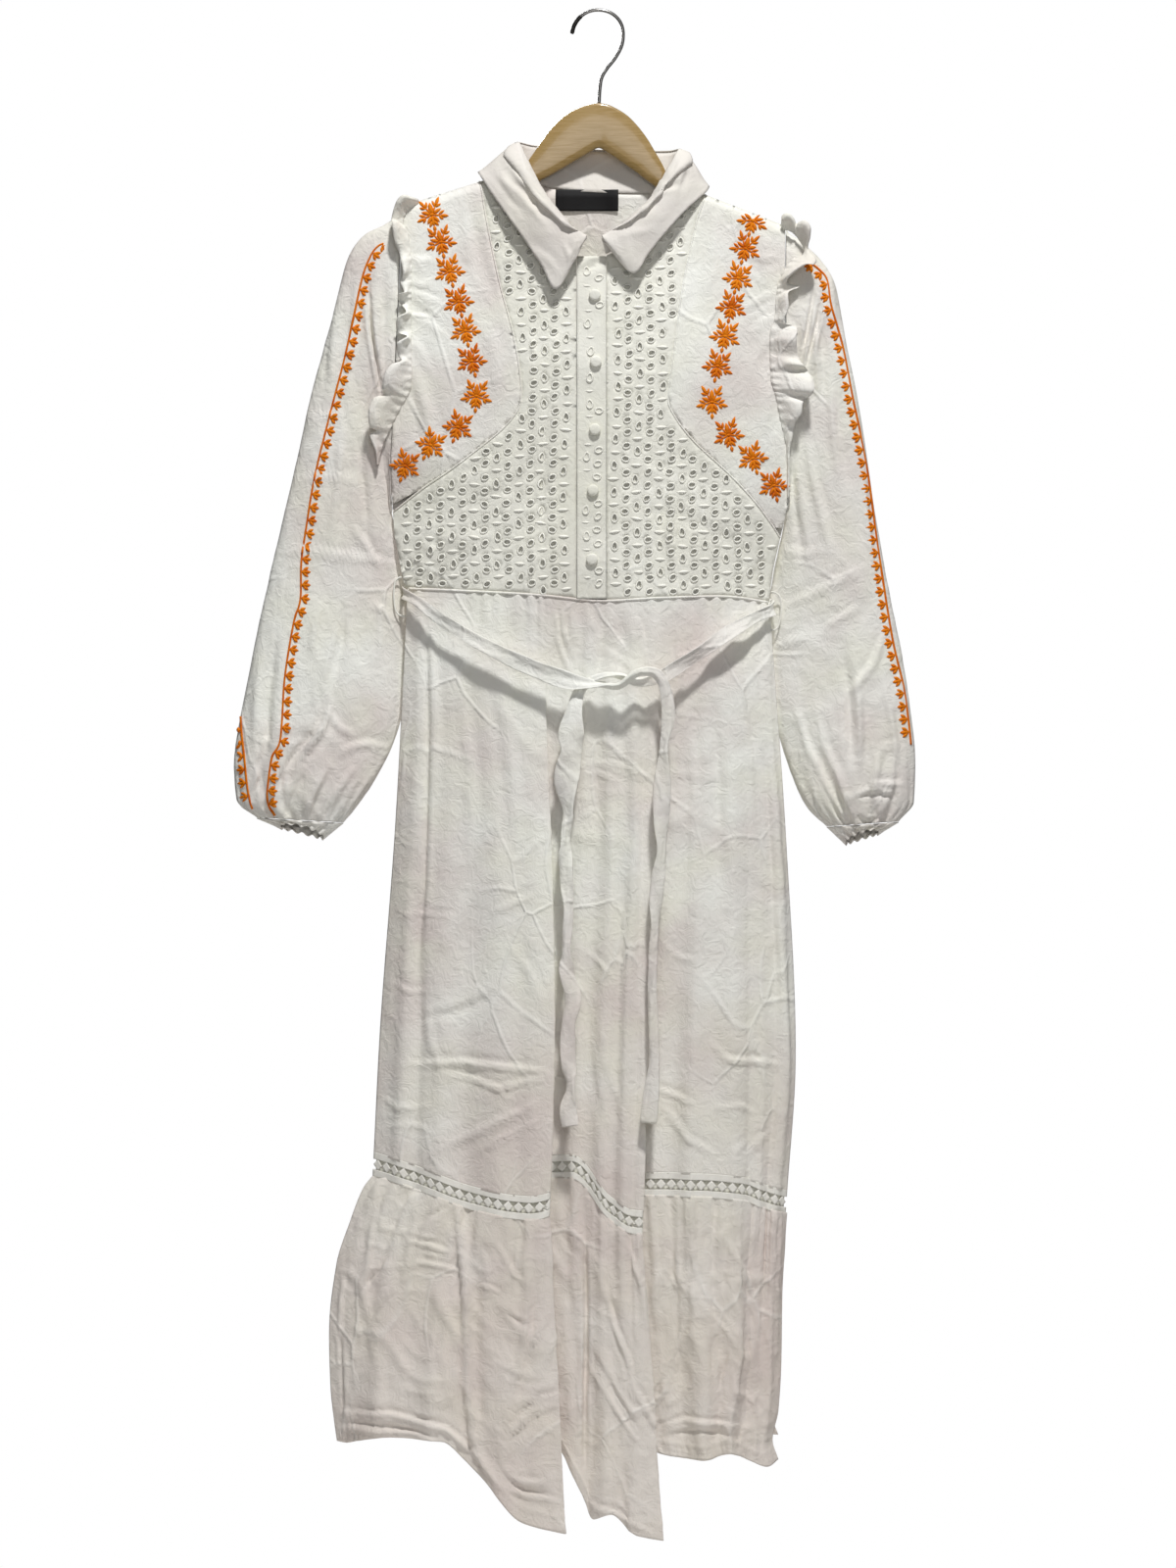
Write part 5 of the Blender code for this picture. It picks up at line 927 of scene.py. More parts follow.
skirt = {
    # place; across at the waist, thigh, calf and lace; depth at the same four levels; down at the lace
    "front": table(
        (0, 416, 403.5, 388, 381.5, 1, 1, 1, 1, 1177), (0.025, 423, 413, 400, 394, 6, 9, 9, 9, 1180),
        (0.055, 434, 428, 419, 414, 11, 17, 18, 19, 1186), (0.1, 452, 445, 440, 438, 17, 20, 24, 27, 1194),
        (0.18, 490, 490, 486, 484, 23, 29, 34, 37, 1210), (0.27, 535, 545, 545, 542, 26, 37, 44, 48, 1219),
        (0.3, 550, 562.5, 566, 562, 27, 35, 42, 46, 1214),
        (0.33, 561, 552, 546, 541, 27.5, 30.5, 35, 38, 1204),
        (0.36, 570, 547, 534, 528, 28, 25.5, 27.5, 29.5, 1191),
        (0.39, 580, 562, 552, 548, 28.5, 24, 24, 25, 1180),
        (0.44, 601, 592, 585, 583, 29, 27, 27, 28, 1178), (0.51, 632, 630, 624, 622, 29, 33, 35, 37, 1219),
        (0.56, 657, 657, 649, 645, 28.5, 36, 40, 43, 1233),
        (0.59, 671, 669, 660.5, 656, 28, 34, 38, 41, 1234),
        (0.62, 681, 662, 645, 638, 27.5, 29, 31.5, 33.5, 1221),
        (0.65, 690, 664, 638, 628, 27, 24.5, 24.5, 26, 1206),
        (0.69, 704, 684, 666, 660, 26, 23.5, 23, 24, 1196),
        (0.78, 730, 722, 715, 712, 22.5, 27, 30, 32, 1197),
        (0.86, 752, 756, 757, 757, 18, 23, 27, 28, 1201), (0.92, 767, 776, 780, 776, 12, 14, 16, 17, 1208),
        (0.96, 776, 789, 797, 788, 7, 13, 14, 14, 1212), (1, 785, 802.5, 811.5, 803, 1, 1, 1, 1, 1216),
    ),
    "levels": np.array([0, 0.42, 0.78, 1]), "seamSpan": (416.5, 784),
    # place; depth at the waist, at the lace and at the hem
    "back": table(
        (0, 1, 1, 1), (0.06, 11, 17, 18), (0.16, 19, 25, 34), (0.27, 23, 34, 38), (0.38, 26, 29, 36),
        (0.5, 27, 37, 45), (0.61, 26, 31, 38), (0.73, 23, 35, 43), (0.84, 19, 24, 32), (0.94, 11, 17, 20),
        (1, 1, 1, 1),
    ),
    "bandHeight": 20, "bandGap": 0.6, "columns": 198,
    # soft standing folds of the cloth: cloth position, half width, throw at the waist and at the lace, mm
    "folds": table(
        (0.045, 0.01, 0.5, 2.2), (0.075, 0.012, 0, -2.4), (0.12, 0.018, 0.4, 2), (0.165, 0.016, -0.4, -1.6),
        (0.215, 0.02, 0.5, 1.8), (0.25, 0.014, 0, -1.6), (0.405, 0.008, 1.2, 1.6), (0.425, 0.007, -1, -1.4),
        (0.445, 0.008, 1.2, 1.6), (0.468, 0.01, -1.1, -1.6), (0.492, 0.008, 1.3, 1.8),
        (0.515, 0.008, -1.2, -1.8), (0.538, 0.009, 1.2, 1.8), (0.56, 0.008, -0.8, -1.6),
        (0.7, 0.01, 0.5, 1.5), (0.73, 0.014, -0.6, -1.8), (0.765, 0.012, 0.5, 1.6),
        (0.8, 0.016, -0.5, -1.8), (0.84, 0.014, 0.6, 2), (0.88, 0.014, -0.6, -2.2), (0.915, 0.01, 0.4, 1.8),
        (0.945, 0.01, 0, -2), (0.975, 0.008, 0.3, 1.4),
    ),
    "creases": [
        (4, 2, 415, 1086, 470, 1083, 520, 1088, 562, 1092),
        (3, 1.8, 452, 1094, 482, 1099, 510, 1109, 545, 1100, 562, 1095),
        (2.6, 1.4, 508, 1108, 515, 1115, 522, 1124), (3.6, 2.2, 430, 1186, 462, 1164, 501, 1146, 550, 1122),
        (3.2, 1.7, 480, 1178, 512, 1160, 548, 1141), (3.6, 1.3, 500, 933, 522, 922, 548, 911),
        (8, 1.8, 446, 975, 480, 920, 516, 866), (5, -1.4, 430, 1040, 470, 1030, 515, 1010),
        (4, 1.4, 436, 1020, 440, 1060, 452, 1092), (6, 1.4, 470, 700, 480, 780, 482, 860),
        (7, -1.4, 500, 690, 512, 780, 520, 880), (3, -2.6, 436, 640, 437, 760, 434, 900, 424, 1010),
        (2.6, -2.4, 641, 740, 640, 860, 634, 1000, 630, 1150), (2.4, 1.6, 649, 720, 650, 860, 646, 1000),
        (2.2, 1.2, 594, 790, 612, 789, 631, 797), (2.2, 1.2, 599, 776, 640, 782, 652, 788, 654, 799),
        (2.2, 1.2, 406, 935, 419, 931, 468, 935), (2.2, 1.1, 599, 972, 612, 980, 625, 998),
        (5, 1.2, 440, 650, 446, 740, 444, 830), (9, -1.8, 423, 840, 426, 940, 428, 1080),
        (4, 1.2, 520, 960, 540, 990, 556, 1030), (3, 1, 398, 1000, 420, 1012, 440, 1010),
        (3.2, 1.2, 390, 1120, 410, 1130, 440, 1126), (3, 1.1, 395, 1150, 420, 1146, 440, 1152),
        (3, 1.3, 566, 645, 574, 668, 582, 688), (2.6, 1.2, 600, 622, 610, 650, 604, 690),
        (2.4, 1.5, 640, 618, 652, 640, 656, 668), (2.2, 1.3, 628, 616, 640, 634, 650, 660),
        (2.6, 1.2, 556, 610, 566, 626, 570, 650), (2.4, 1, 612, 660, 628, 670, 650, 682),
        (3, 1.1, 620, 640, 634, 660, 642, 684), (3, 1.3, 575, 618, 574, 640, 580, 664),
        (4, 1.5, 600, 780, 604, 860, 600, 960), (4, -1.4, 615, 790, 618, 880, 614, 980),
        (4.5, 1.3, 632, 760, 636, 860, 634, 980), (3, 1.2, 590, 1000, 594, 1060, 588, 1130),
        (3, 1.2, 612, 1030, 620, 1090, 640, 1150), (3, -1.1, 600, 1060, 608, 1110, 620, 1170),
        (3.6, 1.8, 726, 1062, 742, 1081, 768, 1082, 796, 1086), (3, 1.5, 668, 1109, 690, 1117, 709, 1127),
        (3.2, 1.6, 676, 1126, 702, 1161, 728, 1176), (3, 1.4, 728, 1130, 756, 1126, 771, 1136),
        (6, 1.5, 700, 720, 708, 800, 704, 900), (7, -1.6, 725, 700, 733, 800, 735, 920),
        (6, 1.6, 752, 680, 764, 780, 770, 900), (5, -1.8, 780, 760, 788, 880, 795, 1010),
        (4, 1.6, 790, 900, 798, 1000, 803, 1100), (3, 1.2, 760, 1180, 776, 1160, 790, 1152),
        (3, 1.3, 740, 1188, 752, 1170, 770, 1160), (3, 1, 676, 960, 690, 975, 712, 980),
        (5, 1.2, 690, 640, 694, 680, 690, 740),
    ],
}


def betweenLevels(values, level):
    # smooth change of a section value from one skirt level to the next
    shape = np.broadcast(values[..., 0], level).shape
    values, level = np.broadcast_to(values, shape + (4,)), np.broadcast_to(level, shape)
    knots = skirt["levels"]
    rise = np.diff(values, axis=-1) / np.diff(knots)
    slope = np.concatenate([rise[..., :1], 0.5 * (rise[..., :-1] + rise[..., 1:]), rise[..., -1:]], axis=-1)
    cell = np.clip(np.searchsorted(knots, level, side="right") - 1, 0, 2)
    wide = np.diff(knots)[cell]
    a, b, first, last = (np.take_along_axis(part, cell[..., None] + k, -1)[..., 0]
                         for part in (values, slope) for k in (0, 1))
    return cubic(a, b, first * wide, last * wide, (level - knots[cell]) / wide)


def skirtFront(q, level):
    # cloth position q across, level from the waist seam to the lace line: across, down, depth
    across, depth = (np.stack([smooth(skirt["front"], first + k, q) for k in range(4)], axis=-1)
                     for first in (1, 5))
    top = waistDown(across[..., 0]) + 0.15
    seam = bodyHalf(np.clip(across[..., 0], *skirt["seamSpan"]), top)
    y = seam + (betweenLevels(depth, level) - seam) * ease(level / 0.16)
    return betweenLevels(across, level), top + (smooth(skirt["front"], 9, q) - top) * level, -y


def foldPlaces(count):
    # cloth positions that stand closer in the rolled folds and at the side seams
    fine = np.linspace(0, 1, 4001)
    weight = 1 + 2.2 * bell((fine - 0.335) / 0.05) + 2.2 * bell((fine - 0.625) / 0.05)
    weight += bell(fine / 0.05) + bell((1 - fine) / 0.08)
    total = np.concatenate([[0], np.cumsum(0.5 * (weight[1:] + weight[:-1]))])
    return np.interp(np.linspace(0, total[-1], count), total, fine)


def foldSlack(q):
    # a little less length in the two rolled folds, as bells over the cloth position
    return 1.3 * bell((q - 0.355) / 0.03) + 1.3 * bell((q - 0.645) / 0.03)


def calmSides(q, reach=0.02):
    # 0 at both side seams, 1 from reach inwards
    return ease(q / reach) * ease((1 - q) / reach)


def calmTurns(q, reach=0.03):
    # 0 at the side seams and nearly 0 inside the two rolled folds, 1 elsewhere
    calm = calmSides(q)
    for turn in (0.338, 0.628):
        calm = calm * (1 - 0.85 * bell((q - turn) / reach))
    return calm


def skirtRelief(q, level, across, down):
    # standing folds, creases, crumple and noise, and the fine gathers under the waist seam
    drop = np.zeros(q.shape)
    for spot, width, high, low in skirt["folds"]:
        drop += (high + (low - high) * ease(level)) * bell((q - spot) / width)
    relief = 1.5 * drop + 1.7 * strokes(across, down, skirt["creases"], 0.75)
    relief += 1.5 * crumple(across / 62, down / 88, 41) + 0.9 * noise(across / 30, down / 60, 42)
    relief += 0.28 * noise(across / 9, down / 17, 43)
    uneven = 0.6 + 0.8 * noise(across / 26, 0 * across, 45)
    gathers = uneven * np.sin(across / 2.3 + 2.6 * noise(across / 17, 0 * across, 44))
    gathers = gathers * np.exp(-(level / 0.055) ** 1.5)
    return (relief * ease(level / 0.05) + gathers) * calmTurns(q)


def displaced(points, relief, toward=-1):
    # moves a grid of points along its own normals, positive towards the outside of the dress
    normals = gridNormals(points)
    middle = normals[points.shape[0] // 2, points.shape[1] // 8, 1]
    return points + relief[..., None] * normals * (1 if middle * toward > 0 else -1)


q, level = np.meshgrid(foldPlaces(skirt["columns"]), np.linspace(0, 1, 196))
x, d, y = skirtFront(q, level)
relief = skirtRelief(q, level, x, d)
skirtLow = relief[-1]
points = displaced(place(x, d - (0.15 + foldSlack(q)) * level, y), relief)
sewCloth("skirt_front", points)


def skirtBack(q, level):
    # its side edges follow the front's; its depth goes straight from the waist's to the lace's
    first, last = skirt["front"][[0, -1]]
    lace = first[9] + (last[9] - first[9]) * q + 4 * np.sin(math.pi * q)
    left, right = (betweenLevels(np.broadcast_to(row[1:5], level.shape + (4,)), level)
                   for row in (first, last))
    waist, low = (smooth(skirt["back"], k, q) for k in (1, 2))
    x = left + (right - left) * q
    top = waistDown(416 + 369 * q) + 0.15
    seam = backDepth(np.clip(x, *skirt["seamSpan"]), top)
    return x, top + (lace - top) * level, seam + (waist + (low - waist) * level - seam) * ease(level / 0.16)


def skirtBackRelief(q, level, across, down):
    # crumple, noise and soft upright waves that grow downwards
    relief = 1.3 * crumple(across / 66, down / 92, 51) + 1.2 * noise(across / 26, down / 90, 52)
    relief += 0.9 * np.sin(across / 8 + 2 * noise(across / 40, down / 120, 53)) * level
    relief += 0.3 * noise(across / 9, down / 16, 54)
    return relief * calmSides(q) * ease(level / 0.05)


q, level = np.meshgrid(np.linspace(0, 1, 106), np.linspace(0, 1, 86))
x, d, y = skirtBack(q, level)
points = displaced(place(x, d - 0.15 * level, y), skirtBackRelief(q, level, x, d), 1)
sewCloth("skirt_back", points)
print("skirt made")


# crochet band: toward is 1 in front and -1 behind
lace = {"pitch": 10.8, "tape": 7, "ridge": 1.5, "diamondHeight": 10.4, "diamondWidth": 9.4}


def band(toward, q, step):
    # hangs on from the skirt's last stretch, step mm below the lace line
    sheet = skirtFront if toward > 0 else skirtBack
    x, d, y = sheet(q, np.ones_like(q))
    x2, d2, y2 = sheet(q, np.full_like(q, 0.96))
    fall = np.maximum(d - d2, 1)
    if toward > 0:
        lowest = -np.interp(q, foldPlaces(skirt["columns"]), skirtLow)
    else:
        lowest = skirtBackRelief(q, np.ones_like(q), x, d)
    return x + (x - x2) / fall * step, d + step, y + (y - y2) / fall * step + lowest


def onBand(toward, length, places, run, step, lift):
    # a point run mm along the band line and step mm below it, moved out by lift along the band's own normal
    q = np.interp(run, length, places)
    here = place(*band(toward, q, step))
    ahead = place(*band(toward, np.minimum(q + 0.0006, 1), step))
    behind = place(*band(toward, np.maximum(q - 0.0006, 0), step))
    lower = place(*band(toward, q, step + 0.5))
    normals = unit(np.cross(ahead - behind, lower - here)) * toward
    return here + np.asarray(lift)[..., None] * normals


def laceShapes(toward):
    # two corded tapes, each a strip with twin ridges |sin(2 pi w)|^0.8, and a row of solid diamonds between
    # them: the unit square turned by 45 degrees, its domed top falling to the edge
    places = np.linspace(0, 1, 2401)
    length = runLength(place(*band(toward, places, np.zeros_like(places))))
    total = length[-1]
    runs = np.linspace(0, total, int(total / 2.2))
    low = skirt["bandGap"] - 2.4
    high = low + skirt["bandHeight"] + 4.6
    w = np.linspace(0, 1, 9)
    ridge = lace["ridge"] * np.abs(np.sin(2 * math.pi * w)) ** 0.8
    shapes = []
    for first, last in ((low, low + lace["tape"]), (high - lace["tape"], high)):
        step, run = np.meshgrid(first + (last - first) * w, runs)
        outer = onBand(toward, length, places, run, step, 1 + ridge * (1 + 0.18 * np.sin(run / 1.3)))
        inner = onBand(toward, length, places, run, step, np.full(step.shape, -0.45))
        shapes.append(tube(np.concatenate([outer, inner[:, ::-1]], axis=1), runs))
    centres = np.arange(0.55 * lace["pitch"], total - 0.4 * lace["pitch"], lace["pitch"])
    u, v = np.meshgrid(np.linspace(-1, 1, 6), np.linspace(-1, 1, 6), indexing="ij")
    across = (0.5 * (u + v) * 0.5 * lace["diamondWidth"] * 1.16).ravel()
    down = (0.5 * (u - v) * 0.5 * lace["diamondHeight"] * 1.06).ravel()
    top = (0.2 + 0.75 * ((1 - u**2) * (1 - v**2)) ** 0.5).ravel()
    run = centres[:, None] + np.tile(across, 2)
    step = np.broadcast_to(low + 2.3 + 0.5 * skirt["bandHeight"] + np.tile(down, 2), run.shape)
    lift = np.broadcast_to(np.concatenate([top, np.full(top.size, -0.3)]), run.shape)
    points = onBand(toward, length, places, run, step, lift)
    pad = facesOut(points[0], [padFaces(6, 6)])[0]
    shapes.append((*copiesOf(points, pad), np.stack([run.ravel(), step.ravel() * 2], axis=1)))
    return joinShapes(shapes), total


lengths = []
for side, toward in (("front", 1), ("back", -1)):
    shape, total = laceShapes(toward)
    sew(f"lace_{side}_crochet", shape, crochetThread, "crochet_lace", "lace_" + side)
    lengths.append(round(total))
# a plain strip 3 mm inside the front band, from above its upper tape to below its lower one
points = place(*band(1, *np.meshgrid(np.linspace(0.006, 0.994, 300), np.linspace(-4, 26, 8))))
sew("lace_backing_cloth", (points + (0, 3, 0), gridFaces(8, 300)), eyeletCotton, thick=0.4)
print("lace made", *lengths)


flounce = {
    # place; across, depth and down of the hem
    "front": table(
        (0, 344, 1, 1470), (0.025, 353, 9, 1471), (0.055, 366, 20, 1468), (0.1, 396, 33, 1463),
        (0.18, 452, 45, 1466), (0.205, 475, 47, 1485), (0.23, 498, 50, 1508), (0.27, 533, 56, 1547),
        (0.3, 577, 56, 1558), (0.33, 560, 46.5, 1505), (0.36, 552, 36, 1480), (0.39, 566, 30, 1472),
        (0.44, 593, 33, 1520), (0.475, 606, 37, 1546), (0.51, 623, 42, 1540), (0.56, 650, 49, 1561),
        (0.59, 676, 48, 1566), (0.62, 656, 38.5, 1500), (0.65, 650, 29, 1470), (0.69, 676, 27, 1481),
        (0.78, 716, 36, 1486), (0.86, 745, 32, 1480), (0.92, 764, 20, 1488), (0.96, 782, 15, 1495),
        (1, 794, 1, 1489),
    ),
    # level; across of the left and right edges
    "edge": table(
        (0, 381.5, 803), (0.05, 371, 802), (0.18, 357, 800), (0.33, 344, 798), (0.6, 336, 797),
        (0.8, 337.5, 794), (0.92, 341, 788), (1, 344, 794),
    ),
    # place, width and throw of each standing fold
    "ripples": table(
        (0.085, 0.016, 5), (0.135, 0.02, -4), (0.165, 0.014, 5), (0.205, 0.018, -4.5), (0.245, 0.014, 4),
        (0.425, 0.016, 3.5), (0.465, 0.016, -3.5), (0.5, 0.014, 4), (0.54, 0.014, -3), (0.705, 0.016, 3),
        (0.74, 0.018, -3.5), (0.785, 0.018, 4.5), (0.825, 0.016, -4), (0.865, 0.016, 4), (0.9, 0.012, -3),
    ),
    "backHem": 1464, "length": 270,
    "gatherCount": 120, "gatherDepth": 2.5,
    "creases": [
        (5, 3.2, 465, 1213, 476, 1315, 478, 1411, 486, 1475, 511, 1513),
        (2.4, -3.2, 461, 1215, 471, 1315, 473, 1411, 481, 1475, 504, 1510),
        (2.2, -3, 597, 1261, 599, 1335, 597, 1443, 597, 1500),
        (2.6, 1.6, 592, 1261, 594, 1335, 592, 1443, 590, 1490), (1.9, -1.6, 457, 1228, 425, 1248),
        (1.9, -2, 408, 1266, 384, 1298, 360, 1325), (1.9, -1.6, 416, 1306, 392, 1328, 374, 1350),
        (2.2, 1.5, 416, 1264, 438, 1268, 460, 1276), (2.2, 1.3, 422, 1284, 444, 1288, 467, 1293),
        (2, 1.5, 425, 1226, 420, 1266, 415, 1306), (2, -1.8, 452, 1315, 446, 1379, 455, 1430),
        (2.6, 2.6, 543, 1290, 537, 1354, 524, 1417, 511, 1456), (2.2, 1.8, 562, 1335, 543, 1366, 530, 1398),
        (2, 1.5, 572, 1347, 562, 1376, 556, 1398), (2, 1.6, 508, 1264, 524, 1296, 537, 1306),
        (2, 1.3, 492, 1306, 502, 1312, 511, 1315), (2, -1.4, 518, 1335, 528, 1342, 537, 1347),
        (2, -1.6, 575, 1414, 550, 1417, 524, 1443, 511, 1456), (2.2, 1.6, 569, 1427, 540, 1440, 516, 1462),
        (2.4, 1.8, 524, 1504, 553, 1507, 569, 1494), (2.4, 1.6, 502, 1507, 540, 1520, 575, 1526),
        (2, -1.4, 514, 1499, 536, 1514, 560, 1516), (2.6, 2, 349, 1440, 400, 1440, 454, 1453, 492, 1484),
        (2.2, -1.6, 352, 1449, 400, 1450, 440, 1459), (2.4, 1.5, 352, 1456, 425, 1459, 460, 1472),
        (2.2, 1.6, 386, 1216, 378, 1270, 372, 1330), (2, 1.4, 352, 1296, 348, 1340, 344, 1380),
        (2, -1.5, 345, 1350, 350, 1400, 350, 1450), (2, 1.3, 486, 1260, 500, 1290, 494, 1330),
        (2.2, 1.8, 612, 1296, 626, 1347, 639, 1379, 645, 1408), (2.2, 1.8, 639, 1264, 655, 1309, 660, 1354),
        (2.2, 1.8, 645, 1408, 658, 1432, 671, 1456), (2, 1.4, 601, 1386, 626, 1430, 652, 1469),
        (2, -1.3, 605, 1376, 630, 1420, 655, 1459), (2.4, 1.5, 597, 1529, 626, 1539, 668, 1560),
        (2, 1.4, 703, 1325, 690, 1370, 674, 1411), (2, -1.5, 744, 1366, 738, 1392, 731, 1417),
        (2, 1.4, 754, 1335, 754, 1380, 750, 1424), (2.4, 1.6, 738, 1258, 756, 1292, 771, 1326),
        (2.4, 1.6, 674, 1453, 700, 1446, 728, 1449, 758, 1453),
        (2.2, -1.4, 680, 1460, 712, 1455, 750, 1462), (2, 1.2, 705, 1250, 700, 1290, 708, 1330),
        (2, 1.2, 676, 1290, 690, 1310, 684, 1340),
    ],
}


def gatherField(q, level, seed, count, depth):
    # uneven gathers let out of the seam: each a narrow bell in q that fades down the cloth at its own length
    chance = np.random.default_rng(seed)
    spots = np.sort(chance.uniform(0.005, 0.995, count))
    width = chance.uniform(0.0022, 0.0052, count)
    height = chance.uniform(0.35, 1, count) * chance.choice([-0.8, 1, 1], count)
    reach = chance.uniform(0.12, 0.75, count) ** 1.3
    lean = chance.normal(0, 0.006, count)
    grow = 1 + 1.6 * level
    total = np.zeros(q.shape)
    for k in range(count):
        gather = bell((q - spots[k] - lean[k] * level) / (width[k] * grow))
        total += height[k] * gather * bell(level / reach[k])
    return depth * total * (0.35 + 0.65 * ease(level / 0.04))


def flounceFront(q, level):
    # straight from the band to the hem's table, its sides bulged to the edge table, the ripples growing
    # downwards
    x0, d0, y0 = band(1, q, np.full_like(q, skirt["bandHeight"] + 1.2) + foldSlack(q))
    x1, y1, d1 = (smooth(flounce["front"], k, q) for k in (1, 2, 3))
    x = x0 + (x1 - x0) * level
    left = (smooth(flounce["edge"], 1, level) - x[..., :1]) * np.clip(1 - q / 0.27, 0, 1)
    right = (smooth(flounce["edge"], 2, level) - x[..., -1:]) * np.clip((q - 0.72) / 0.28, 0, 1)
    ripple = np.zeros_like(q)
    for spot, width, throw in flounce["ripples"]:
        ripple += throw * bell((q - spot) / width)
    y = y0 + (-y1 - y0) * ease(level * 1.1) - ripple * ease(level * 1.15)
    return x + left + right, d0 + (d1 - d0) * level, y


def flounceRelief(q, level, across, down):
    # gathers, creases, crumple and noise; then the stitched hem: a ridge about 14 mm above the edge,
    # puckered below
    relief = gatherField(q, level, 61, flounce["gatherCount"], flounce["gatherDepth"])
    relief += 1.7 * strokes(across, down, flounce["creases"])
    relief += 3.2 * crumple(across / 34, down / 52, 62) * ease(level / 0.25)
    relief += 1.2 * noise(across / 15, down / 34, 64) + 0.7 * noise(across / 6, down / 14, 65)
    above = (1 - level) * flounce["length"]
    puckers = 0.8 * np.sin(q * 900 + 3 * noise(q * 60, 0 * q, 66)) * bell((above - 7) / 5)
    relief += 0.9 * bell((above - 14) / 1.8) + puckers
    return relief * calmTurns(q, 0.035)


q, level = np.meshgrid(foldPlaces(306), np.linspace(0, 1, 122))
x, d, y = flounceFront(q, level)
points = displaced(place(x, d, y), flounceRelief(q, level, x, d))
points[..., 1] -= 0.5 * bell((1 - level) * flounce["length"] / 9 - 1) * calmTurns(q, 0.035)
sewCloth("flounce_front", points)


def flounceBack(q, level):
    # between the edge table's sides, with nine soft folds
    x0, d0, y0 = band(-1, q, np.full_like(q, skirt["bandHeight"] + 1.4))
    left, right = (smooth(flounce["edge"], k, level) for k in (1, 2))
    x = x0 + (left + (right - left) * q - x0) * ease(level * 3)
    folds = np.sin(2 * math.pi * (9 * q + 0.6 * np.sin(7 * q + 1.7)) + 1.7)
    y = y0 + (smooth(skirt["back"], 3, q) - y0) * level + 4 * folds * ease(level * 1.1) * calmSides(q, 0.08)
    return x, d0 + (flounce["backHem"] - d0) * level, y


q, level = np.meshgrid(np.linspace(0, 1, 206), np.linspace(0, 1, 54))
x, d, y = flounceBack(q, level)
relief = gatherField(q, level, 71, 110, 1.9) + 1.4 * crumple(x / 36, d / 55, 72) * ease(level / 0.25)
relief += 0.8 * noise(x / 15, d / 34, 73) + 0.4 * noise(x / 6, d / 12, 74)
points = displaced(place(x, d, y), relief * calmSides(q), 1)
sewCloth("flounce_back", points)
print("flounce made")


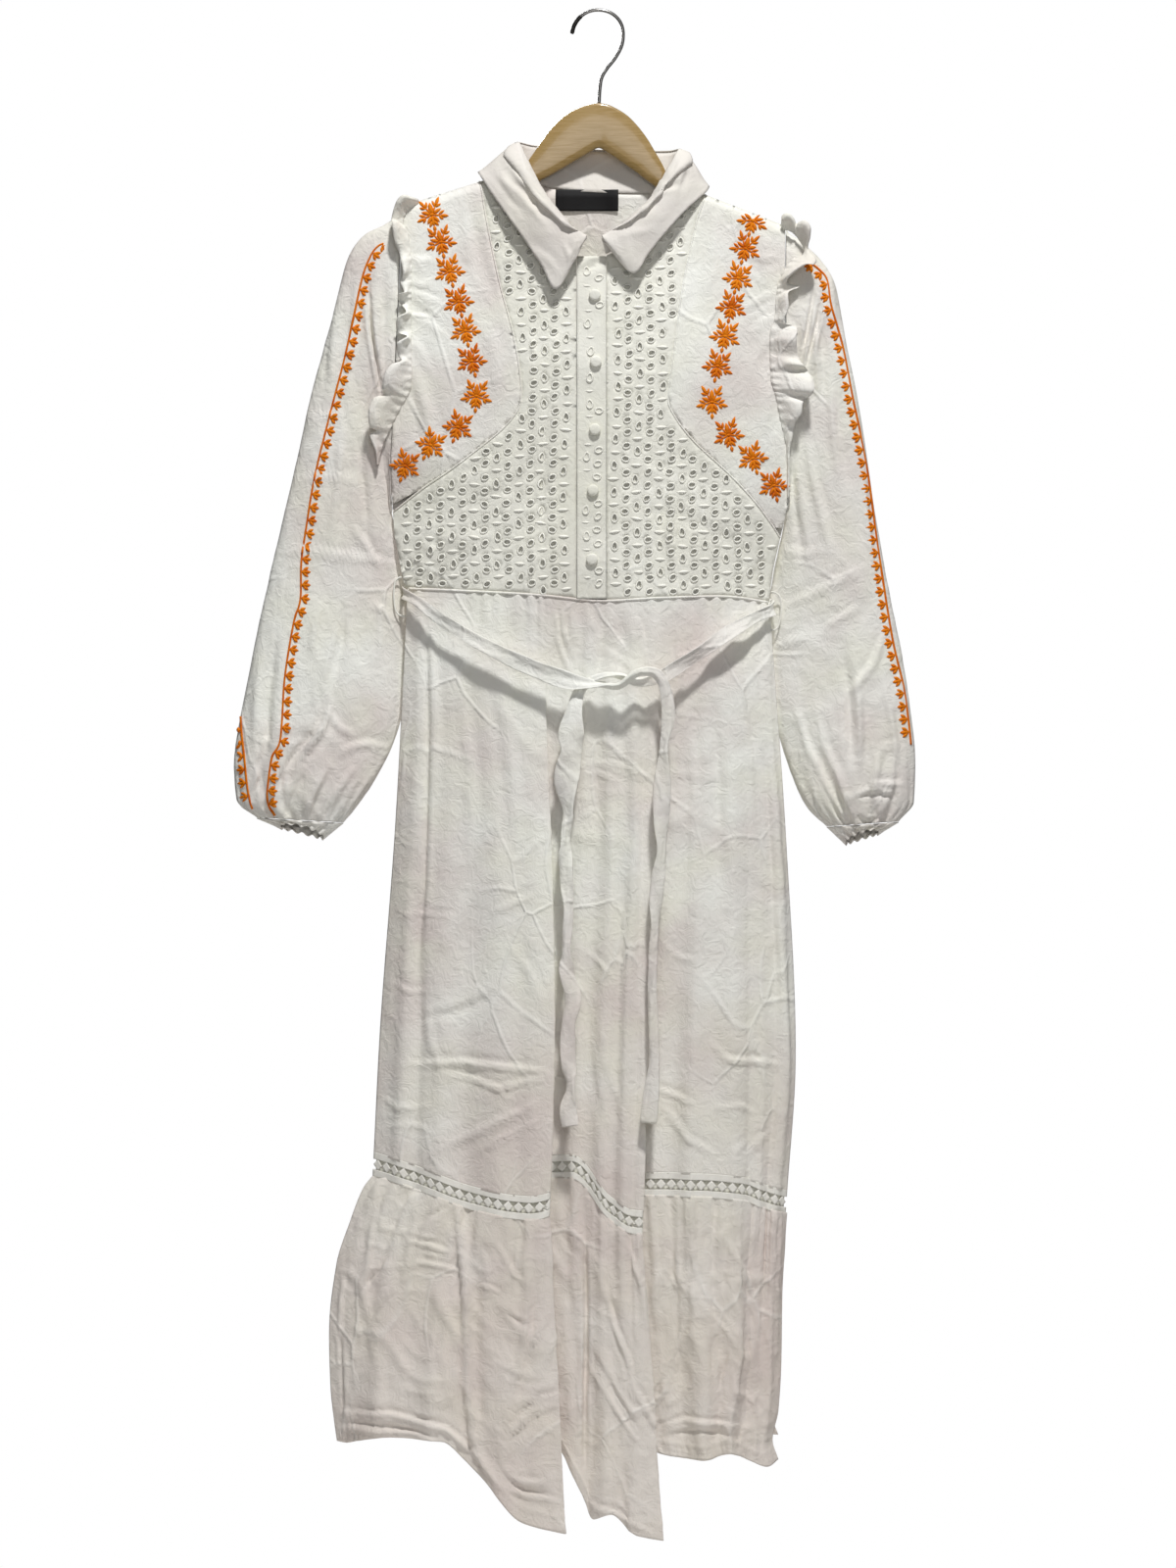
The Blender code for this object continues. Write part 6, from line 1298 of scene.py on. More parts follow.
sleeves = {
    "puffs": 11, "puffDepth": 2.2,
    # level; across and down of the outer and the inner edge; depth of the middle, its tilt and half the depth
    "left": table(
        (0, 411.2, 212, 400.6, 514, 0, 0, 9.5), (0.05, 397, 227, 398.3, 527, 0.5, 7, 13),
        (0.11, 372, 240, 400, 543, 2, 14, 16), (0.18, 356, 262, 404, 560, 3, 18, 18),
        (0.28, 338, 330, 411, 588, 4, 19, 19), (0.4, 319, 398, 417, 622, 5, 18, 20),
        (0.52, 299, 487, 419, 655, 6, 16, 21), (0.64, 279, 572, 415, 700, 6, 14, 22),
        (0.75, 257, 672, 404, 748, 6, 9, 23), (0.86, 239, 778, 386, 788, 5, 4, 23),
        (0.94, 241.5, 815, 367, 818, 4, 0, 18), (1, 262, 834, 350, 839, 4, 0, 12),
    ),
    "right": table(
        (0, 801.6, 232, 804.4, 513, 0, 0, 9.5), (0.05, 818, 247, 803, 527, 0.5, 7, 13),
        (0.11, 837, 265, 800, 543, 2, 14, 16), (0.18, 851, 289, 796, 560, 3, 18, 18),
        (0.28, 863, 350, 790, 590, 4, 19, 19), (0.4, 878, 424, 785, 624, 5, 18, 20),
        (0.52, 892, 520, 783, 660, 6, 16, 21), (0.64, 907.5, 606, 785, 704, 6, 14, 22),
        (0.75, 923.5, 688, 795, 748, 6, 9, 23), (0.86, 934, 778, 809, 792, 5, 4, 23),
        (0.94, 932.5, 818, 824, 824, 4, 0, 18), (1, 917, 838, 844, 843, 4, 0, 12),
    ),
    "creasesLeft": [
        (1.8, -3.4, 376, 290, 379, 335, 385, 372, 389, 402),
        (2, 1.4, 372, 290, 375, 335, 381, 374, 386, 402), (3, 1.8, 296, 488, 330, 487, 366, 490),
        (3, 1.8, 280, 564, 310, 562, 334, 565, 370, 570, 411, 577),
        (3, 2.2, 338, 718, 331, 742, 315, 765, 298, 785),
        (2.4, -2.8, 334, 716, 328, 733, 322, 745, 312, 758, 301, 771, 289, 785),
        (2.4, -1.8, 258, 815, 264, 800, 271, 786), (2.4, 1.8, 271, 734, 269, 750, 268, 769),
        (2.4, 1.8, 297, 795, 304, 783, 311, 774, 320, 775), (2.4, -1.6, 287, 784, 288, 802, 288, 822),
        (2.4, 1.8, 323, 703, 322, 712, 320, 720), (2.2, -1.6, 303, 735, 297, 745, 293, 757, 290, 767),
        (2.8, 1.8, 332, 722, 344, 740, 362, 752), (3, 1.7, 346, 770, 360, 762, 376, 759, 396, 764),
        (3, 1.6, 358, 536, 372, 554, 386, 578), (3, 1.5, 378, 616, 388, 622, 400, 632),
        (3.4, 1.5, 330, 612, 322, 640, 318, 668), (3.2, 1.8, 344, 640, 336, 668, 330, 696),
        (3, -1.5, 352, 620, 350, 660, 340, 700), (4, 1.6, 322, 300, 318, 360, 312, 420),
        (4, -1.6, 336, 290, 334, 350, 330, 400), (3.6, 1.4, 366, 280, 360, 340, 352, 400),
        (3.6, 1.5, 384, 270, 386, 330, 384, 400), (4.5, 1.6, 350, 430, 346, 500, 336, 560),
        (4, -1.5, 366, 440, 372, 500, 376, 560), (5, 1.8, 268, 660, 262, 710, 262, 770),
        (4, -1.6, 282, 650, 276, 710, 270, 770), (3, 1.8, 300, 760, 284, 790, 272, 822),
        (2.8, 1.8, 316, 775, 300, 800, 290, 828), (3, 1.8, 336, 780, 322, 806, 310, 832),
        (3, 1.8, 360, 785, 346, 806, 330, 832), (2.8, 1.6, 378, 790, 364, 812, 346, 834),
        (3, 1.2, 262, 780, 262, 800, 268, 826), (2.8, 1.4, 300, 420, 330, 425, 360, 420),
        (2.6, 1.2, 396, 540, 404, 552, 408, 570),
    ],
    "creasesRight": [
        (1.8, -3.2, 831, 295, 826, 325, 821, 350, 817, 372),
        (2, -3.2, 840, 300, 836, 322, 829, 350, 821, 380), (2.2, 1.6, 827, 296, 821, 330, 817, 352),
        (3.2, 1.8, 797, 621, 836, 603, 868, 586, 896, 577), (3, 1.5, 843, 640, 858, 630, 877, 621),
        (3, 2.2, 864, 711, 880, 692, 892, 676, 902, 646), (3, 1.5, 789, 660, 806, 655, 826, 650),
        (4.5, -2.4, 862, 661, 866, 710, 868, 780), (3.6, 1.8, 874, 700, 878, 740, 876, 790),
        (2.4, 1.7, 888, 800, 904, 800, 921, 800), (2.4, 1.6, 896, 767, 904, 761, 915, 760),
        (2.4, -1.8, 873, 816, 885, 811, 896, 810, 902, 813, 914, 811),
        (2.4, -1.8, 873, 832, 885, 840, 896, 834, 892, 827), (3.4, 1.5, 826, 300, 832, 350, 836, 410),
        (3.6, -1.5, 812, 320, 816, 380, 818, 430), (4, 1.6, 846, 380, 850, 440, 858, 500),
        (4, 1.5, 822, 450, 834, 510, 846, 560), (4, -1.6, 806, 460, 812, 520, 820, 580),
        (3, 1.5, 800, 560, 820, 566, 850, 560), (3.2, 1.6, 832, 720, 840, 760, 856, 800),
        (3.2, 1.7, 812, 720, 824, 764, 846, 806), (3, 1.7, 850, 770, 858, 800, 868, 832),
        (3, 1.7, 896, 770, 892, 800, 888, 830), (3, 1.7, 912, 760, 910, 796, 902, 830),
        (2.8, 1.6, 836, 790, 848, 812, 862, 836), (3, 1.4, 880, 480, 884, 530, 890, 580),
        (3, 1.3, 840, 240, 846, 280, 852, 330), (3.6, 1.5, 900, 690, 908, 730, 916, 780),
    ],
}
# which column of the side edges a sleeve starts from, the way it leaves the body, the seed of its small folds
sleeveSides = {"left": (1, -1, 81), "right": (2, 1, 91)}


def flatOval(turn, power):
    # |sin|^power with the sign of sin: a flattened section
    return np.sign(np.sin(turn)) * np.abs(np.sin(turn)) ** power


def sleeveBase(side, turn, level):
    # a flattened tube between its outer and inner edges; the section is |sin|^0.8 deep, puffed near the wrist
    outX, outD, inX, inD, midY, tilt, half = (smooth(sleeves[side], k, level) for k in range(1, 8))
    column, toward, _ = sleeveSides[side]
    c, s = np.cos(turn), np.sin(turn)
    x = inX + (outX - inX) * 0.5 * (1 + c)
    d = inD + (outD - inD) * 0.5 * (1 + c)
    puff = sleeves["puffDepth"] * np.sin(sleeves["puffs"] * turn + 1.3 * s) * ease((level - 0.72) / 0.2)
    puff = puff * np.abs(s) ** 0.5
    y = midY + tilt * 0.5 * (1 - c) - (half + puff) * flatOval(turn, 0.8)
    seam = straight(bodice["sideEdge"], column, d) + toward * 1.35
    return x + (seam - x) * (1 - ease(level / 0.05)), d, y


def sleeveRelief(side, turn, level, across, down):
    # creases in front and, moved a little, behind; crumple and noise; gathers at wrist and head
    s = np.sin(turn)
    hidden = ease(-s / 0.35)
    creases = sleeves["creases" + side.title()]
    seed = sleeveSides[side][2]
    relief = 1.8 * strokes(across, down, creases) * ease(s / 0.35)
    relief += strokes(across + 7, down - 11, creases) * hidden * 0.8
    soft = noise(across / 18 + 5 * hidden, down / 42, seed + 5)
    relief += 2 * crumple(across / 38 + 3 * hidden, down / 62, seed) + 0.9 * soft
    relief += 0.35 * noise(across / 7 + 5 * hidden, down / 14, seed + 6)
    relief += 1.5 * np.sin(23 * turn + 2 * np.sin(3 * turn)) * bell((level - 1) / 0.075)
    relief += 0.7 * np.sin(26 * turn) * bell(level / 0.05)
    calm = ease(level / 0.04) * (1 - 0.5 * ease((level - 0.97) / 0.03))
    return relief * calm * (0.35 + 0.65 * np.abs(s) ** 0.5)


def halfTurns(count):
    # angles over half a section, spaced partly evenly by angle and partly evenly across
    share = np.arange(count) / count
    return 0.45 * math.pi * share + 0.55 * np.arccos(1 - 2 * share)


turns = np.concatenate([halfTurns(72), math.pi + halfTurns(42)])
levels = np.concatenate([np.linspace(0, 0.12, 18)[:-1], np.linspace(0.12, 0.6, 52)[:-1],
                         np.linspace(0.6, 0.88, 46)[:-1], np.linspace(0.88, 1, 26)])
for side in sleeveSides:
    turn, level = np.meshgrid(turns, levels)
    x, d, y = sleeveBase(side, turn, level)
    points = place(x, d, y)
    normals = gridNormals(points, closed=True)
    if ((points - points.mean(axis=1, keepdims=True)) * normals).sum() < 0:
        normals = -normals
    points = points + sleeveRelief(side, turn, level, x, d)[..., None] * normals
    sewCloth("sleeve_" + side, points, gridFaces(*turn.shape, closed=True))


def sleeveDepth(side):
    # depth of the sleeve's front at a place on the sheet: the level is found by halving, its turn follows
    # from across
    def depthAt(across, down):
        low, high = np.zeros(np.shape(across)), np.ones(np.shape(across))
        for _ in range(16):
            level = 0.5 * (low + high)
            outX, outD, inX, inD = (smooth(sleeves[side], k, level) for k in range(1, 5))
            share = np.clip((across - inX) / np.where(np.abs(outX - inX) < 1, 1, outX - inX), 0.02, 0.98)
            below = inD + (outD - inD) * share < down
            low, high = np.where(below, level, low), np.where(below, high, level)
        turn = np.arccos(np.clip(2 * share - 1, -1, 1))
        x, d, y = sleeveBase(side, turn, level)
        return y - sleeveRelief(side, turn, level, x, d) * np.clip(np.sin(turn) * 1.3, 0.2, 1)
    return depthAt


print("sleeves made")


# wrist frills: the outer and inner ends of the upper edge, then of the lower one
cuffs = {
    "left": table((262, 834), (350, 839), (286, 844), (330, 855.5)),
    "right": table((917, 838), (844, 843), (897, 850), (863, 861)),
    "waves": 13,
}

turn, w = np.meshgrid(ring(200), np.linspace(0, 1, 13))
c = 0.5 * (1 + np.cos(turn))
wave = np.sin(cuffs["waves"] * turn) + 0.5 * np.sin(29 * turn + 1) * (1 - w)
elastic = bell((w - 0.25) / 0.16) - 0.8 * bell((w - 0.55) / 0.12)
tilt = 8 * w * np.clip(np.sin(turn), 0, 1) ** 0.7  # the front edge sits higher, so the mouth shows
y = 4 - (12 - 3 * w + (0.5 + 1.8 * w) * wave + 1.2 * elastic) * flatOval(turn, 0.8)
for side in ("left", "right"):
    rows = cuffs[side]
    outer, inner = (rows[k] + (rows[k + 2] - rows[k]) * w[..., None] for k in (0, 1))
    x, d = (inner[..., k] + (outer[..., k] - inner[..., k]) * c for k in (0, 1))
    points = place(x, d + 1 + 1.4 * w * wave - tilt, y)
    sewCloth("cuff_" + side, points, gridFaces(13, 200, closed=True))


# armhole frills, folds given one by one: across and down of the seam, then of the free edge, and how far that
# stands forward
ruffles = {
    "left": table(
        (427.5, 207.5, 427, 204, 2), (424, 210, 420, 202.5, 9), (420, 213, 412, 201, 12),
        (416, 217, 406, 206, 10), (413, 222, 402, 216, 6), (411.5, 228, 400, 225, 5),
        (413, 232, 400.5, 228.5, 12), (416, 238, 401, 236, 12), (418, 248, 403, 248, 9),
        (419, 258, 407.5, 259, 5), (420, 266, 410, 270, 8), (420.5, 276, 412, 281, 10),
        (420.5, 286, 409, 290, 4), (420, 296, 413, 300, 9), (420.5, 304, 407, 302, 8),
        (420, 312, 408, 310, 2), (420.5, 322, 415, 320, 9), (420, 330, 406, 326, 9),
        (420, 338, 406, 340, 3), (420, 348, 416, 345, 10), (420, 356, 406, 352, 10),
        (420, 364, 407, 364, 4), (420, 371, 410, 370, 8), (421, 378, 400, 374, 12),
        (421, 388, 393, 384, 14), (420, 398, 391, 398, 12), (415, 408, 392, 404, 7),
        (409, 418, 382, 408, 12), (404, 428, 377, 420, 14), (400, 436, 378, 436, 12),
        (396, 444, 384, 440, 5), (392, 452, 378, 444, 8), (390, 459, 380, 452, 8), (388, 466, 384, 462, 6),
        (387, 475, 385, 475, 3),
    ),
    "right": table(
        (797, 234, 797, 228, 3), (799, 235, 798, 221, 8), (804, 236, 804, 219.5, 11),
        (808, 238, 809, 224, 10), (810, 240, 812, 230, 4), (812, 242, 815, 228, 8),
        (815, 246, 821, 227, 12), (818, 251, 826, 233, 12), (820, 256, 826, 243, 8),
        (818, 262, 824, 255, 3), (810, 264, 832, 266, 10), (805, 268, 830, 272, 14),
        (800, 276, 822, 272, 16), (796, 284, 806, 283, 12), (793, 293, 803, 290, 4),
        (792, 300, 815, 294, 4), (791, 308, 804, 300, 10), (791, 318, 804, 315, 12),
        (790, 326, 800, 330, 8), (787, 333, 812, 334, 3), (785, 342, 813, 340, 8), (785, 352, 812, 352, 10),
        (785, 362, 814, 366, 6), (785, 372, 819, 374, 12), (786, 380, 824, 380, 5),
        (786, 388, 829, 390, 12), (788, 396, 829, 402, 14), (790, 402, 822, 408, 5),
        (792, 410, 818, 414, 12), (794, 420, 817, 424, 13), (796, 430, 812, 430, 10),
        (798, 438, 810, 436, 4), (800, 446, 808, 448, 4), (802, 456, 805.5, 458, 3),
        (803, 470, 805, 472, 2), (803, 490, 804.6, 492, 1.5), (803, 508, 804.4, 509, 1),
    ),
}

count = 310
w = np.linspace(0, 1, 13)[:, None]
t = np.linspace(0, 1, count)[None]
for side in ("left", "right"):
    rows = flowing(ruffles[side], count)
    # each rib leaves the cloth at the seam, bows forward and ends at the free edge, which curls a little
    base = onFront(rows[:, 0], rows[:, 1], 0.8)[:, 1]
    x, d = (rows[:, k] + (rows[:, k + 2] - rows[:, k]) * w for k in (0, 1))
    forward = rows[:, 4] * ease(w * 1.15) + 1.6 * np.sin(math.pi * w)
    gather = 0.6 * np.sin(210 * t + 4 * np.sin(17 * t)) * bell(w / 0.3)
    y = base - forward - gather - 0.45 * bell((w - 0.86) / 0.05) + 0.5 * noise(t * 60, w * 3, 111)
    sewCloth("ruffle_" + side, place(x, d, y), thick=0.7)
print("cuffs and armhole frills made")


embroidery = {
    # centre of each snowflake, its turn in degrees and how pale its thread is
    "flakesLeft": [
        (441, 220, 12, 0.9), (450, 248, 12, 0.3), (459, 278, 13, 0.9), (468, 309, 14, 0.1),
        (475, 339, 12, 0.8), (481.5, 370, 15, 0), (486.5, 405.5, -4, 0.8), (468, 437, -20, 0.2),
        (440, 455, -28, 1), (414, 476, -19, 0.2),
    ],
    "flakesRight": [
        (768, 226, -16, 0.7), (760.5, 254.5, -16, 0.2), (753, 285, -15, 0.9), (746, 314.5, -12, 0.1),
        (739.5, 344.5, -13, 0.8), (732, 375, -12, 0.2), (726, 411.5, 1, 0.9), (743, 445, 13, 0.1),
        (767.5, 468.5, 17, 0.8), (789, 496, 14, 0.1),
    ],
    # one snowflake: ends and half width of each petal, mm, y upwards; arms at 56, -16 and -90 degrees,
    # a wedge on top
    "wedge": [(0, 0, 0, 12.6, 2.6)],
    "bottom": [(0, -0.5, 0, -12.7, 1.8), (0, -11.5, 0, -17.8, 1.9), (-2.6, 0, 2.6, 0, 1.9)],
    "sides": [
        (0, 0, 5.6, 8.7, 1.1), (4.9, 7.4, 10.6, 16.8, 1.85), (4.6, 6.8, 2.9, 14.1, 1.5),
        (4.8, 7, 11.4, 9.1, 1.5), (0, 0, 8.6, -2.5, 1.15), (7.6, -2.5, 16.6, -4.7, 1.8),
        (1.2, 0.4, 10.3, 4.5, 1.95), (6.5, -1.1, 13.4, 1.9, 1.5), (6.6, -2.4, 10.6, -7.3, 1.5),
        (0.3, -1.4, 6.4, -9.2, 1.95), (0.3, -6.2, 4.8, -12.6, 1.75),
    ],
    # piping down the sleeve's seam; leaves stand beside it
    "pipingLeft": [
        (403, 246), (392, 249), (385, 253), (378, 263), (369, 288), (355, 354), (339, 416), (322, 485),
        (313, 538), (308, 573), (307, 612), (300, 637), (291, 694), (287, 754), (278, 775), (274, 816),
        (281, 832),
    ],
    "pipingLow": [
        (245.5, 731), (246.5, 745), (248.5, 762), (250.5, 777), (252.5, 798), (255.5, 817), (258, 825),
    ],
    "pipingRight": [
        (818, 262), (827, 269), (836, 276), (844, 287), (848, 313), (859, 352), (870, 408), (879, 449),
        (887, 493), (893, 538), (897, 568), (905, 622), (912, 661), (919.5, 692), (923.5, 712),
        (926.5, 735), (929, 760),
    ],
    "leafPitch": 13.4,
    # one leaf: ends and half width of each lobe, x away from the piping
    "leaf": [
        (0.4, 0, 3.4, 0, 1.1), (1.6, 0, 10.2, 0, 2.05), (2, 0.8, 7.7, 5.1, 1.8), (2, -0.8, 7.7, -5.1, 1.8),
        (3, 3, 3, -3, 2.1),
    ],
    "sleeveEdge": 240.5,
}


def endsToPetals(rows, centres, turn, mirror=1):
    # petals given by their two ends, turned and moved to each centre: centre, angle, half length,
    # half width, height
    rows = np.array(rows, float)[None]
    c, s = np.cos(turn)[:, None], np.sin(turn)[:, None]
    ends = []
    for x, y in ((rows[..., 0] * mirror, rows[..., 1]), (rows[..., 2] * mirror, rows[..., 3])):
        ends.append(np.stack([centres[:, :1] + x * c - y * s, centres[:, 1:2] - x * s - y * c], axis=-1))
    run = ends[1] - ends[0]
    middle = 0.5 * (ends[0] + ends[1])
    half = 0.5 * np.linalg.norm(run, axis=-1)
    width = np.broadcast_to(rows[..., 4], half.shape)
    angle = np.arctan2(run[..., 1], run[..., 0])
    rows = [middle[..., 0], middle[..., 1], angle, half, width, 0.55 + 0.45 * width]
    return np.stack(rows, axis=-1).reshape(-1, 6)


def addTone(piece, tone):
    # one value for each point, which the thread's material reads
    layer = piece.data.attributes.new("tone", "FLOAT", "POINT")
    layer.data.foreach_set("value", np.asarray(tone, np.float32).ravel())


def embroider(name, surface, petals, lift, tones=0.5):
    # tone on each point: half of it how pale the motif is, half a painted highlight that grows with how near
    # the point is to its petal's crest
    shape = petalShapes(surface, petals[:, :2], *petals[:, 2:].T, lift)
    crest = 1 - np.abs(shape[2][:, 1]).reshape(len(petals), -1) / petals[:, 4:5]
    tone = 0.5 * np.broadcast_to(tones, len(petals))[:, None] + 0.5 * np.clip(crest * 1.6, 0, 1)
    addTone(sew(name, shape, orangeThread), tone)


for side in ("left", "right"):
    flakes = np.array(embroidery["flakes" + side.title()], float)
    turn = np.radians(flakes[:, 2])
    parts = (("wedge", 1), ("bottom", 1), ("sides", 1), ("sides", -1))
    petals = np.vstack([endsToPetals(embroidery[key], flakes, turn, mirror) for key, mirror in parts])
    tones = np.concatenate([np.repeat(flakes[:, 3], len(embroidery[key])) for key, mirror in parts])
    # petals past the shoulder line are left off
    tip = np.abs(np.sin(petals[:, 2])) * petals[:, 3]
    keep = petals[:, 1] - tip > straight(bodice["shoulder"], 1, petals[:, 0]) + 0.6
    embroider("snowflakes_" + side, onFront, petals[keep], 0.45, tones[keep])


def leafPetals(path, toward):
    # leaves along the piping on its side given by toward, their stems on it
    full = evenPath(path, embroidery["leafPitch"])
    run = np.gradient(full[:, :2], axis=0)[1:-1]
    out = np.arctan2(run[:, 1], run[:, 0]) + toward * math.pi / 2
    petals = endsToPetals(embroidery["leaf"], full[1:-1, :2], -out)
    # lobes past the left sleeve's outer edge are left off
    return petals[petals[:, 0] - np.abs(np.cos(petals[:, 2])) * petals[:, 3] > embroidery["sleeveEdge"]]


def pipingShape(surface, path, radius):
    # a thin corded strip along the path: half round above the cloth, closed below
    rows = evenPath(np.asarray(path, float), 2)
    run = unit(np.gradient(rows[:, :2], axis=0))
    side = np.stack([-run[:, 1], run[:, 0]], axis=1)
    angles = np.linspace(0, math.pi, 6)
    offsets = np.concatenate([radius * np.cos(angles), [-radius, radius]])
    heights = np.concatenate([radius * 1.1 * np.sin(angles), [-0.3, -0.3]])
    flat = rows[:, None, :2] + offsets[None, :, None] * side[:, None]
    points = surface(flat[..., 0], flat[..., 1], np.broadcast_to(heights + 0.3, flat.shape[:2]))
    return tube(points, np.arange(len(rows)) * 2, 0.5)


for side, paths in (("left", (("pipingLeft", -1), ("pipingLow", 1))), ("right", (("pipingRight", 1),))):
    surface = surfaceOf(sleeveDepth(side))
    cords = joinShapes([pipingShape(surface, embroidery[key], 1.1) for key, toward in paths])
    piping = sew("sleeve_piping_" + side, cords, orangeThread)
    leaves = [leafPetals(np.array(embroidery[key], float), toward) for key, toward in paths]
    embroider("sleeve_leaves_" + side, surface, np.vstack(leaves), 0.4)
    addTone(piping, np.full(len(piping.data.vertices), 0.45))

# the rounded fold of cloth that a seam leaves on the outside
across = np.linspace(417.5, 783.5, 40)
for name, path, radius in (
    ("princess_seam_left", bodice["princessLeft"], 0.9),
    ("princess_seam_right", bodice["princessRight"], 0.9),
    ("waist_seam", np.stack([across, waistDown(across) + 0.2], axis=1), 1.3),
):
    sew(name, pipingShape(onFront, path, radius), voile)
print("embroidery made")


belt = {
    # across, down, depth, width and turn in degrees, from the end of the left tail to that of the right one
    "path": table(
        (582, 1146, -58, 19, 10), (580, 1128, -57.5, 18, -10), (583, 1104, -57, 10, 40),
        (580, 1080, -56.5, 15.5, -15), (580, 1045, -56, 14, 20), (585, 1018, -55, 18, 10),
        (579, 992, -54, 16.5, -20), (578, 968, -53.5, 10, 35), (580, 930, -52, 11.5, -30),
        (578, 890, -50.5, 15.5, 20), (577, 857, -50, 11.5, -35), (580, 830, -50, 13, 30),
        (578, 797, -50, 24.5, 5), (583, 768, -50, 22, -15), (583, 748, -50, 28, 8), (586, 726, -49, 18, 15),
        (590, 709, -46, 13, 20), (598, 699, -45, 10, 30), (612, 692.5, -49, 8.5, 60),
        (632, 692, -54, 8.5, 120), (650, 697, -50, 8.5, 150), (668, 694, -50, 12, 170),
        (684, 686, -48, 14, 180), (712, 668, -44, 14, 155), (745, 645, -36, 15, 200),
        (772, 630, -23, 12, 172), (789.5, 622, -7, 13, 180), (787, 619, 7, 15, 180),
        (776, 617, 17, 15, 180), (750, 617, 26, 17, 180), (690, 618, 33.5, 18, 180),
        (612, 619, 36, 18, 180), (520, 615, 33.5, 18, 180), (450, 608, 26, 17, 180),
        (425, 605, 17, 15, 180), (412.8, 605, 7, 15, 180), (411.5, 606, -6, 13, 180),
        (427, 615, -21, 10, 185), (455, 636, -34, 13, 165), (492, 658, -43, 15, 195),
        (535, 679, -48, 17, 172), (575, 694, -51, 18, 178), (598, 698, -53, 12, 210),
        (616, 698.5, -53, 8.5, 240), (632, 700, -56, 8.5, 300), (650, 687.5, -60, 8.5, 330),
        (668, 688, -58, 11, 355), (678, 703, -55, 13, 385), (681, 730, -54, 13, 366),
        (677, 762, -54, 10, 330), (675, 800, -54, 18, 356), (674, 838, -54, 16.5, 380),
        (674, 870, -54, 11.5, 400), (670, 902, -54, 15.5, 352), (667, 945, -54, 10, 395),
        (665, 1000, -54, 10, 340), (666, 1040, -54, 10, 372), (667, 1080, -54, 11.5, 345),
        (664, 1112, -54, 15.5, 350), (661, 1143, -54, 16.5, 362),
    ),
    "thick": 2, "bow": 1.4,
    # belt loops: across at the upper and lower end, the way out, down at both ends
    "left": (409.7, 414.1, -1, 589, 629), "right": (787, 787.2, 1, 604, 643),
}


def beltShape():
    # a flat tube swept along the path: each section is an oval of the row's width, turned by its own angle,
    # with lengthwise wrinkles and a crisp edge fold; it gets plumper where it is twisted in the knot
    rows = flowing(belt["path"], 640)
    centre = place(*rows[:, :3].T)
    run = unit(np.gradient(centre, axis=0))
    away = unit(np.stack([centre[:, 0] / 190**2, centre[:, 1] / 30**2, np.zeros(len(centre))], axis=-1))
    side = unit(np.cross(run, away))
    face = np.cross(side, run)
    length = runLength(centre)
    turn = np.radians(rows[:, 4] + 9 * noise(length / 30, 0 * length, 101))[:, None]
    across = side * np.cos(turn) + face * np.sin(turn)
    bow = face * np.cos(turn) - side * np.sin(turn)
    t, along = np.meshgrid(ring(24), length)
    width = 0.5 * rows[:, 3:4] * (1 + 0.08 * noise(length / 23, 0 * length, 102))[:, None]
    slim = np.clip((12 - rows[:, 3:4]) / 4, 0, 1)
    w = np.cos(t)
    half = 0.5 * belt["thick"] + 1.1 * slim
    wrinkle = 0.8 * noise(along / 38, w * 2.1 + 9, 103) + 1.3 * crumple(along / 40, w * 1.6 + 4, 104)
    wrinkle += 0.5 * noise(along / 11, w * 3 + 9, 105)
    wrinkle += slim * 0.9 * np.sin(3 * t + along / 9)
    up = flatOval(t, 0.6) * half + wrinkle * np.abs(np.sin(t)) ** 0.5
    points = centre[:, None] + across[:, None] * (width * w)[..., None]
    return points + bow[:, None] * (belt["bow"] * (1 - w * w) + up)[..., None]


sewCloth("tie_belt", *tube(beltShape())[:2], thick=0)


def rod(centre, radius, sides, cord=0, pitch=1):
    # a round rod along a path; cord gives it a twisted thread's spiral
    run = unit(np.gradient(centre, axis=0))
    across = unit(np.cross(run, [0, 1, 0]))
    other = np.cross(run, across)
    length = runLength(centre)
    turn = ring(sides)
    radius = np.broadcast_to(radius, len(centre))
    r = radius[:, None] * (1 + cord * np.abs(np.sin(turn[None] + length[:, None] * math.pi / pitch)))
    spoke = across[:, None] * np.cos(turn)[None, :, None] + other[:, None] * np.sin(turn)[None, :, None]
    return tube(centre[:, None] + r[..., None] * spoke, length)


for side in ("left", "right"):
    first, last, toward, top, bottom = belt[side]
    reach = 0.5 * (first + last) + toward * 9
    rows = table((first, top), (0.5 * (first + reach), top + 1), (reach, top + 6),
                 (reach + toward, 0.5 * (top + bottom)), (reach - toward, bottom - 6),
                 (0.5 * (last + reach), bottom - 1), (last, bottom))
    loop = rod(place(*flowing(rows, 90).T, 0), 0.75, 10, 0.25, 1.6)
    sew(f"belt_loop_{side}_thread", loop, whiteThread, node="belt_loop_" + side)
print("belt made")


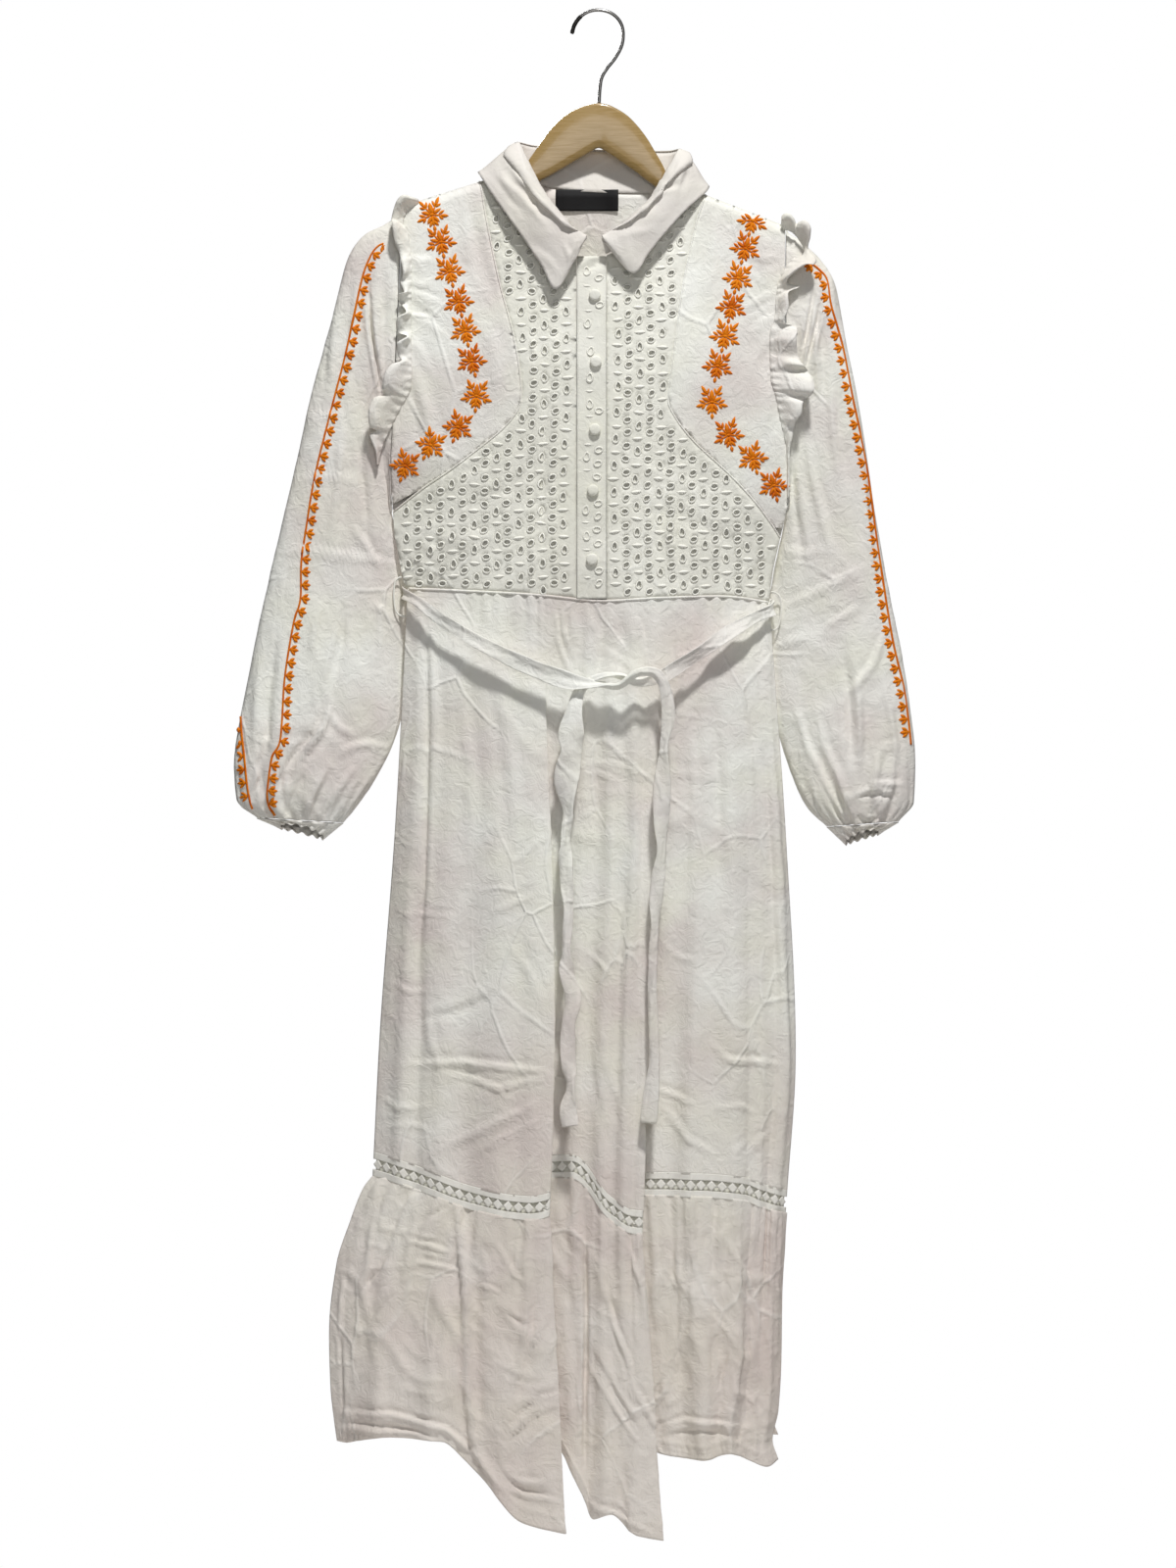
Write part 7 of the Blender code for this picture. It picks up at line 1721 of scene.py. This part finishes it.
hanger = {
    # across, top, underside and half thickness
    "sections": table(
        (424, 216, 221, 3.2), (427, 213.5, 225, 4.6), (445, 207.5, 224, 5.2), (488, 195, 214, 5.2),
        (514, 187.5, 206, 4.6), (528, 183, 199, 4), (533, 175, 195, 4.2), (538, 166, 192, 5.5),
        (546, 154, 187, 5.5), (558, 137, 181, 5.5), (568, 125.5, 175.5, 5.5), (578, 117, 169.5, 5.5),
        (590, 110.5, 162.5, 5.5), (601, 107, 156, 5.5), (611, 105.5, 151, 5.5), (620, 107, 156, 5.5),
        (630, 111.5, 162.5, 5.5), (640, 118, 169.5, 5.5), (650, 128, 176.5, 5.5), (660, 141, 184.5, 5.5),
        (669, 156, 191, 5.5), (676, 168, 195.5, 5.5), (682, 181.5, 200, 4.2), (687, 194, 205, 3.8),
        (696, 201.5, 213, 4.4), (720, 210, 224, 5), (770, 225, 238, 5.2), (787, 230, 240, 4.6),
        (790, 232.5, 237.5, 3.2),
    ),
    "hook": table(
        (583.5, 34.5), (586, 26), (591.5, 18), (600.5, 12), (612, 10.3), (623.5, 13.4), (632, 21),
        (635.8, 32), (634.6, 46), (628, 59), (619.8, 69.5), (614.2, 79), (612.2, 90), (611.3, 105.1),
    ),
    "wire": 1.7, "sleeve": 2.15,
    # the front half of a section: share of the half thickness, then how far from the top or the underside
    "upper": [(-0.35, 0), (-0.78, 0.25), (-0.95, 0.6), (-1, 1)],
    "lower": [(-1, 1), (-0.97, 0.93), (-0.74, 0.16), (-0.62, 0.04), (-0.4, 0)],
}


def hangerShape():
    # upright sections from tip to tip: rounded top, flat front and a bevel with a ridge above the underside
    rows = hanger["sections"]
    across = np.linspace(rows[0, 0], rows[-1, 0], 220)
    top, bottom, thick = (smooth(rows, k, across) for k in (1, 2, 3))
    low = np.minimum(8, 0.3 * (bottom - top))
    high = np.minimum(2.6, 0.25 * (bottom - top))
    front = [(share, top + high * far) for share, far in hanger["upper"]]
    front += [(share, bottom - low * far) for share, far in hanger["lower"]]
    profile = front + [(-share, down) for share, down in front[::-1]]
    return np.stack([place(across, down, share * thick) for share, down in profile], axis=1)


def beechMaterial():
    # varnished beech: pale gold, fine grain lines along the hanger, small darker flecks, glossy coat
    material, tree, shader, coords = newMaterial(
        "varnishedBeech", {"Roughness": 0.32, "Coat Weight": 0.6, "Coat Roughness": 0.12})
    along = addNode(tree, "Mapping", {"Scale": (12, 120, 160), "Rotation": (0, 0.35, 0)}, {"Vector": coords})
    grain = addNode(tree, "TexNoise", {"Scale": 3, "Detail": 4, "Roughness": 0.6, "Distortion": 0.6},
                    {"Vector": along})
    cloud = addNode(tree, "TexNoise", {"Scale": 14, "Detail": 2}, {"Vector": coords})
    ramp = addNode(tree, "MapRange", {"From Min": 0.35, "From Max": 0.65}, {"Value": grain})
    base = addNode(tree, "Mix", {"data_type": "RGBA", 6: linear("#96793F"), 7: linear("#AE9263")}, {0: ramp})
    soft = addNode(tree, "MapRange", {"From Min": 0.4, "From Max": 0.7, "To Max": 0.5}, {"Value": cloud})
    base = addNode(tree, "Mix", {"data_type": "RGBA", 7: linear("#A88C58")}, {0: soft, 6: base.outputs[2]})
    bump = addNode(tree, "Bump", {"Strength": 0.08, "Distance": 0.0004}, {"Height": grain})
    linkTo(tree, shader, {"Base Color": base.outputs[2], "Normal": bump})
    return material


def metalMaterial(name, colour, roughness):
    # drawn wire, bright with fine lengthwise scratches that show as a slightly uneven shine
    material, tree, shader, coords = newMaterial(name, {"Base Color": linear(colour), "Metallic": 1})
    grain = addNode(tree, "TexNoise", {"Scale": 900, "Detail": 2}, {"Vector": coords})
    rough = addNode(tree, "MapRange", {"To Min": roughness - 0.06, "To Max": roughness + 0.08},
                    {"Value": grain})
    linkTo(tree, shader, {"Roughness": rough})
    return material


sew("hanger_wood_body", tube(hangerShape())[:2], beechMaterial(), "beech", "hanger_wood")
wire = place(*flowing(hanger["hook"], 180).T, 0)
sew("hanger_hook_wire", rod(wire, hanger["wire"], 20), metalMaterial("chromedHookWire", "#8E8C89", 0.22),
    "hook_wire", "hanger_hook")
k = np.arange(46)
radius = hanger["sleeve"] * ease(np.minimum(k / 5, (45 - k) / 4) + 0.35) ** 0.5
tip = place(*flowing(hanger["hook"], 260)[:46].T, 0)
sew("hanger_hook_tip", rod(tip, radius, 20), metalMaterial("darkHookTip", "#3A3836", 0.4), "hook_wire")
print("hanger made")


# how each sheet was cut: width and length in metres, flat area, how it is held, by what, what lies on it
cloths = [
    ("bodice_front_left_cloth", (0.172, 0.40), 0.043, "hung", "hanger_wood", "broderie_stitches_left"),
    ("bodice_front_right_cloth", (0.166, 0.40), 0.041, "hung", "hanger_wood", "broderie_stitches_right"),
    ("eyelet_lining_left", (0.172, 0.40), 0.043, "hung", "bodice_front_left", ""),
    ("eyelet_lining_right", (0.166, 0.40), 0.041, "hung", "bodice_front_right", ""),
    ("side_front_left_cloth", (0.13, 0.36), 0.033, "hung", "hanger_wood",
     "snowflakes_left princess_seam_left"),
    ("side_front_right_cloth", (0.13, 0.36), 0.032, "hung", "hanger_wood",
     "snowflakes_right princess_seam_right"),
    ("bodice_back_cloth", (0.40, 0.44), 0.168, "hung", "hanger_wood", ""),
    ("placket_over_cloth", (0.034, 0.36), None, "hung", "bodice_front_right", "broderie_stitches_band"),
    ("placket_under_cloth", (0.034, 0.36), None, "hung", "bodice_front_left", ""),
    ("collar_leaf_cloth", (0.46, 0.075), 0.031, "folded", "collar_stand", ""),
    ("collar_stand_cloth", (0.42, 0.034), None, "hung", "bodice_back", ""),
    ("neck_label_cloth", (0.064, 0.022), None, "hung", "bodice_back", ""),
    ("skirt_front_cloth", (0.56, 0.60), 0.31, "hung", "bodice_front_left bodice_front_right",
     "lace_front_crochet waist_seam"),
    ("skirt_back_cloth", (0.44, 0.59), 0.25, "hung", "bodice_back", "lace_back_crochet"),
    ("lace_backing_cloth", (0.60, 0.03), None, "hung", "skirt_front", ""),
    ("flounce_front_cloth", (0.78, 0.275), None, "gathered", "lace_front", ""),
    ("flounce_back_cloth", (0.58, 0.25), None, "gathered", "lace_back", ""),
    ("sleeve_left_cloth", (0.36, 0.62), 0.17, "hung", "side_front_left bodice_back",
     "sleeve_piping_left sleeve_leaves_left"),
    ("sleeve_right_cloth", (0.36, 0.62), 0.17, "hung", "side_front_right bodice_back",
     "sleeve_piping_right sleeve_leaves_right"),
    ("cuff_left_cloth", (0.22, 0.014), None, "gathered", "sleeve_left", ""),
    ("cuff_right_cloth", (0.22, 0.014), None, "gathered", "sleeve_right", ""),
    ("ruffle_left_cloth", (0.40, 0.02), None, "gathered", "side_front_left sleeve_left", ""),
    ("ruffle_right_cloth", (0.44, 0.02), None, "gathered", "side_front_right sleeve_right", ""),
    ("tie_belt_cloth", (0.02, 1.75), None, "draped", "belt_loop_left belt_loop_right skirt_front", ""),
]
for name, flat, area, held, holders, onIt in cloths:
    onIt = [made[key] for key in onIt.split()]

# metres and watts; the floor is only for the picture
studio = {
    "floorRadius": 1.4, "floorDown": -1.788, "middle": (0, 0, -0.8),
    "key": {"place": (0.5, -2.2, 3.2), "size": 0.4, "power": 184},
    "front": {"place": (0.15, -2.7, -0.1), "size": 1.3, "power": 11},
    "back": {"place": (-0.5, 2.7, 0.5), "size": 1, "power": 48},
    "sky": 0.11, "camera": (-0.012, -6, -0.788), "lens": 135,
}

# matt painted floor, near white with the faintest clouding
paint, tree, shader, coords = newMaterial("paleStudioFloor", {"Roughness": 0.9})
clouds = addNode(tree, "TexNoise", {"Scale": 3, "Detail": 2}, {"Vector": coords})
base = addNode(tree, "Mix", {"data_type": "RGBA", 6: linear("#F4F3F1"), 7: linear("#EDECEA")}, {0: clouds})
linkTo(tree, shader, {"Base Color": base.outputs[2]})
bpy.ops.mesh.primitive_circle_add(vertices=96, radius=studio["floorRadius"], fill_type="NGON",
                                  location=(0, 0, studio["floorDown"]))
floor = bpy.context.object
floor.name = "studio_floor"
floor.data.materials.append(paint)

for name in ("key", "front", "back"):
    # a round lamp turned to the middle of the dress
    lamp = bpy.data.lights.new(name, "AREA")
    lamp.shape = "DISK"
    lamp.size = studio[name]["size"]
    lamp.energy = studio[name]["power"]
    light = intoScene(name, lamp)
    light.location = studio[name]["place"]
    away = Vector(studio[name]["place"]) - Vector(studio["middle"])
    light.rotation_euler = away.to_track_quat("Z", "Y").to_euler()

# the camera sees plain white behind the dress, which a weak bluish sky lights
world = bpy.data.worlds.new("studioSky")
bpy.context.scene.world = world
world.use_nodes = True
sky = world.node_tree
sky.nodes.clear()
rays = addNode(sky, "LightPath", {}, {})
seen = addNode(sky, "Background", {"Color": (1, 1, 1, 1), "Strength": 1}, {})
lit = addNode(sky, "Background", {"Color": linear("#FBFBFF"), "Strength": studio["sky"]}, {})
mixed = addNode(sky, "MixShader", {}, {0: rays, 1: lit, 2: seen})
addNode(sky, "OutputWorld", {}, {"Surface": mixed})

view = bpy.data.cameras.new("photoView")
view.lens = studio["lens"]
view.sensor_width = 36
camera = intoScene("photoView", view)
camera.location = studio["camera"]
camera.rotation_euler = (math.pi / 2, 0, 0)
bpy.context.scene.camera = camera
bpy.context.scene.view_settings.view_transform = "Standard"

print("studio made")
